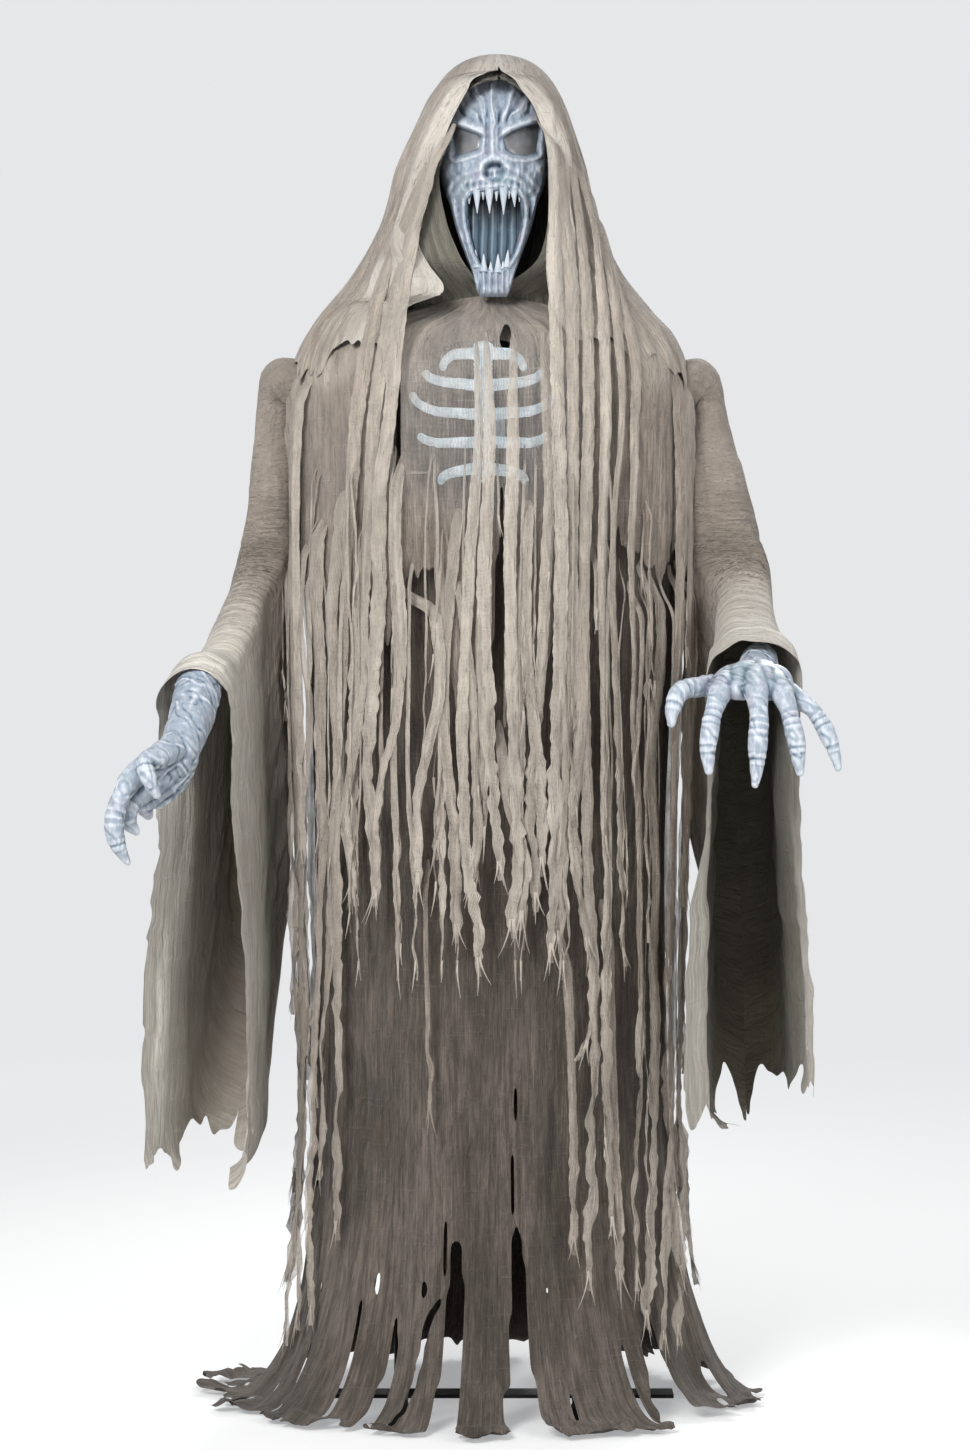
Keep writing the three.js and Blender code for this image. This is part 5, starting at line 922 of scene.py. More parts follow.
# Strands in front: the path down the image, width in pixels at the top, middle and end, tone, lift in metres
FRONT_STRANDS = [
    ([(446, 122), (418, 225), (404, 300), (394, 360), (386, 450), (379, 600), (372, 760),
      (378, 906)], 15, 15, 9, 0.8, 0.012),
    ([(438, 138), (408, 235), (390, 310), (376, 400), (368, 520), (358, 700),
      (352, 903)], 17, 15, 10, 0.6, 0.010),
    ([(430, 155), (396, 245), (374, 318), (359, 410), (350, 520), (342, 700), (337, 880),
      (338, 1240)], 18, 13, 8, 0.5, 0.008),
    ([(344, 470), (338, 540), (334, 640), (338, 760), (330, 900), (322, 1180)], 18, 12, 8, 0.5, 0.008),
    ([(322, 500), (319, 580), (322, 700), (326, 800), (318, 1000), (312, 1325)], 20, 13, 8, 0.45, 0.010),
    ([(302, 520), (301, 600), (308, 700), (304, 860), (302, 1000), (300, 1330)], 20, 14, 8, 0.4, 0.008),
    ([(281, 500), (283, 580), (290, 680), (294, 820), (292, 1000), (288, 1345)], 18, 14, 9, 0.5, 0.006),
    ([(398, 450), (397, 520), (402, 640), (398, 720), (384, 790), (380, 906)], 10, 11, 8, 0.7, 0.016),
    ([(398, 585), (408, 596), (428, 606), (439, 640), (441, 690), (432, 740), (420, 800),
      (418, 892)], 9, 11, 9, 0.8, 0.016),
    ([(464, 490), (452, 580), (446, 700), (452, 800), (458, 943)], 9, 11, 9, 0.5, 0.012),
    ([(478, 332), (478, 450), (468, 600), (462, 760), (470, 880), (480, 976)], 5, 12, 8, 0.9, 0.016),
    ([(488, 330), (489, 450), (484, 600), (490, 760), (500, 880)], 7, 13, 9, 1.0, 0.018),
    ([(512, 332), (514, 450), (510, 600), (514, 760), (515, 938)], 7, 13, 12, 1.0, 0.018),
    ([(528, 480), (527, 560), (526, 640), (536, 760), (544, 876)], 10, 12, 9, 0.8, 0.014),
    ([(546, 330), (549, 430), (546, 560), (540, 700), (530, 800), (534, 912)], 12, 12, 9, 0.7, 0.012),
    ([(548, 112), (552, 240), (556, 400), (558, 560), (555, 700), (552, 880),
      (548, 962)], 12, 14, 10, 1.0, 0.018),
    ([(555, 120), (566, 240), (572, 400), (570, 560), (568, 700), (564, 860),
      (560, 950)], 15, 13, 9, 0.6, 0.012),
    ([(564, 128), (580, 240), (588, 400), (584, 560), (584, 760), (592, 1000),
      (586, 1290)], 15, 12, 9, 0.7, 0.010),
    ([(572, 142), (594, 260), (604, 400), (600, 560), (602, 760), (603, 1000),
      (606, 1235)], 16, 10, 8, 0.8, 0.014),
    ([(579, 160), (606, 275), (620, 400), (612, 560), (616, 760), (620, 940),
      (622, 966)], 16, 8, 4, 0.6, 0.012),
    ([(586, 185), (618, 290), (636, 400), (630, 560), (634, 760), (638, 1000),
      (632, 1290)], 17, 8, 6, 0.5, 0.010),
    ([(650, 560), (647, 620), (644, 700)], 16, 9, 6, 0.6, 0.012),
    ([(662, 570), (660, 640), (652, 760), (655, 900), (648, 1330)], 17, 14, 10, 0.6, 0.008),
    ([(682, 565), (680, 640), (672, 780), (670, 1000), (660, 1350)], 17, 15, 10, 0.5, 0.010),
    ([(702, 560), (699, 640), (690, 780), (688, 1000), (676, 1345)], 17, 16, 11, 0.6, 0.008),
    ([(438, 530), (440, 590), (444, 700), (438, 860)], 7, 9, 7, 0.4, 0.008),
    ([(456, 560), (474, 700), (478, 820), (468, 900)], 7, 10, 8, 0.6, 0.012),
    ([(500, 720), (506, 800), (524, 870), (520, 930)], 8, 11, 9, 0.7, 0.014),
    ([(366, 560), (364, 700), (350, 820), (360, 906)], 8, 12, 9, 0.5, 0.014),
    ([(574, 560), (578, 700), (570, 830), (590, 955)], 8, 12, 9, 0.6, 0.014),
    ([(424, 860), (428, 1000), (430, 1120)], 5, 5, 3, 0.0, 0.006),
    ([(592, 930), (580, 1050), (572, 1060)], 6, 5, 3, 0.7, 0.012),
    ([(608, 900), (612, 1100), (620, 1290)], 9, 9, 6, 0.4, 0.008),
    ([(566, 930), (572, 1100), (576, 1255)], 8, 9, 7, 0.3, 0.006),
]


def outer_point(x, level):
    """Point in front on the outermost cloth at an X and a level, and the outward way"""
    width, depth, power = np.moveaxis(through(OUTER_ROWS, -np.asarray(level)), -1, 0)
    share = np.clip(np.abs(x) / width, 0, 0.985)
    y = -depth * (1 - share ** power) ** (1 / power)
    x = np.sign(x) * share * width
    out = np.stack([np.sign(x) * share ** (power - 1) / width,
                    -(np.abs(y) / depth) ** (power - 1) / depth, np.zeros_like(x)], -1)
    out /= np.linalg.norm(out, axis=-1, keepdims=True)
    return np.stack([x, y, level], -1), out


# Strand: width of one pleat, how deep it is as a share of that, and the small creases across it
PLEAT_WIDTH = 0.011
PLEAT_DEPTH_SHARE = 0.13
CREASE_HEIGHT = 0.0022

# Threads at a frayed end: shortest length, how much longer the longest is, half their width, and the
# lowest level they lie at
THREAD_LENGTH = 0.028
THREAD_MORE = 0.022
THREAD_HALF = 0.0014
THREAD_FLOOR = 0.004


def wander(place, size, seed):
    """Smooth noise along a strand"""
    return noise(place / size, 0.5, seed)


def frayed_threads(points, tangent, across, out, width, seed, tone, threads):
    """Loose threads at the end of a strand"""
    made = []
    for i in range(threads):
        swing = (i - (threads - 1) / 2) / max(1, threads) + 0.3 * math.sin(seed + 3 * i)
        reach = THREAD_LENGTH + THREAD_MORE * (1 + math.sin(seed * 1.7 + 5 * i)) / 2
        t = np.linspace(0, 1, 8)[:, None]
        start = points[-4] + across[-4] * width[-4] * 0.3 * swing
        line = start + tangent[-4] * reach * t + across[-4] * 0.55 * reach * swing * t ** 1.7 \
            + out[-4] * 0.006 * t
        line[:, 2] = np.maximum(line[:, 2], THREAD_FLOOR)
        half = THREAD_HALF * (1.2 - t)
        edges = [line - across[-4] * half, line + out[-4] * half * 0.8, line + across[-4] * half]
        thread = np.stack(edges, 1)
        made.append(patch(thread, marks={"tone": np.full(thread.shape[:2], min(1, tone + 0.2)),
                                         "thin": np.zeros(thread.shape[:2])}))
    return made


def strand(points, out, widths, seed, tone, threads=3):
    """A pleated strand of gauze down a path, its lower part crumpled and its end frayed"""
    place = run_along(points)
    share = place / place[-1]
    tangent = np.gradient(points, axis=0)
    tangent /= np.linalg.norm(tangent, axis=1, keepdims=True)
    across = np.cross(out, tangent)
    across /= np.linalg.norm(across, axis=1, keepdims=True)
    out = np.cross(tangent, across)
    loose = smooth((share - 0.5) / 0.4)
    width = through(widths, share)[:, 0]
    full = width[0]
    width = width * (1 + 0.15 * wander(place, 0.11, seed) + 0.32 * loose * wander(place, 0.028, seed + 1))
    sway = 0.004 * wander(place, 0.13, seed + 2) + loose * 0.005 * wander(place, 0.035, seed + 3)
    points = points + across * sway[:, None]
    turn = 0.3 * wander(place, 0.2, seed + 4) + 0.9 * loose * wander(place, 0.05, seed + 5)
    turned_across = across * np.cos(turn)[:, None] + out * np.sin(turn)[:, None]
    turned_out = out * np.cos(turn)[:, None] - across * np.sin(turn)[:, None]
    pleats = max(1, int(round(full / PLEAT_WIDTH)))
    steps = np.linspace(-1, 1, 4 * pleats + 1)[None, :]
    down, slack = place[:, None], loose[:, None]
    phase = 1.6 * wander(place, 0.18, seed + 6)[:, None] + 3 * slack * wander(place, 0.05, seed + 7)[:, None]
    deep = PLEAT_DEPTH_SHARE * full / pleats * (1 + 1.2 * np.clip(1 - width / full, 0, 1))
    wave = deep[:, None] * np.cos(math.pi * pleats * steps + phase)
    wave = wave - 0.12 * width[:, None] * steps ** 2
    wave = wave + CREASE_HEIGHT * noise(steps * 2 + 5, down / 0.016, seed + 8) * (0.3 + slack)
    edge = 1 + (0.12 + 0.25 * slack) * np.abs(steps) ** 3 * noise(np.sign(steps) * 5, down / 0.007, seed + 9)
    grid = points[:, None] + turned_across[:, None] * (steps * width[:, None] * edge / 2)[..., None] \
        + turned_out[:, None] * wave[..., None]
    shade = tone + 0.25 * noise(steps * 3, down / 0.2, seed + 10)
    open_weave = 0.45 + 0.35 * noise(steps * 2, down / 0.12, seed + 11)
    made = [patch(grid, marks={"tone": np.clip(shade, 0, 1), "thin": np.clip(open_weave, 0, 1)})]
    return made + frayed_threads(points, tangent, across, out, width, seed, tone, threads)


def front_strand(index, path, top, middle, end, tone, lift, threads=3):
    """A strand in front, whose path and widths are those of the image"""
    pixel = 1 / scale_at(-0.2)
    path = np.array(path, float)
    rows = np.linspace(path[0, 1], path[-1, 1], max(12, int((path[-1, 1] - path[0, 1]) / 6.5)))
    columns = through(path[:, ::-1], rows)[:, 0]
    y = np.full_like(rows, STRAND_DEPTH)
    for _ in range(3):
        points, out = outer_point(x_at(columns, y), np.maximum(z_at(rows, y), 0.012))
        y = points[:, 1]
    rise = lift + 0.004 * noise(rows / 60, 0.5, 900 + index) - 0.004
    rise = rise - (lift + 0.014) * (1 - smooth((rows - rows[0]) / 40))
    points = points + out * rise[:, None]
    widths = [[0, top * 0.4 * pixel], [0.05, top * pixel], [0.35, middle * pixel],
              [0.85, middle * 0.9 * pixel], [0.97, end * pixel], [1, end * 0.5 * pixel]]
    return strand(points, out, widths, 500 + 20 * index, tone, threads)


def round_strand(index, angle, top, end, width, tone, lift):
    """A strand at the side or the back, at an angle from the front toward +X"""
    level = np.linspace(top, end, max(16, int((top - end) / 0.011)))
    width_here, depth, power = np.moveaxis(through(OUTER_ROWS, -level), -1, 0)
    angles = angle + 0.025 * noise(level / 0.25, 0.5, 700 + index)
    x, y = oval(angles, width_here, depth, power)
    out = np.stack([x / width_here ** 2, y / depth ** 2, np.zeros_like(x)], -1)
    out /= np.linalg.norm(out, axis=-1, keepdims=True)
    rise = lift + 0.004 * noise(level / 0.2, 0.5, 740 + index)
    rise = rise - (lift + 0.016) * (1 - smooth((top - level) / 0.07))
    points = np.stack([x, y, level], -1) + out * rise[:, None]
    if end > SLEEVES_END:
        points[:, 0] = np.clip(points[:, 0], -TORSO_REACH, TORSO_REACH)
    widths = [[0, width * 0.6], [0.06, width * 1.25], [0.3, width], [0.85, width * 0.8],
              [0.97, width * 0.7], [1, width * 0.35]]
    return strand(points, out, widths, 2000 + 20 * index, tone)


def finish_strands(name, patches):
    strands = cloth(name, patches)
    strands.data.materials.append(GAUZE)
    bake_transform(strands)


# Fine threads between the strands in front: how many, the image columns and row they start from, how far
# down they reach and how wide they are in pixels, and the lowest row in the middle and at the sides
THREADS = 66
THREADS_FROM, THREADS_ACROSS = 268, 432
THREADS_TOP = 500
THREAD_DROPS = (120, 420, 260, 700, 190, 480, 330)
THREAD_WIDTHS = (1.6, 2.4, 4.2, 1.8, 3.0, 6.5)
THREADS_LOWEST = (980, 1330)

# Strands at the sides and the back: how many, the first angle and the whole turn in degrees, the level they
# start from, the levels they end at, and their narrowest width
BACK_STRANDS = 34
BACK_FROM, BACK_TURN = 66, 228
BACK_TOP = 1.432
BACK_ENDS = (0.16, 0.42, 0.30, 0.70, 0.12, 0.55, 0.24, 0.86)
BACK_WIDTH = 0.022

# Strands that end above this level stay clear of the sleeves
SLEEVES_END = 0.7
TORSO_REACH = 0.272


def fine_thread(i):
    """One fine thread between the strands in front"""
    share = (i + 0.5) / THREADS
    start = THREADS_FROM + THREADS_ACROSS * share + 9 * math.sin(5.3 * i)
    top = THREADS_TOP + 60 * math.sin(2.1 * i) + 40 * (share > 0.8)
    end = top + THREAD_DROPS[(3 * i) % 7] + 40 * math.sin(3.7 * i)
    end = min(end, THREADS_LOWEST[0] if 0.22 < share < 0.72 else THREADS_LOWEST[1])
    rows = np.linspace(top, end, 8)
    inward = 10 * (0.5 - share) * (rows - top) / (end - top)
    columns = start + inward + 5 * noise(rows / 110, 0.5, 3000 + i)
    width = THREAD_WIDTHS[(i * 5) % 6]
    tone = 0.35 + 0.2 * ((i * 3) % 4)
    lift = 0.004 + 0.004 * (i % 4)
    return front_strand(100 + i, list(zip(columns, rows)), width, width, 1.2, tone, lift, threads=1)


def back_strand(i):
    """One strand at the side or the back"""
    angle = math.radians(BACK_FROM + BACK_TURN * i / (BACK_STRANDS - 1)) + 0.03 * math.sin(7 * i)
    end = BACK_ENDS[(3 * i) % 8] + 0.03 * math.sin(5 * i)
    width = BACK_WIDTH + 0.007 * ((i * 7) % 3)
    tone = 0.3 + 0.2 * ((2 * i) % 4)
    return round_strand(i, angle, BACK_TOP - 0.018 * (i % 4), end, width, tone, 0.005 + 0.004 * (i % 2))


def make_strands():
    front = [made for i, row in enumerate(FRONT_STRANDS) for made in front_strand(i, *row)]
    front += [made for i in range(THREADS) for made in fine_thread(i)]
    finish_strands("front_strands", front)
    finish_strands("back_strands", [made for i in range(BACK_STRANDS) for made in back_strand(i)])


# Hood with its opening, and the dark lining

HOOD_ROWS = [
    # drop, level, half width, front depth, back depth, shift, power
    [0.000, 1.826, 0.0005, 0.0005, 0.0005, 0.009, 2.0],
    [0.030, 1.820, 0.036, 0.060, 0.050, 0.009, 2.0],
    [0.070, 1.803, 0.066, 0.112, 0.083, 0.009, 2.0],
    [0.115, 1.770, 0.090, 0.148, 0.107, 0.008, 2.0],
    [0.165, 1.733, 0.105, 0.164, 0.120, 0.006, 2.0],
    [0.225, 1.678, 0.126, 0.171, 0.129, 0.002, 2.0],
    [0.310, 1.594, 0.148, 0.169, 0.135, 0.001, 2.0],
    [0.375, 1.529, 0.181, 0.167, 0.141, -0.003, 2.1],
    [0.435, 1.478, 0.221, 0.165, 0.149, -0.004, 2.3],
    [0.475, 1.447, 0.246, 0.162, 0.154, 0.000, 2.4],
    [0.520, 1.408, 0.264, 0.160, 0.162, 0.000, 2.5],
    [0.560, 1.370, 0.270, 0.166, 0.168, 0.000, 2.5],
]

# Front opening of the hood and of its lining: level, left and right edge of the hole
HOOD_OPENING = [
    [1.360, -0.150, 0.150], [1.400, -0.140, 0.128], [1.440, -0.128, 0.100], [1.466, -0.112, 0.086],
    [1.474, -0.100, 0.083], [1.482, -0.062, 0.081], [1.492, -0.062, 0.080], [1.516, -0.078, 0.079],
    [1.545, -0.097, 0.080], [1.575, -0.101, 0.083], [1.640, -0.084, 0.084], [1.700, -0.063, 0.078],
    [1.738, -0.045, 0.063], [1.762, -0.030, 0.042], [1.775, -0.017, 0.026], [1.780, 0.000, 0.010],
]
LINING_OPENING = [
    [1.466, -0.004, 0.004], [1.473, -0.010, 0.020], [1.491, -0.024, 0.036], [1.510, -0.031, 0.052],
    [1.537, -0.041, 0.066], [1.568, -0.053, 0.074], [1.601, -0.061, 0.077], [1.640, -0.066, 0.078],
    [1.700, -0.058, 0.072], [1.738, -0.040, 0.056], [1.760, -0.025, 0.036], [1.771, -0.010, 0.020],
]


HOOD_FOLDS = [(22, 0.8, 0.007, 0.4), (46, 0.25, 0.0035, 0.55), (90, 0.1, 0.0018, 0.6)]

# Over the head the opening is closed and its two edges meet at this X; the back starts at this angle
CLOSED_EDGE = 0.012
BACK_ANGLE = 0.3

# How far down the hood its opening begins, how far its edge is rolled in, and how far the fold beside the
# edge stands out
OPENED_FROM = 0.108
ROLLED_IN = 0.010
FOLD_OUT = 0.006

# Lining: how far inside the hood it lies, the share by which the neck draws it in, how far it rises there
# and drops at the crown, and where it ends
LINING_INSET = 0.013
NECK_PULL = 0.42
NECK_RISE = 0.03
CROWN_DROP = 0.010
LINING_END = 0.475


def hood_surface(turn, drop, opening, inset=0.0, seed=91, fold=1.0):
    """Point of the hood; turn runs from 0 at the opening's right edge round the back to 1 at its left edge"""
    level, width, front, back, shift, power = np.moveaxis(through(HOOD_ROWS, drop), -1, 0)
    width, front, back = (np.maximum(size - inset, 0.0005) for size in (width, front, back))
    edges = through(opening, level)
    closed = level >= opening[-1][0]
    left, right = (np.where(closed, CLOSED_EDGE, edges[..., side]) for side in (0, 1))
    low = (level <= opening[0][0]) & (opening is LINING_OPENING)
    left, right = np.where(low, 0.0, left), np.where(low, 0.0, right)
    ratio_right = np.clip((right - shift) / np.maximum(width, 1e-6), -0.98, 0.98)
    ratio_left = np.clip((left - shift) / np.maximum(width, 1e-6), -0.98, 0.98)
    start = np.arcsin(np.sign(ratio_right) * np.abs(ratio_right) ** (power / 2))
    end = 2 * math.pi + np.arcsin(np.sign(ratio_left) * np.abs(ratio_left) ** (power / 2))
    near = smooth((np.abs(turn - 0.5) - 0.28) / 0.2)
    behind = BACK_ANGLE + (2 * math.pi - 2 * BACK_ANGLE) * turn
    angle = near * (start + (end - start) * turn) + (1 - near) * behind
    depth = np.where(np.cos(angle) > 0, front, back)
    x, y = oval(angle, width, depth, power)
    out = np.stack([x / np.maximum(width, 1e-6) ** 2, y / np.maximum(depth, 1e-6) ** 2, np.zeros_like(x)], -1)
    out /= np.maximum(np.linalg.norm(out, axis=-1, keepdims=True), 1e-9)
    across = (angle / (2 * math.pi)) % 1
    height = folds(across, drop, seed, HOOD_FOLDS)
    reach = smooth((drop - 0.03) / 0.2) * fold
    points = np.stack([x + shift, y, level], -1) + out * (height * reach)[..., None]
    points[..., 2] = np.minimum(points[..., 2], HOOD_TOP)
    return points, out


def make_hood():
    t, d = np.meshgrid(np.linspace(0, 1, 300), np.linspace(0, HOOD_ROWS[-1][0], 130))
    points, out = hood_surface(t, d, HOOD_OPENING)
    rolled = ROLLED_IN * (smooth(1 - t / 0.03) + smooth(1 - (1 - t) / 0.03))
    opened = smooth((d - OPENED_FROM) / 0.03)
    points = points + out * (FOLD_OUT * opened * (hill(t - 0.03, 0.03) + hill(t - 0.97, 0.03)))[..., None] \
        - out * (rolled * opened)[..., None]
    edge = 0.520 - 0.03 * smooth(1 - np.minimum(t, 1 - t) / 0.08) + 0.03 * noise(t * 30, 0.3, 95) \
        + 0.02 * noise(t * 110, 0.4, 96)
    tone = smooth((t < 0.5) * (1 - t / 0.10) + (t >= 0.5) * (1 - (1 - t) / 0.10)) * 0.9
    tone = np.maximum(tone, 1.6 * hill(points[..., 2] - 1.512, 0.045) * (t > 0.9))
    hood = cloth("hood_cloth", [patch(points, False, d < edge, {"tone": tone})])
    hood.data.materials.append(HOOD)
    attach(hood, "torso")
    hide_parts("hood")

    lined = hood_surface(t, d, LINING_OPENING, LINING_INSET, 191, 0.6)[0]
    pull = smooth((d - 0.36) / 0.115)[..., None]
    middle = np.array([HEAD_SHIFT, 0.0, 0.0])
    ring = (lined - middle) * (1 - NECK_PULL * pull) + middle
    ring[..., 2] = lined[..., 2] + NECK_RISE * pull[..., 0] - CROWN_DROP * (1 - smooth(d / 0.15))
    lining = cloth("hood_lining_cloth", [patch(ring[:, ::-1], False, d < LINING_END)])
    lining.data.materials.append(LINING)
    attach(lining, "torso")
    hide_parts("hood_lining")


# Sleeves: wide tubes over the arm whose lower seam hangs far down

SLEEVE_HALF_WIDTH = 0.061
SLEEVE_REACH = 0.318
SLEEVE_SPREAD = 0.074
INNER_PLANE = 0.270

# Cover of cloth over the middle of the arm where the stations' cover is 0, and where it is 1
COVERS = (0.0102, 0.040)
SLEEVE_STATIONS = {
    # share of the arm, arch width, cover, reach of the lower seam, its level, inner and outer spread
    "right": [
        [0.055, 0.42, 0.8, 0.24, 0.950, 0, 0.03], [0.14, 0.42, 1.4, 0.27, 0.890, 0, 0.054],
        [0.22, 0.44, 2.1, 0.29, 0.809, 0, 0.11], [0.32, 0.48, 2.3, 0.28, 0.671, 0, 0.2],
        [0.42, 0.54, 1.9, 0.24, 0.52, 0.03, 0.34], [0.52, 0.60, 0.9, 0.164, 0.361, 0.054, 0.42],
        [0.6, 0.66, 0.3, 0.025, 0.283, 0.08, 0.46], [0.68, 0.754, 0.06, -0.195, 0.269, 0.108, 0.46],
        [0.76, 0.852, 0.13, -0.44, 0.275, 0.108, 0.405], [0.83, 0.918, 1, -0.66, 0.254, 0.108, 0.324],
        [0.9, 0.984, 1, -0.88, 0.265, 0.46, 0.216], [0.94, 1, 1, -1, 0.249, 0.595, 0.108],
    ],
    "left": [
        [0.055, 0.42, 0.8, 0.24, 0.950, 0, 0.03], [0.14, 0.40, 1.4, 0.27, 0.890, 0, 0.054],
        [0.22, 0.40, 2.1, 0.29, 0.809, 0, 0.11], [0.32, 0.42, 2.3, 0.28, 0.671, 0, 0.2],
        [0.42, 0.46, 1.9, 0.24, 0.505, 0, 0.3], [0.52, 0.50, 0.9, 0.164, 0.325, 0, 0.42],
        [0.58, 0.54, 0.3, 0.057, 0.245, 0, 0.54], [0.64, 0.52, 0.02, -0.094, 0.217, 0, 0.60],
        [0.7, 0.60, 0.13, -0.264, 0.225, 0.03, 0.56], [0.75, 0.69, 1, -0.421, 0.202, 0.2, 0.48],
        [0.8, 0.77, 1, -0.56, 0.225, 0.32, 0.38], [0.84, 0.82, 1, -0.66, 0.205, 0.42, 0.3],
    ],
}

# Caps over the shoulder bolts: key before the sleeve's stations, X at the bottom and at the top, top and
# bottom level, half depth
SLEEVE_CAPS = [
    [-0.08, 0.236, 0.240, 1.412, 1.340, 0.062],
    [-0.035, 0.256, 0.284, 1.418, 1.336, 0.060],
    [0.0, 0.270, 0.311, 1.400, 1.335, 0.046],
]

# Walls of the sleeve, from the seam up and from the arm down: share of the drop, and how full the cloth is
INNER_WALL = ((0.965, 0.30), (0.82, 0.72), (0.6, 0.95), (0.22, 0.6))
OUTER_WALL = ((0.22, 0.6), (0.6, 0.95), (0.82, 0.85), (0.965, 0.36))
ARCH_TURNS = (1, 0.7, 0.35, 0, -0.35, -0.7, -1)

# Points along the arm and the sleeve while they are laid out
FINE = 400

# Ragged lower edge: how far above the lowest point it lies, and noise along X and Y, height and seed
RAGGED_RISE = 0.062
RAGGED = [(0.022, 0.10, 0.055, 24), (0.009, 0.03, 0.020, 25)]

# Folds of the slack cloth and the small ones all over it
SLACK_FOLDS = [(9, 0.5, 0.010, 0.4), (22, 0.22, 0.005, 0.5)]
SMALL_FOLDS = [(26, 0.3, 0.0035, 0.5), (60, 0.12, 0.002, 0.6)]


def arm_path(name):
    """Points down the middle of an arm from the shoulder to the wrist, evenly spaced"""
    shoulder = np.array([SIDES[name] * SHOULDER_REACH, 0, SHOULDER_LEVEL])
    elbow, wrist = np.array(ELBOWS[name]), np.array(WRISTS[name])
    upper = (elbow - shoulder) / np.linalg.norm(elbow - shoulder)
    lower = (wrist - elbow) / np.linalg.norm(wrist - elbow)
    bend_from, bend_to = elbow - upper * ELBOW_BEND, elbow + lower * ELBOW_BEND
    t = np.linspace(0, 1, 40)[:, None]
    bend = (1 - t) ** 2 * bend_from + 2 * t * (1 - t) * elbow + t ** 2 * bend_to
    upper_arm, forearm = np.linspace(shoulder, bend_from, 120), np.linspace(bend_to, wrist, 120)
    line = np.concatenate([upper_arm[:-1], bend, forearm[1:]])
    length = run_along(line)
    places = np.linspace(0, length[-1], FINE)
    return np.stack([np.interp(places, length, line[:, k]) for k in range(3)], 1)


def sleeve_line(name, path, station):
    """One crosswise line of a sleeve: from the lower seam up the inner wall, over the arm and down again"""
    share, radius_share, cover_share, reach, level, inner, outer = station
    side = SIDES[name]
    radius = SLEEVE_HALF_WIDTH * radius_share
    cover = COVERS[0] + (COVERS[1] - COVERS[0]) * cover_share
    i = int(round(np.clip(share, 0.001, 0.999) * (len(path) - 1)))
    tangent = path[min(i + 1, len(path) - 1)] - path[max(i - 1, 0)]
    tangent /= np.linalg.norm(tangent)
    over = np.cross(tangent, [1, 0, 0])
    over /= np.linalg.norm(over)
    outward = np.array([side, 0, 0])
    near = max(radius, (abs(path[i][0]) - INNER_PLANE) * float(smooth((0.55 - share) / 0.12)))
    arch = path[i] + over * (cover - radius)
    seam = np.array([path[i][0], SLEEVE_REACH * reach, SHOULDER_LEVEL * level])
    line = [seam + outward * SLEEVE_SPREAD * (outer - inner) * 0.3]
    for depth, belly in INNER_WALL:
        line.append(arch + (seam - arch) * depth
                    - outward * (near + SLEEVE_SPREAD * inner * depth) * belly ** 0.3)
    for turn in ARCH_TURNS:
        wide = near if turn > 0 else radius
        quarter = turn * math.pi / 2
        line.append(arch - outward * wide * math.sin(quarter) + over * radius * math.cos(quarter))
    for depth, belly in OUTER_WALL:
        line.append(arch + (seam - arch) * depth
                    + outward * (radius + SLEEVE_SPREAD * outer * depth) * belly ** 0.3)
    line.append(line[0])
    return np.array(line)


def sleeve_grid(name, rows, columns):
    """Points of the sleeve from the shoulder to the cuff, and the share of the arm that each row lies at"""
    path = arm_path(name)
    stations = SLEEVE_STATIONS[name]
    lines = np.array([sleeve_line(name, path, station) for station in stations])
    side = SIDES[name]
    caps = []
    turns = np.linspace(0, 2 * math.pi, lines.shape[1])
    share = (1 - np.sin(turns)) / 2
    for _, low_x, top_x, top, low, deep in SLEEVE_CAPS:
        caps.append(np.stack([side * (low_x + (top_x - low_x) * share), 0.15 * deep + deep * np.cos(turns),
                              low + (top - low) * share], 1))
    lines = np.concatenate([caps, lines])
    keys = np.array([row[0] for row in SLEEVE_CAPS + stations])
    table = np.concatenate([keys[:, None], lines.reshape(len(lines), -1)], 1)
    even = np.linspace(keys[0], keys[-1], FINE)
    fine = through(table, even).reshape(FINE, -1, 3)
    across = np.linspace(0, 1, columns)
    grid = np.empty((FINE, columns, 3))
    for k in range(FINE):
        span = np.concatenate([[0], np.cumsum(np.linalg.norm(np.diff(fine[k], axis=0), axis=1) + 1e-5)])
        grid[k] = through(np.column_stack([span / span[-1], fine[k]]), across)
    travel = np.concatenate([[0], np.cumsum(np.linalg.norm(np.diff(grid.mean(1), axis=0), axis=1) + 1e-6)])
    places = np.linspace(0, travel[-1], rows)
    flat = grid.reshape(FINE, -1)
    result = np.stack([np.interp(places, travel, flat[:, k]) for k in range(flat.shape[1])], 1)
    return result.reshape(rows, columns, 3), np.interp(places, travel, even)


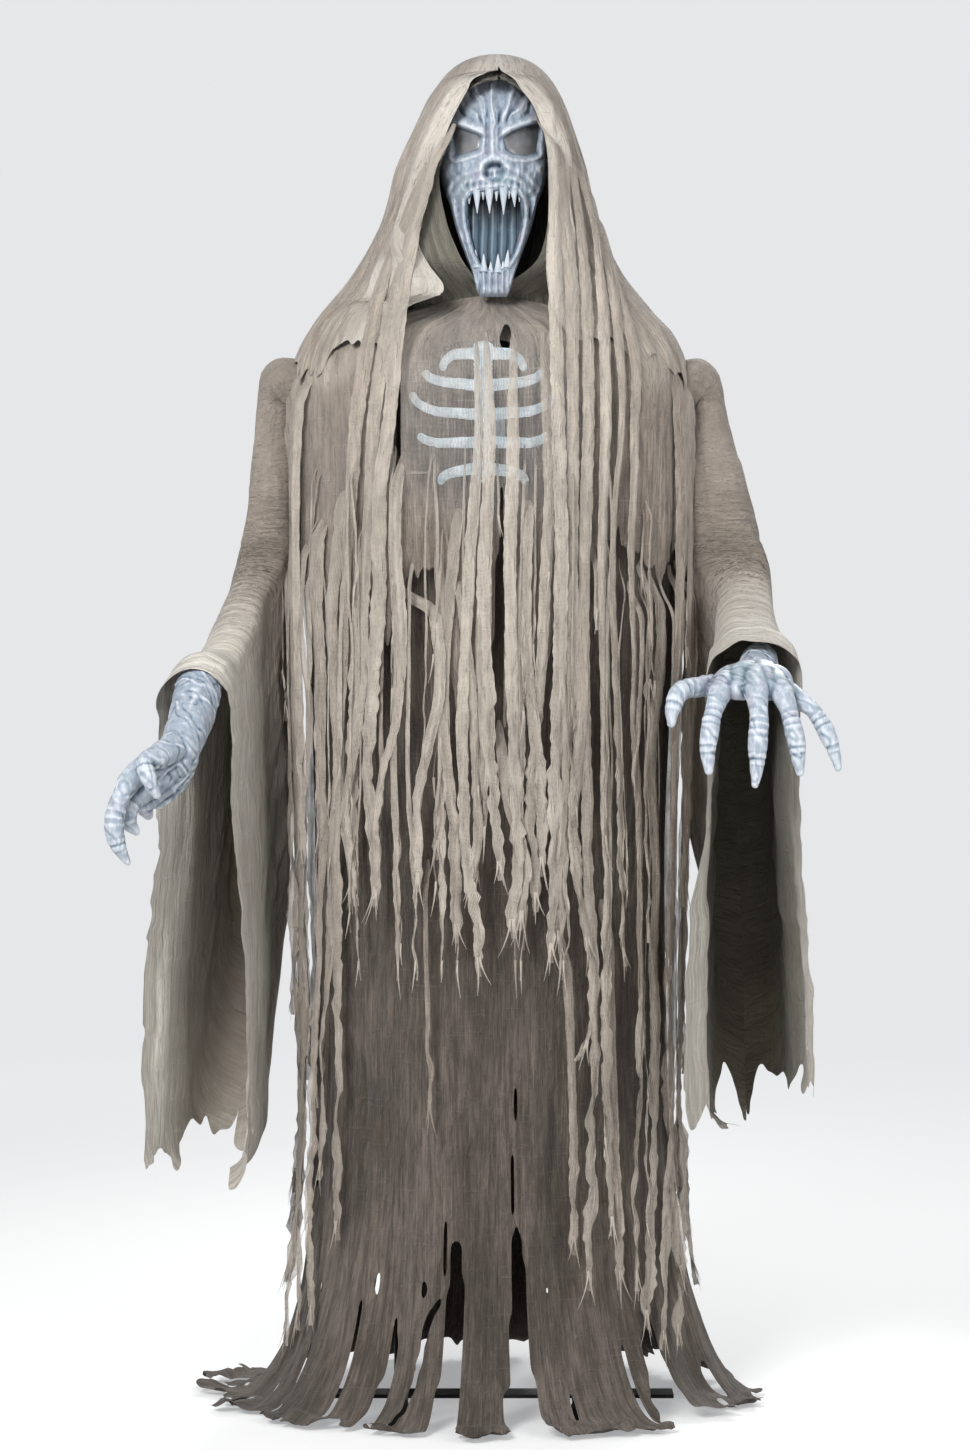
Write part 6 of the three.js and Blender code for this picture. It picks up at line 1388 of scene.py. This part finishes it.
def make_sleeve(name, seed):
    rows, columns = 150, 260
    grid, share = sleeve_grid(name, rows, columns)
    side = SIDES[name]
    if side < 0:
        grid = grid[:, ::-1]
    across = np.linspace(0, 1, columns)[None, :]
    along = np.linspace(0, 1, rows)[:, None] * 0.9
    normal = grid_normals(grid)
    away = smooth((share - 0.02) / 0.25)[:, None]
    slack = smooth(np.abs(across - 0.5) / 0.22)
    height = folds(along / 0.9, across * 1.3, seed, SLACK_FOLDS, False) * slack
    height = height + folds(across, along, seed + 7, SMALL_FOLDS, False)
    seam = np.minimum(across, 1 - across)
    grid = grid + normal * (height * (0.25 + 0.75 * away) * smooth(seam / 0.04))[..., None]
    torn = 0.045 * smooth(noise(along * 26, 0.3, seed + 20) * 2 - 0.6)
    lower = smooth((share - 0.55) / 0.1)[:, None]
    x, y, z = grid[..., 0], grid[..., 1], grid[..., 2]
    ragged = z.min() + RAGGED_RISE
    for wide, deep, high, step in RAGGED:
        ragged = ragged + high * noise(x / wide, y / deep, seed + step)
    holes = (noise(along * 30, across * 50, seed + 26) > 0.86) & (z < ragged + 0.16) & (lower > 0.5)
    rim = 1 - 0.012 - 0.02 * np.abs(noise(across * 26, 0.3, seed + 22)) \
        - 0.02 * np.abs(noise(across * 70, 0.6, seed + 23))
    kept = (seam >= torn * lower) & (z > ragged) & ~holes & (np.linspace(0, 1, rows)[:, None] < rim)
    tone = smooth(noise(along * 5, across * 7, seed + 30) * 0.5 + 0.1)
    tone = np.maximum(tone, 0.95 * smooth(1 - (share[:, None] - 0.42) / 0.25) + 0 * across)
    front = smooth((share[:, None] - 0.68) / 0.14)
    # Painted light on the inside: all of the left sleeve and the right sleeve's part toward the cuff keep the
    # outer tint; elsewhere the inside is painted shade
    marks = {"tone": tone, "lit": 0 * tone + (1 if side < 0 else 0.85 * front)}
    turned = {mark: value.T[::-1] for mark, value in marks.items()}
    grid = np.swapaxes(grid, 0, 1)[::-1]
    sleeve = cloth(name + "_sleeve_cloth", [patch(grid, False, hanging(kept).T[::-1][1:], turned)])
    sleeve.data.materials.append(CREAM)
    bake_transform(sleeve)
    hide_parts(name + "_sleeve")


# Mask, lenses and mouth, laid out on the photograph's columns and rows

FACE_MIDDLE = 493.5

# Row, half width of the face in pixels, depth of its front in metres
FACE_ROWS = [
    [74, 5, 0.088], [78, 15, 0.094], [84, 25, 0.101], [92, 34, 0.108], [104, 42.5, 0.119], [121, 49.5, 0.130],
    [140, 54, 0.1375], [166, 54.5, 0.142], [183, 51.5, 0.1455], [206, 43.5, 0.1445], [231, 37, 0.141],
    [254, 28.5, 0.139], [275, 21, 0.1385], [289, 17, 0.136], [297, 13.5, 0.131],
]

# How far back the face curves at a half width in pixels
FACE_CURVE = 0.050
FACE_CURVE_HALF = 52
MASK_WALL = 0.004
EYES = {
    "left": [(453, 126), (466, 131), (479, 137), (477, 149), (467, 152), (456, 155)],
    "right": [(503.5, 139), (512, 132), (524, 127), (539, 124), (536, 152), (526, 155), (515, 154),
              (506, 149)],
}
MOUTH = [(466, 201), (466, 213), (467.5, 226), (471, 241), (475, 253), (480, 263), (487, 269), (502, 269),
         (508, 263), (514, 253), (518.5, 241), (521.5, 226), (523, 213), (522, 200), (516, 192), (505, 189),
         (494, 191), (482, 191), (471, 194)]

# Fangs: column and row of the root and of the tip, and the root's radius in pixels
FANGS = [
    (477, 188, 477.2, 213.5, 3.4), (489, 185, 489.6, 213.5, 3.9), (503.5, 184, 503.6, 214.5, 3.9),
    (513.5, 186, 514.6, 207, 3.3), (469.5, 191, 469.2, 204, 2.3), (519.2, 190, 519.6, 202, 2.1),
    (483.2, 187, 483.2, 200, 2.2), (496.5, 186, 496.4, 201, 2.2), (509, 187, 509, 199, 2.0),
    (476.8, 268, 475.5, 250, 2.9), (483.6, 272, 483.7, 254, 3.2), (498, 273, 498, 254, 3.2),
    (506.8, 268, 508, 250, 3.0), (490.8, 273, 490.6, 262, 2.2), (502.8, 271, 503, 261, 1.9),
]
PIXEL = 1 / scale_at(-0.14)

# Fang: how much wider its root is than its radius in the table, and its tip's radius
FANG_WIDTH_SHARE = 1.4
FANG_TIP = 0.0005


def outline_distance(px, py, outline):
    """Distance in pixels to a closed outline, negative inside it"""
    nearest = np.full(np.broadcast(px, py).shape, 1e9)
    inside = np.zeros(nearest.shape, bool)
    for (ax, ay), (bx, by) in zip(outline, outline[1:] + outline[:1]):
        along = (px - ax) * (bx - ax) + (py - ay) * (by - ay)
        share = np.clip(along / ((bx - ax) ** 2 + (by - ay) ** 2), 0, 1)
        nearest = np.minimum(nearest, np.hypot(px - ax - share * (bx - ax), py - ay - share * (by - ay)))
        if ay != by:
            crossing = (ay > py) != (by > py)
            inside ^= crossing & (px < ax + (py - ay) * (bx - ax) / (by - ay))
    return np.where(inside, -nearest, nearest)


def eye_distance(px, py):
    """Distance in pixels to the nearer eye opening, negative inside it"""
    return np.minimum(outline_distance(px, py, EYES["left"]), outline_distance(px, py, EYES["right"]))


def forehead_relief(px, py, brow):
    """Furrows that fan out over the forehead from between the eyes"""
    dx = px - FACE_MIDDLE
    turn = np.arctan2(dx, 152 - py)
    reach = np.hypot(dx, py - 152)
    turn = turn + 0.07 * noise(reach / 13, turn * 4, 301) + 0.03 * noise(reach / 6, turn * 9, 302)
    strength = 0.75 + 0.5 * noise(turn * 5 + 9, reach / 26, 303)
    forehead = smooth((reach - 12) / 14) * smooth((-brow - 5) / 9)
    fine = np.cos(turn * 2 * math.pi / 0.12 + 2 * noise(reach / 11, turn * 3, 304))
    ridge = hill(px - 491.5 - 0.02 * (py - 100), 4.0 + 4 * smooth((125 - py) / 25))
    return 2.8 * np.cos(turn * 2 * math.pi / 0.27) * strength * forehead + 0.7 * fine * forehead \
        + 3.0 * ridge * smooth((160 - py) / 8) * smooth((py - 76) / 8)


def face_relief(px, py):
    """How far the moulded face stands out from its smooth curve, in pixels"""
    ax = np.abs(px - FACE_MIDDLE)
    mouth = outline_distance(px, py, MOUTH)
    eye = eye_distance(px, py)
    brow = py - (136.5 - 0.36 * ax)

    # Brow ridges, eye sockets and lower lids
    relief = 6.5 * np.where(brow < 0, hill(brow, 12), hill(brow, 5.5)) \
        * smooth((ax - 4) / 8) * smooth((56 - ax) / 9)
    relief -= 4.5 * smooth(1 - eye / 5.5) * smooth((brow + 3) / 3)
    relief += 2.2 * hill(eye - 6.5, 3.5) * smooth((py - 146) / 8)

    # Nose hollow with its rim and middle bone
    nose = np.hypot(px - 494.5, (py - 172) * 1.1) / 11.5
    relief += 3.0 * hill(nose - 1.4, 0.6) * smooth((176 - py) / 12) - 9.5 * smooth((1.2 - nose) / 0.55)
    relief += 2.5 * hill(px - 494.5, 3) * hill(py - 172, 9)
    relief += forehead_relief(px, py, brow)
    relief -= 3.0 * hill(ax - 6.5, 3.4) * smooth((158 - py) / 8) * smooth((py - 100) / 18)

    # Cheek bones and the hollows under them
    relief += 5.5 * hill(np.hypot((ax - 47) / 13, (py - 169) / 17), 1)
    relief -= 3.5 * hill(np.hypot((ax - 38) / 11, (py - 205) / 26), 1)

    # Folds round the mouth
    sides = smooth((mouth - 1) / 3) * smooth((272 - py) / 12)
    warped = mouth + 1.4 * noise(px / 15, py / 15, 305)
    for height, place, half in ((2.6, 3.5, 4.4), (2.8, 12.5, 4.8), (1.8, 20.5, 4.4)):
        relief += height * sides * hill(warped - place, half)

    # Ridges over the fangs' roots and down the chin
    roots = hill(py - 186, 9) * smooth((31 - ax) / 5)
    chin = smooth((py - 268) / 4) * smooth((297 - py) / 5) * smooth((17 - ax) / 4)
    relief += 1.7 * np.cos((px - 477) * 2 * math.pi / 6.4) * np.maximum(roots, chin)
    relief += 2.5 * hill(py - 290, 8) * smooth((15 - ax) / 5)

    # Fine wrinkles
    relief += smooth((mouth - 6) / 8) * smooth((py - 158) / 10) \
        * (1.5 * noise(px / 4.5, py / 17, 306) + 0.9 * noise(px / 2.4, py / 8, 307))
    relief += 0.8 * noise(px / 5, py / 6, 308) + 0.4 * noise(px / 2, py / 2.6, 309)
    return relief


def face_grid(rows, columns):
    """Image places over the face, how far across it they lie from -1 to 1, and the depth of its front"""
    py = np.linspace(FACE_ROWS[0][0], FACE_ROWS[-1][0], rows)[:, None]
    across = np.linspace(-1, 1, columns)[None, :]
    half, front = np.moveaxis(through(FACE_ROWS, py), -1, 0)
    px = FACE_MIDDLE + across * half
    return px + 0 * py, py + 0 * px, across + 0 * py, front


def face_points(px, py, front, out):
    """Points of the face at image places, standing out by a number of pixels"""
    y = -front + FACE_CURVE * ((px - FACE_MIDDLE) / FACE_CURVE_HALF) ** 2 - out * PIXEL
    return np.stack([x_at(px, y), y, z_at(py, y)], -1)


def blurred(values, steps):
    """A grid of numbers averaged with their neighbours"""
    for _ in range(steps):
        padded = np.pad(values, 1, mode="edge")
        beside = padded[:-2, 1:-1] + padded[2:, 1:-1] + padded[1:-1, :-2] + padded[1:-1, 2:]
        values = (beside + values * 2) / 6
    return values


def thicken(piece, thickness):
    """Gives a sheet a wall behind it"""
    solid = piece.modifiers.new("wall", "SOLIDIFY")
    solid.thickness = thickness
    solid.offset = -1
    apply_modifiers(piece)


def make_fang(root_px, root_py, tip_px, tip_py, radius):
    """One fang from its root on the jaw to its tip"""
    front = through(FACE_ROWS, [root_py])[0][1]
    root_y = -front + FACE_CURVE * ((root_px - FACE_MIDDLE) / FACE_CURVE_HALF) ** 2 + 0.0005
    root = Vector((x_at(root_px, root_y), root_y, z_at(root_py, root_y)))
    tip_y = root_y + (0.004 if tip_py > root_py else 0.001)
    tip = Vector((x_at(tip_px, tip_y), tip_y, z_at(tip_py, tip_y)))
    bpy.ops.mesh.primitive_cone_add(
        vertices=18, radius1=FANG_WIDTH_SHARE * radius * PIXEL, radius2=FANG_TIP, depth=(tip - root).length,
        location=(root + tip) / 2, rotation=(tip - root).to_track_quat("Z", "Y").to_euler())
    fang = bpy.context.object
    bpy.ops.object.transform_apply(location=True, rotation=True, scale=True)
    bpy.ops.object.mode_set(mode="EDIT")
    bpy.ops.mesh.select_all(action="SELECT")
    bpy.ops.mesh.bevel(offset=0.0004, segments=2, affect="EDGES", clamp_overlap=True)
    bpy.ops.object.mode_set(mode="OBJECT")
    bpy.ops.object.shade_smooth()
    # Painted highlight toward the tip and painted shade toward the root, through the cavity mark
    mark = fang.data.attributes.new("cavity", "FLOAT", "POINT")
    for vertex in fang.data.vertices:
        share = (vertex.co - tip).length / (root - tip).length
        mark.data[vertex.index].value = 0.12 + 0.5 * max(0.0, share - 0.55)
    return fang


def make_mask():
    px, py, across, front = face_grid(300, 150)
    relief = face_relief(px, py)
    rim = smooth((np.abs(across) - 0.93) / 0.07) * 7 + smooth((80 - py) / 6) * 5 + smooth((py - 293) / 4) * 4
    points = face_points(px, py, front, relief - rim + 1.5)
    mouth = outline_distance(px, py, MOUTH)
    eye = eye_distance(px, py)
    # Painted shade: the cavity mark darkens the hollows of the relief and the rims of the eye and mouth
    # openings
    cavity = np.clip((blurred(relief, 60) - relief) / 4.2, -1, 1) * 0.5 + 0.48
    cavity = np.maximum(cavity, 0.95 * smooth(1 - np.minimum(eye, mouth) / 3.2))
    shown = (mouth > 0) & (eye > 0)
    mask = cloth("ghoul_mask_moulding", [patch(points, False, shown, {"cavity": cavity}, soften=4)])
    thicken(mask, MASK_WALL)
    mask = joined("ghoul_mask_moulding", [mask] + [make_fang(*fang) for fang in FANGS])
    mask.data.materials.clear()
    mask.data.materials.append(MOULDING)
    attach(mask, "torso")
    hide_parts("ghoul_mask")


def make_lens(side):
    outline = EYES[side]
    columns, rows = [p[0] for p in outline], [p[1] for p in outline]
    px, py = np.meshgrid(np.linspace(min(columns) - 3, max(columns) + 3, 40),
                         np.linspace(min(rows) - 3, max(rows) + 3, 34))
    front = through(FACE_ROWS, py)[..., 1]
    middle_x, middle_y = sum(columns) / len(columns), sum(rows) / len(rows)
    dome = 1.6 * smooth(1.25 - np.hypot((px - middle_x) / 22, (py - middle_y) / 20))
    points = face_points(px, py, front, dome - 4.2)
    lens = cloth(side + "_lens", [patch(points)])
    thicken(lens, 0.002)
    lens.data.materials.append(LENS)
    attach(lens, "torso")
    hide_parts(side + "_eye_lens")


def make_mouth():
    px, py = np.meshgrid(np.linspace(459, 530, 170), np.linspace(182, 276, 120))
    ridge = np.abs(np.cos((px - FACE_MIDDLE + 0.8 * noise(py / 12, px / 40, 311)) * math.pi / 9.5)) ** 0.7
    depth = 0.112 + 0.010 * smooth((py - 190) / 75) + 0.006 * np.abs((px - FACE_MIDDLE) / 34) ** 3
    y = -depth - 0.0038 * ridge
    points = np.stack([x_at(px, y), y, z_at(py, y)], -1)
    shown = outline_distance(px, py, MOUTH) < 5
    # The grooves between the ridges are marked for painted shade
    panel = cloth("mouth_ridges", [patch(points, False, shown, {"cavity": 1 - ridge})])
    thicken(panel, 0.003)
    panel.data.materials.append(THROAT)
    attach(panel, "torso")
    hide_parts("mouth_panel")


# Hands: column, row and depth along each bone from the wrist, and the flesh's radius in metres

HANDS = {
    "right": {
        "forearm": [(759, 662, -0.262, 0.0245), (758, 672, -0.295, 0.0255), (757, 682, -0.330, 0.0255)],
        "back_a": [(748, 680, -0.335, 0.0230), (728, 680, -0.375, 0.0170), (714, 690, -0.402, 0.0120)],
        "back_b": [(754, 678, -0.335, 0.0240), (743, 676, -0.380, 0.0190), (737, 690, -0.414, 0.0135)],
        "back_c": [(760, 678, -0.335, 0.0240), (764, 676, -0.380, 0.0185), (769, 690, -0.415, 0.0135)],
        "back_d": [(764, 680, -0.335, 0.0220), (779, 681, -0.372, 0.0165), (789, 696, -0.402, 0.0120)],
        "thumb": [(752, 684, -0.335, 0.020), (722, 686, -0.365, 0.0165), (699, 687, -0.398, 0.0125),
                  (680, 692, -0.420, 0.0128), (673, 708, -0.430, 0.0100), (671, 724, -0.433, 0.0055)],
        "index": [(756, 682, -0.335, 0.020), (736, 680, -0.375, 0.0170), (722, 690, -0.412, 0.0150),
                  (713, 714, -0.440, 0.0112), (709, 736, -0.449, 0.0118), (708, 756, -0.452, 0.0092),
                  (709, 771, -0.454, 0.0055)],
        "middle": [(757, 682, -0.335, 0.022), (754, 678, -0.380, 0.0185), (756, 690, -0.425, 0.0155),
                   (759, 714, -0.452, 0.0115), (758, 738, -0.462, 0.0124), (757, 762, -0.465, 0.0098),
                   (755, 784, -0.467, 0.0055)],
        "ring": [(758, 682, -0.335, 0.020), (770, 680, -0.378, 0.0170), (781, 692, -0.418, 0.0148),
                 (790, 715, -0.443, 0.0110), (795, 736, -0.452, 0.0120), (798, 756, -0.455, 0.0094),
                 (800, 772, -0.457, 0.0055)],
        "little": [(760, 684, -0.335, 0.018), (778, 686, -0.368, 0.0155), (795, 697, -0.398, 0.0125),
                   (814, 712, -0.420, 0.0102), (826, 731, -0.430, 0.0108), (834, 751, -0.433, 0.0084),
                   (838, 768, -0.435, 0.0050)],
    },
    "left": {
        "forearm": [(198, 690, -0.205, 0.0310), (190, 722, -0.255, 0.0290), (179, 750, -0.295, 0.0265)],
        "thumb": [(176, 748, -0.300, 0.022), (158, 757, -0.335, 0.0165), (145, 764, -0.358, 0.0118),
                  (149, 780, -0.366, 0.0105), (157, 795, -0.364, 0.0055)],
        "index": [(176, 752, -0.298, 0.024), (152, 766, -0.322, 0.0200), (133, 778, -0.342, 0.0150),
                  (120, 799, -0.358, 0.0120), (114, 824, -0.364, 0.0132), (118, 845, -0.362, 0.0105),
                  (128, 863, -0.358, 0.0040)],
        "middle": [(178, 756, -0.295, 0.024), (158, 776, -0.308, 0.0210), (142, 792, -0.322, 0.0150),
                   (131, 806, -0.334, 0.0115), (128, 820, -0.336, 0.0112), (136, 832, -0.333, 0.0050)],
        "ring": [(180, 758, -0.290, 0.024), (166, 778, -0.293, 0.0210), (152, 795, -0.300, 0.0150),
                 (144, 807, -0.306, 0.0110), (148, 815, -0.298, 0.0070)],
        "little": [(182, 758, -0.285, 0.022), (175, 778, -0.278, 0.0180), (165, 794, -0.280, 0.0130),
                   (158, 803, -0.284, 0.0090)],
    },
}


# Gap between the balls along a bone, as a share of its thinnest radius and at the least in metres
BALL_GAP_SHARE = 0.35
BALL_GAP = 0.0028


def bone(rows):
    """Points and radii along a bone, close enough for balls to run into each other, and its length"""
    places = np.array([(x_at(px, y), y, z_at(py, y), r) for px, py, y, r in rows])
    length = run_along(places[:, :3])
    gap = places[:, 3].min() * BALL_GAP_SHARE
    count = max(6, int(length[-1] / max(gap, BALL_GAP)))
    return through(np.column_stack([length, places]), np.linspace(0, length[-1], count)), length[-1]


def numbers_of(items, name, width, kind=np.float32):
    """What all the items of a mesh hold under a name, as rows of numbers"""
    values = np.empty(len(items) * width, kind)
    items.foreach_get(name, values)
    return values.reshape(-1, width)


def spread_values(values, ends, steps):
    """Averages numbers with their neighbours' along the edges of a mesh"""
    degree = np.bincount(ends.ravel(), minlength=len(values))[:, None]
    values = values.reshape(len(values), -1)
    for _ in range(steps):
        total = np.zeros_like(values)
        np.add.at(total, ends[:, 0], values[ends[:, 1]])
        np.add.at(total, ends[:, 1], values[ends[:, 0]])
        values = (values + total / degree) / 2
    return values


def solid_noise(points, size, seed):
    """Smooth noise of places in space"""
    a, b, c = points[:, 0] / size, points[:, 1] / size, points[:, 2] / size
    return (noise(a + 0.6 * c, b - 0.3 * c, seed) + noise(b + 7.1, c + 0.5 * a, seed + 1)
            + noise(c - 3.7, a + 0.4 * b, seed + 2)) / 1.6


# Relief of the skin in metres: veins, wrinkles, lumps, and the folds over the knuckles
VEIN_HEIGHT = 0.0011
WRINKLE_DEPTH = 0.0008
LUMP_HEIGHT = 0.0005
FOLD_DEPTH = 0.0007
FOLD_SPACING = 0.0042


def crease_skin(piece, bones, seed):
    """Veins, cords and knuckle folds of a hand; notes how deep each place lies, for painted shade in its
    creases and hollows
    """
    mesh = piece.data
    points = numbers_of(mesh.vertices, "co", 3).astype(float)
    ends = numbers_of(mesh.edges, "vertices", 2, np.int32)
    share = np.zeros(len(points))
    length = np.zeros(len(points))
    nearest = np.full(len(points), 1e9)
    for places, whole in bones:
        for i, (x, y, z, radius) in enumerate(places):
            away = np.linalg.norm(points - (x, y, z), axis=1) - radius
            closer = away < nearest
            nearest[closer] = away[closer]
            share[closer] = i / (len(places) - 1)
            length[closer] = whole
    finger = smooth((length - 0.05) / 0.03)
    fold = finger * (hill(share - 0.68, 0.10) + hill(share - 0.86, 0.07)) \
        * np.cos(share * length * 2 * math.pi / FOLD_SPACING)
    warped = points + 0.006 * np.stack([solid_noise(points, 0.02, seed + k) for k in (10, 20, 30)], 1)
    veins = smooth(1 - np.abs(solid_noise(warped, 0.022, seed)) / 0.26) * smooth((0.62 - share) / 0.2)
    wrinkles = smooth(1 - np.abs(solid_noise(warped, 0.013, seed + 4)) / 0.34) \
        * smooth((solid_noise(points, 0.03, seed + 5) + 0.5) / 0.5)
    lumps = solid_noise(points, 0.009, seed + 7)
    height = VEIN_HEIGHT * veins - WRINKLE_DEPTH * wrinkles + LUMP_HEIGHT * lumps \
        - FOLD_DEPTH * np.clip(fold, -0.3, 1)
    height = spread_values(height, ends, 1)[:, 0]
    points += numbers_of(mesh.vertex_normals, "vector", 3).astype(float) * height[:, None]
    mesh.vertices.foreach_set("co", points.astype(np.float32).ravel())
    mesh.update()
    # Painted shade: the cavity mark rises in the creases and hollows, where the moulding darkens
    level = spread_values(height, ends, 12)[:, 0]
    normals = numbers_of(mesh.vertex_normals, "vector", 3).astype(float)
    hollow = np.sum((spread_values(points, ends, 40) - points) * normals, axis=1)
    cavity = 0.55 + (level - height) / 0.0022 + hollow / 0.0042
    mark = mesh.attributes.new("cavity", "FLOAT", "POINT")
    mark.data.foreach_set("value", np.clip(cavity, 0, 1).astype(np.float32))


def make_hand(name, seed):
    balls, bones = [], []
    for label, rows in HANDS[name].items():
        places, length = bone(rows)
        balls += [ball((x, y, z), 20, 12, radius=radius) for x, y, z, radius in places]
        bones.append((places, 0 if label == "forearm" else length))
    hand = melted(name + "_hand_skin", balls, 0.0016, 7)
    crease_skin(hand, bones, seed)
    paint(hand, MOULDING)
    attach(hand, name + "_hand")
    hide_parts(name + "_hand")


# Rib plate: five pairs of ribs and a breastbone, laid out on the photograph's columns and rows

RIB_MIDDLE = 483
RIBS = [
    # rows of the middle, the front bend and the outer end, and how many columns out the end lies
    (353, 354, 366, 40), (386, 382, 374, 57), (415, 411, 396, 70), (442, 443, 437, 62), (467, 472, 480, 42),
]
RIB_FRONT = 0.134
RIB_BALLS = 26
BREASTBONE = (346, 478)
BREASTBONE_BALLS = 30


def rib_path(side, middle, bend, end, reach):
    """Points along one rib from the breastbone to its outer end"""
    front = RIB_FRONT - 0.022 * smooth((400 - middle) / 60)
    rows = [(0, middle, front), (0.35, (middle + bend) / 2, front), (0.68, bend, front - 0.006),
            (0.92, (bend + end) / 2, front - 0.022), (1.0, end, front - 0.045)]
    return [(x_at(RIB_MIDDLE + side * reach * share, -depth), -depth, z_at(row, -depth))
            for share, row, depth in rows]


def make_ribs():
    balls = []
    for middle, bend, end, reach in RIBS:
        for side in (-1, 1):
            path = np.array(rib_path(side, middle, bend, end, reach))
            table = np.column_stack([np.linspace(0, 1, len(path)), path])
            for x, y, z in through(table, np.linspace(0, 1, RIB_BALLS)):
                balls.append(ball((x, y, z), 14, 10, scale=(0.0056, 0.0046, 0.0088 - 0.0030 * abs(x) / 0.1)))
    top, foot = BREASTBONE
    for py in np.linspace(top, foot, BREASTBONE_BALLS):
        y = -RIB_FRONT + 0.022 * smooth((400 - py) / 60)
        wide = 0.014 - 0.005 * (py - top) / (foot - top)
        balls.append(ball((x_at(RIB_MIDDLE, y), y, z_at(py, y)), 14, 10, scale=(wide, 0.0045, 0.0070)))
    ribs = melted("rib_moulding", balls, 0.0015, 6)
    paint(ribs, RIB_GLOW)
    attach(ribs, "torso")
    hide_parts("rib_plate")


make_robe()
make_cape()
make_strands()
make_hood()
make_sleeve("right", 1100)
make_sleeve("left", 1200)
make_mask()
make_lens("left")
make_lens("right")
make_mouth()
make_hand("right", 401)
make_hand("left", 451)
make_ribs()
finish_nodes()
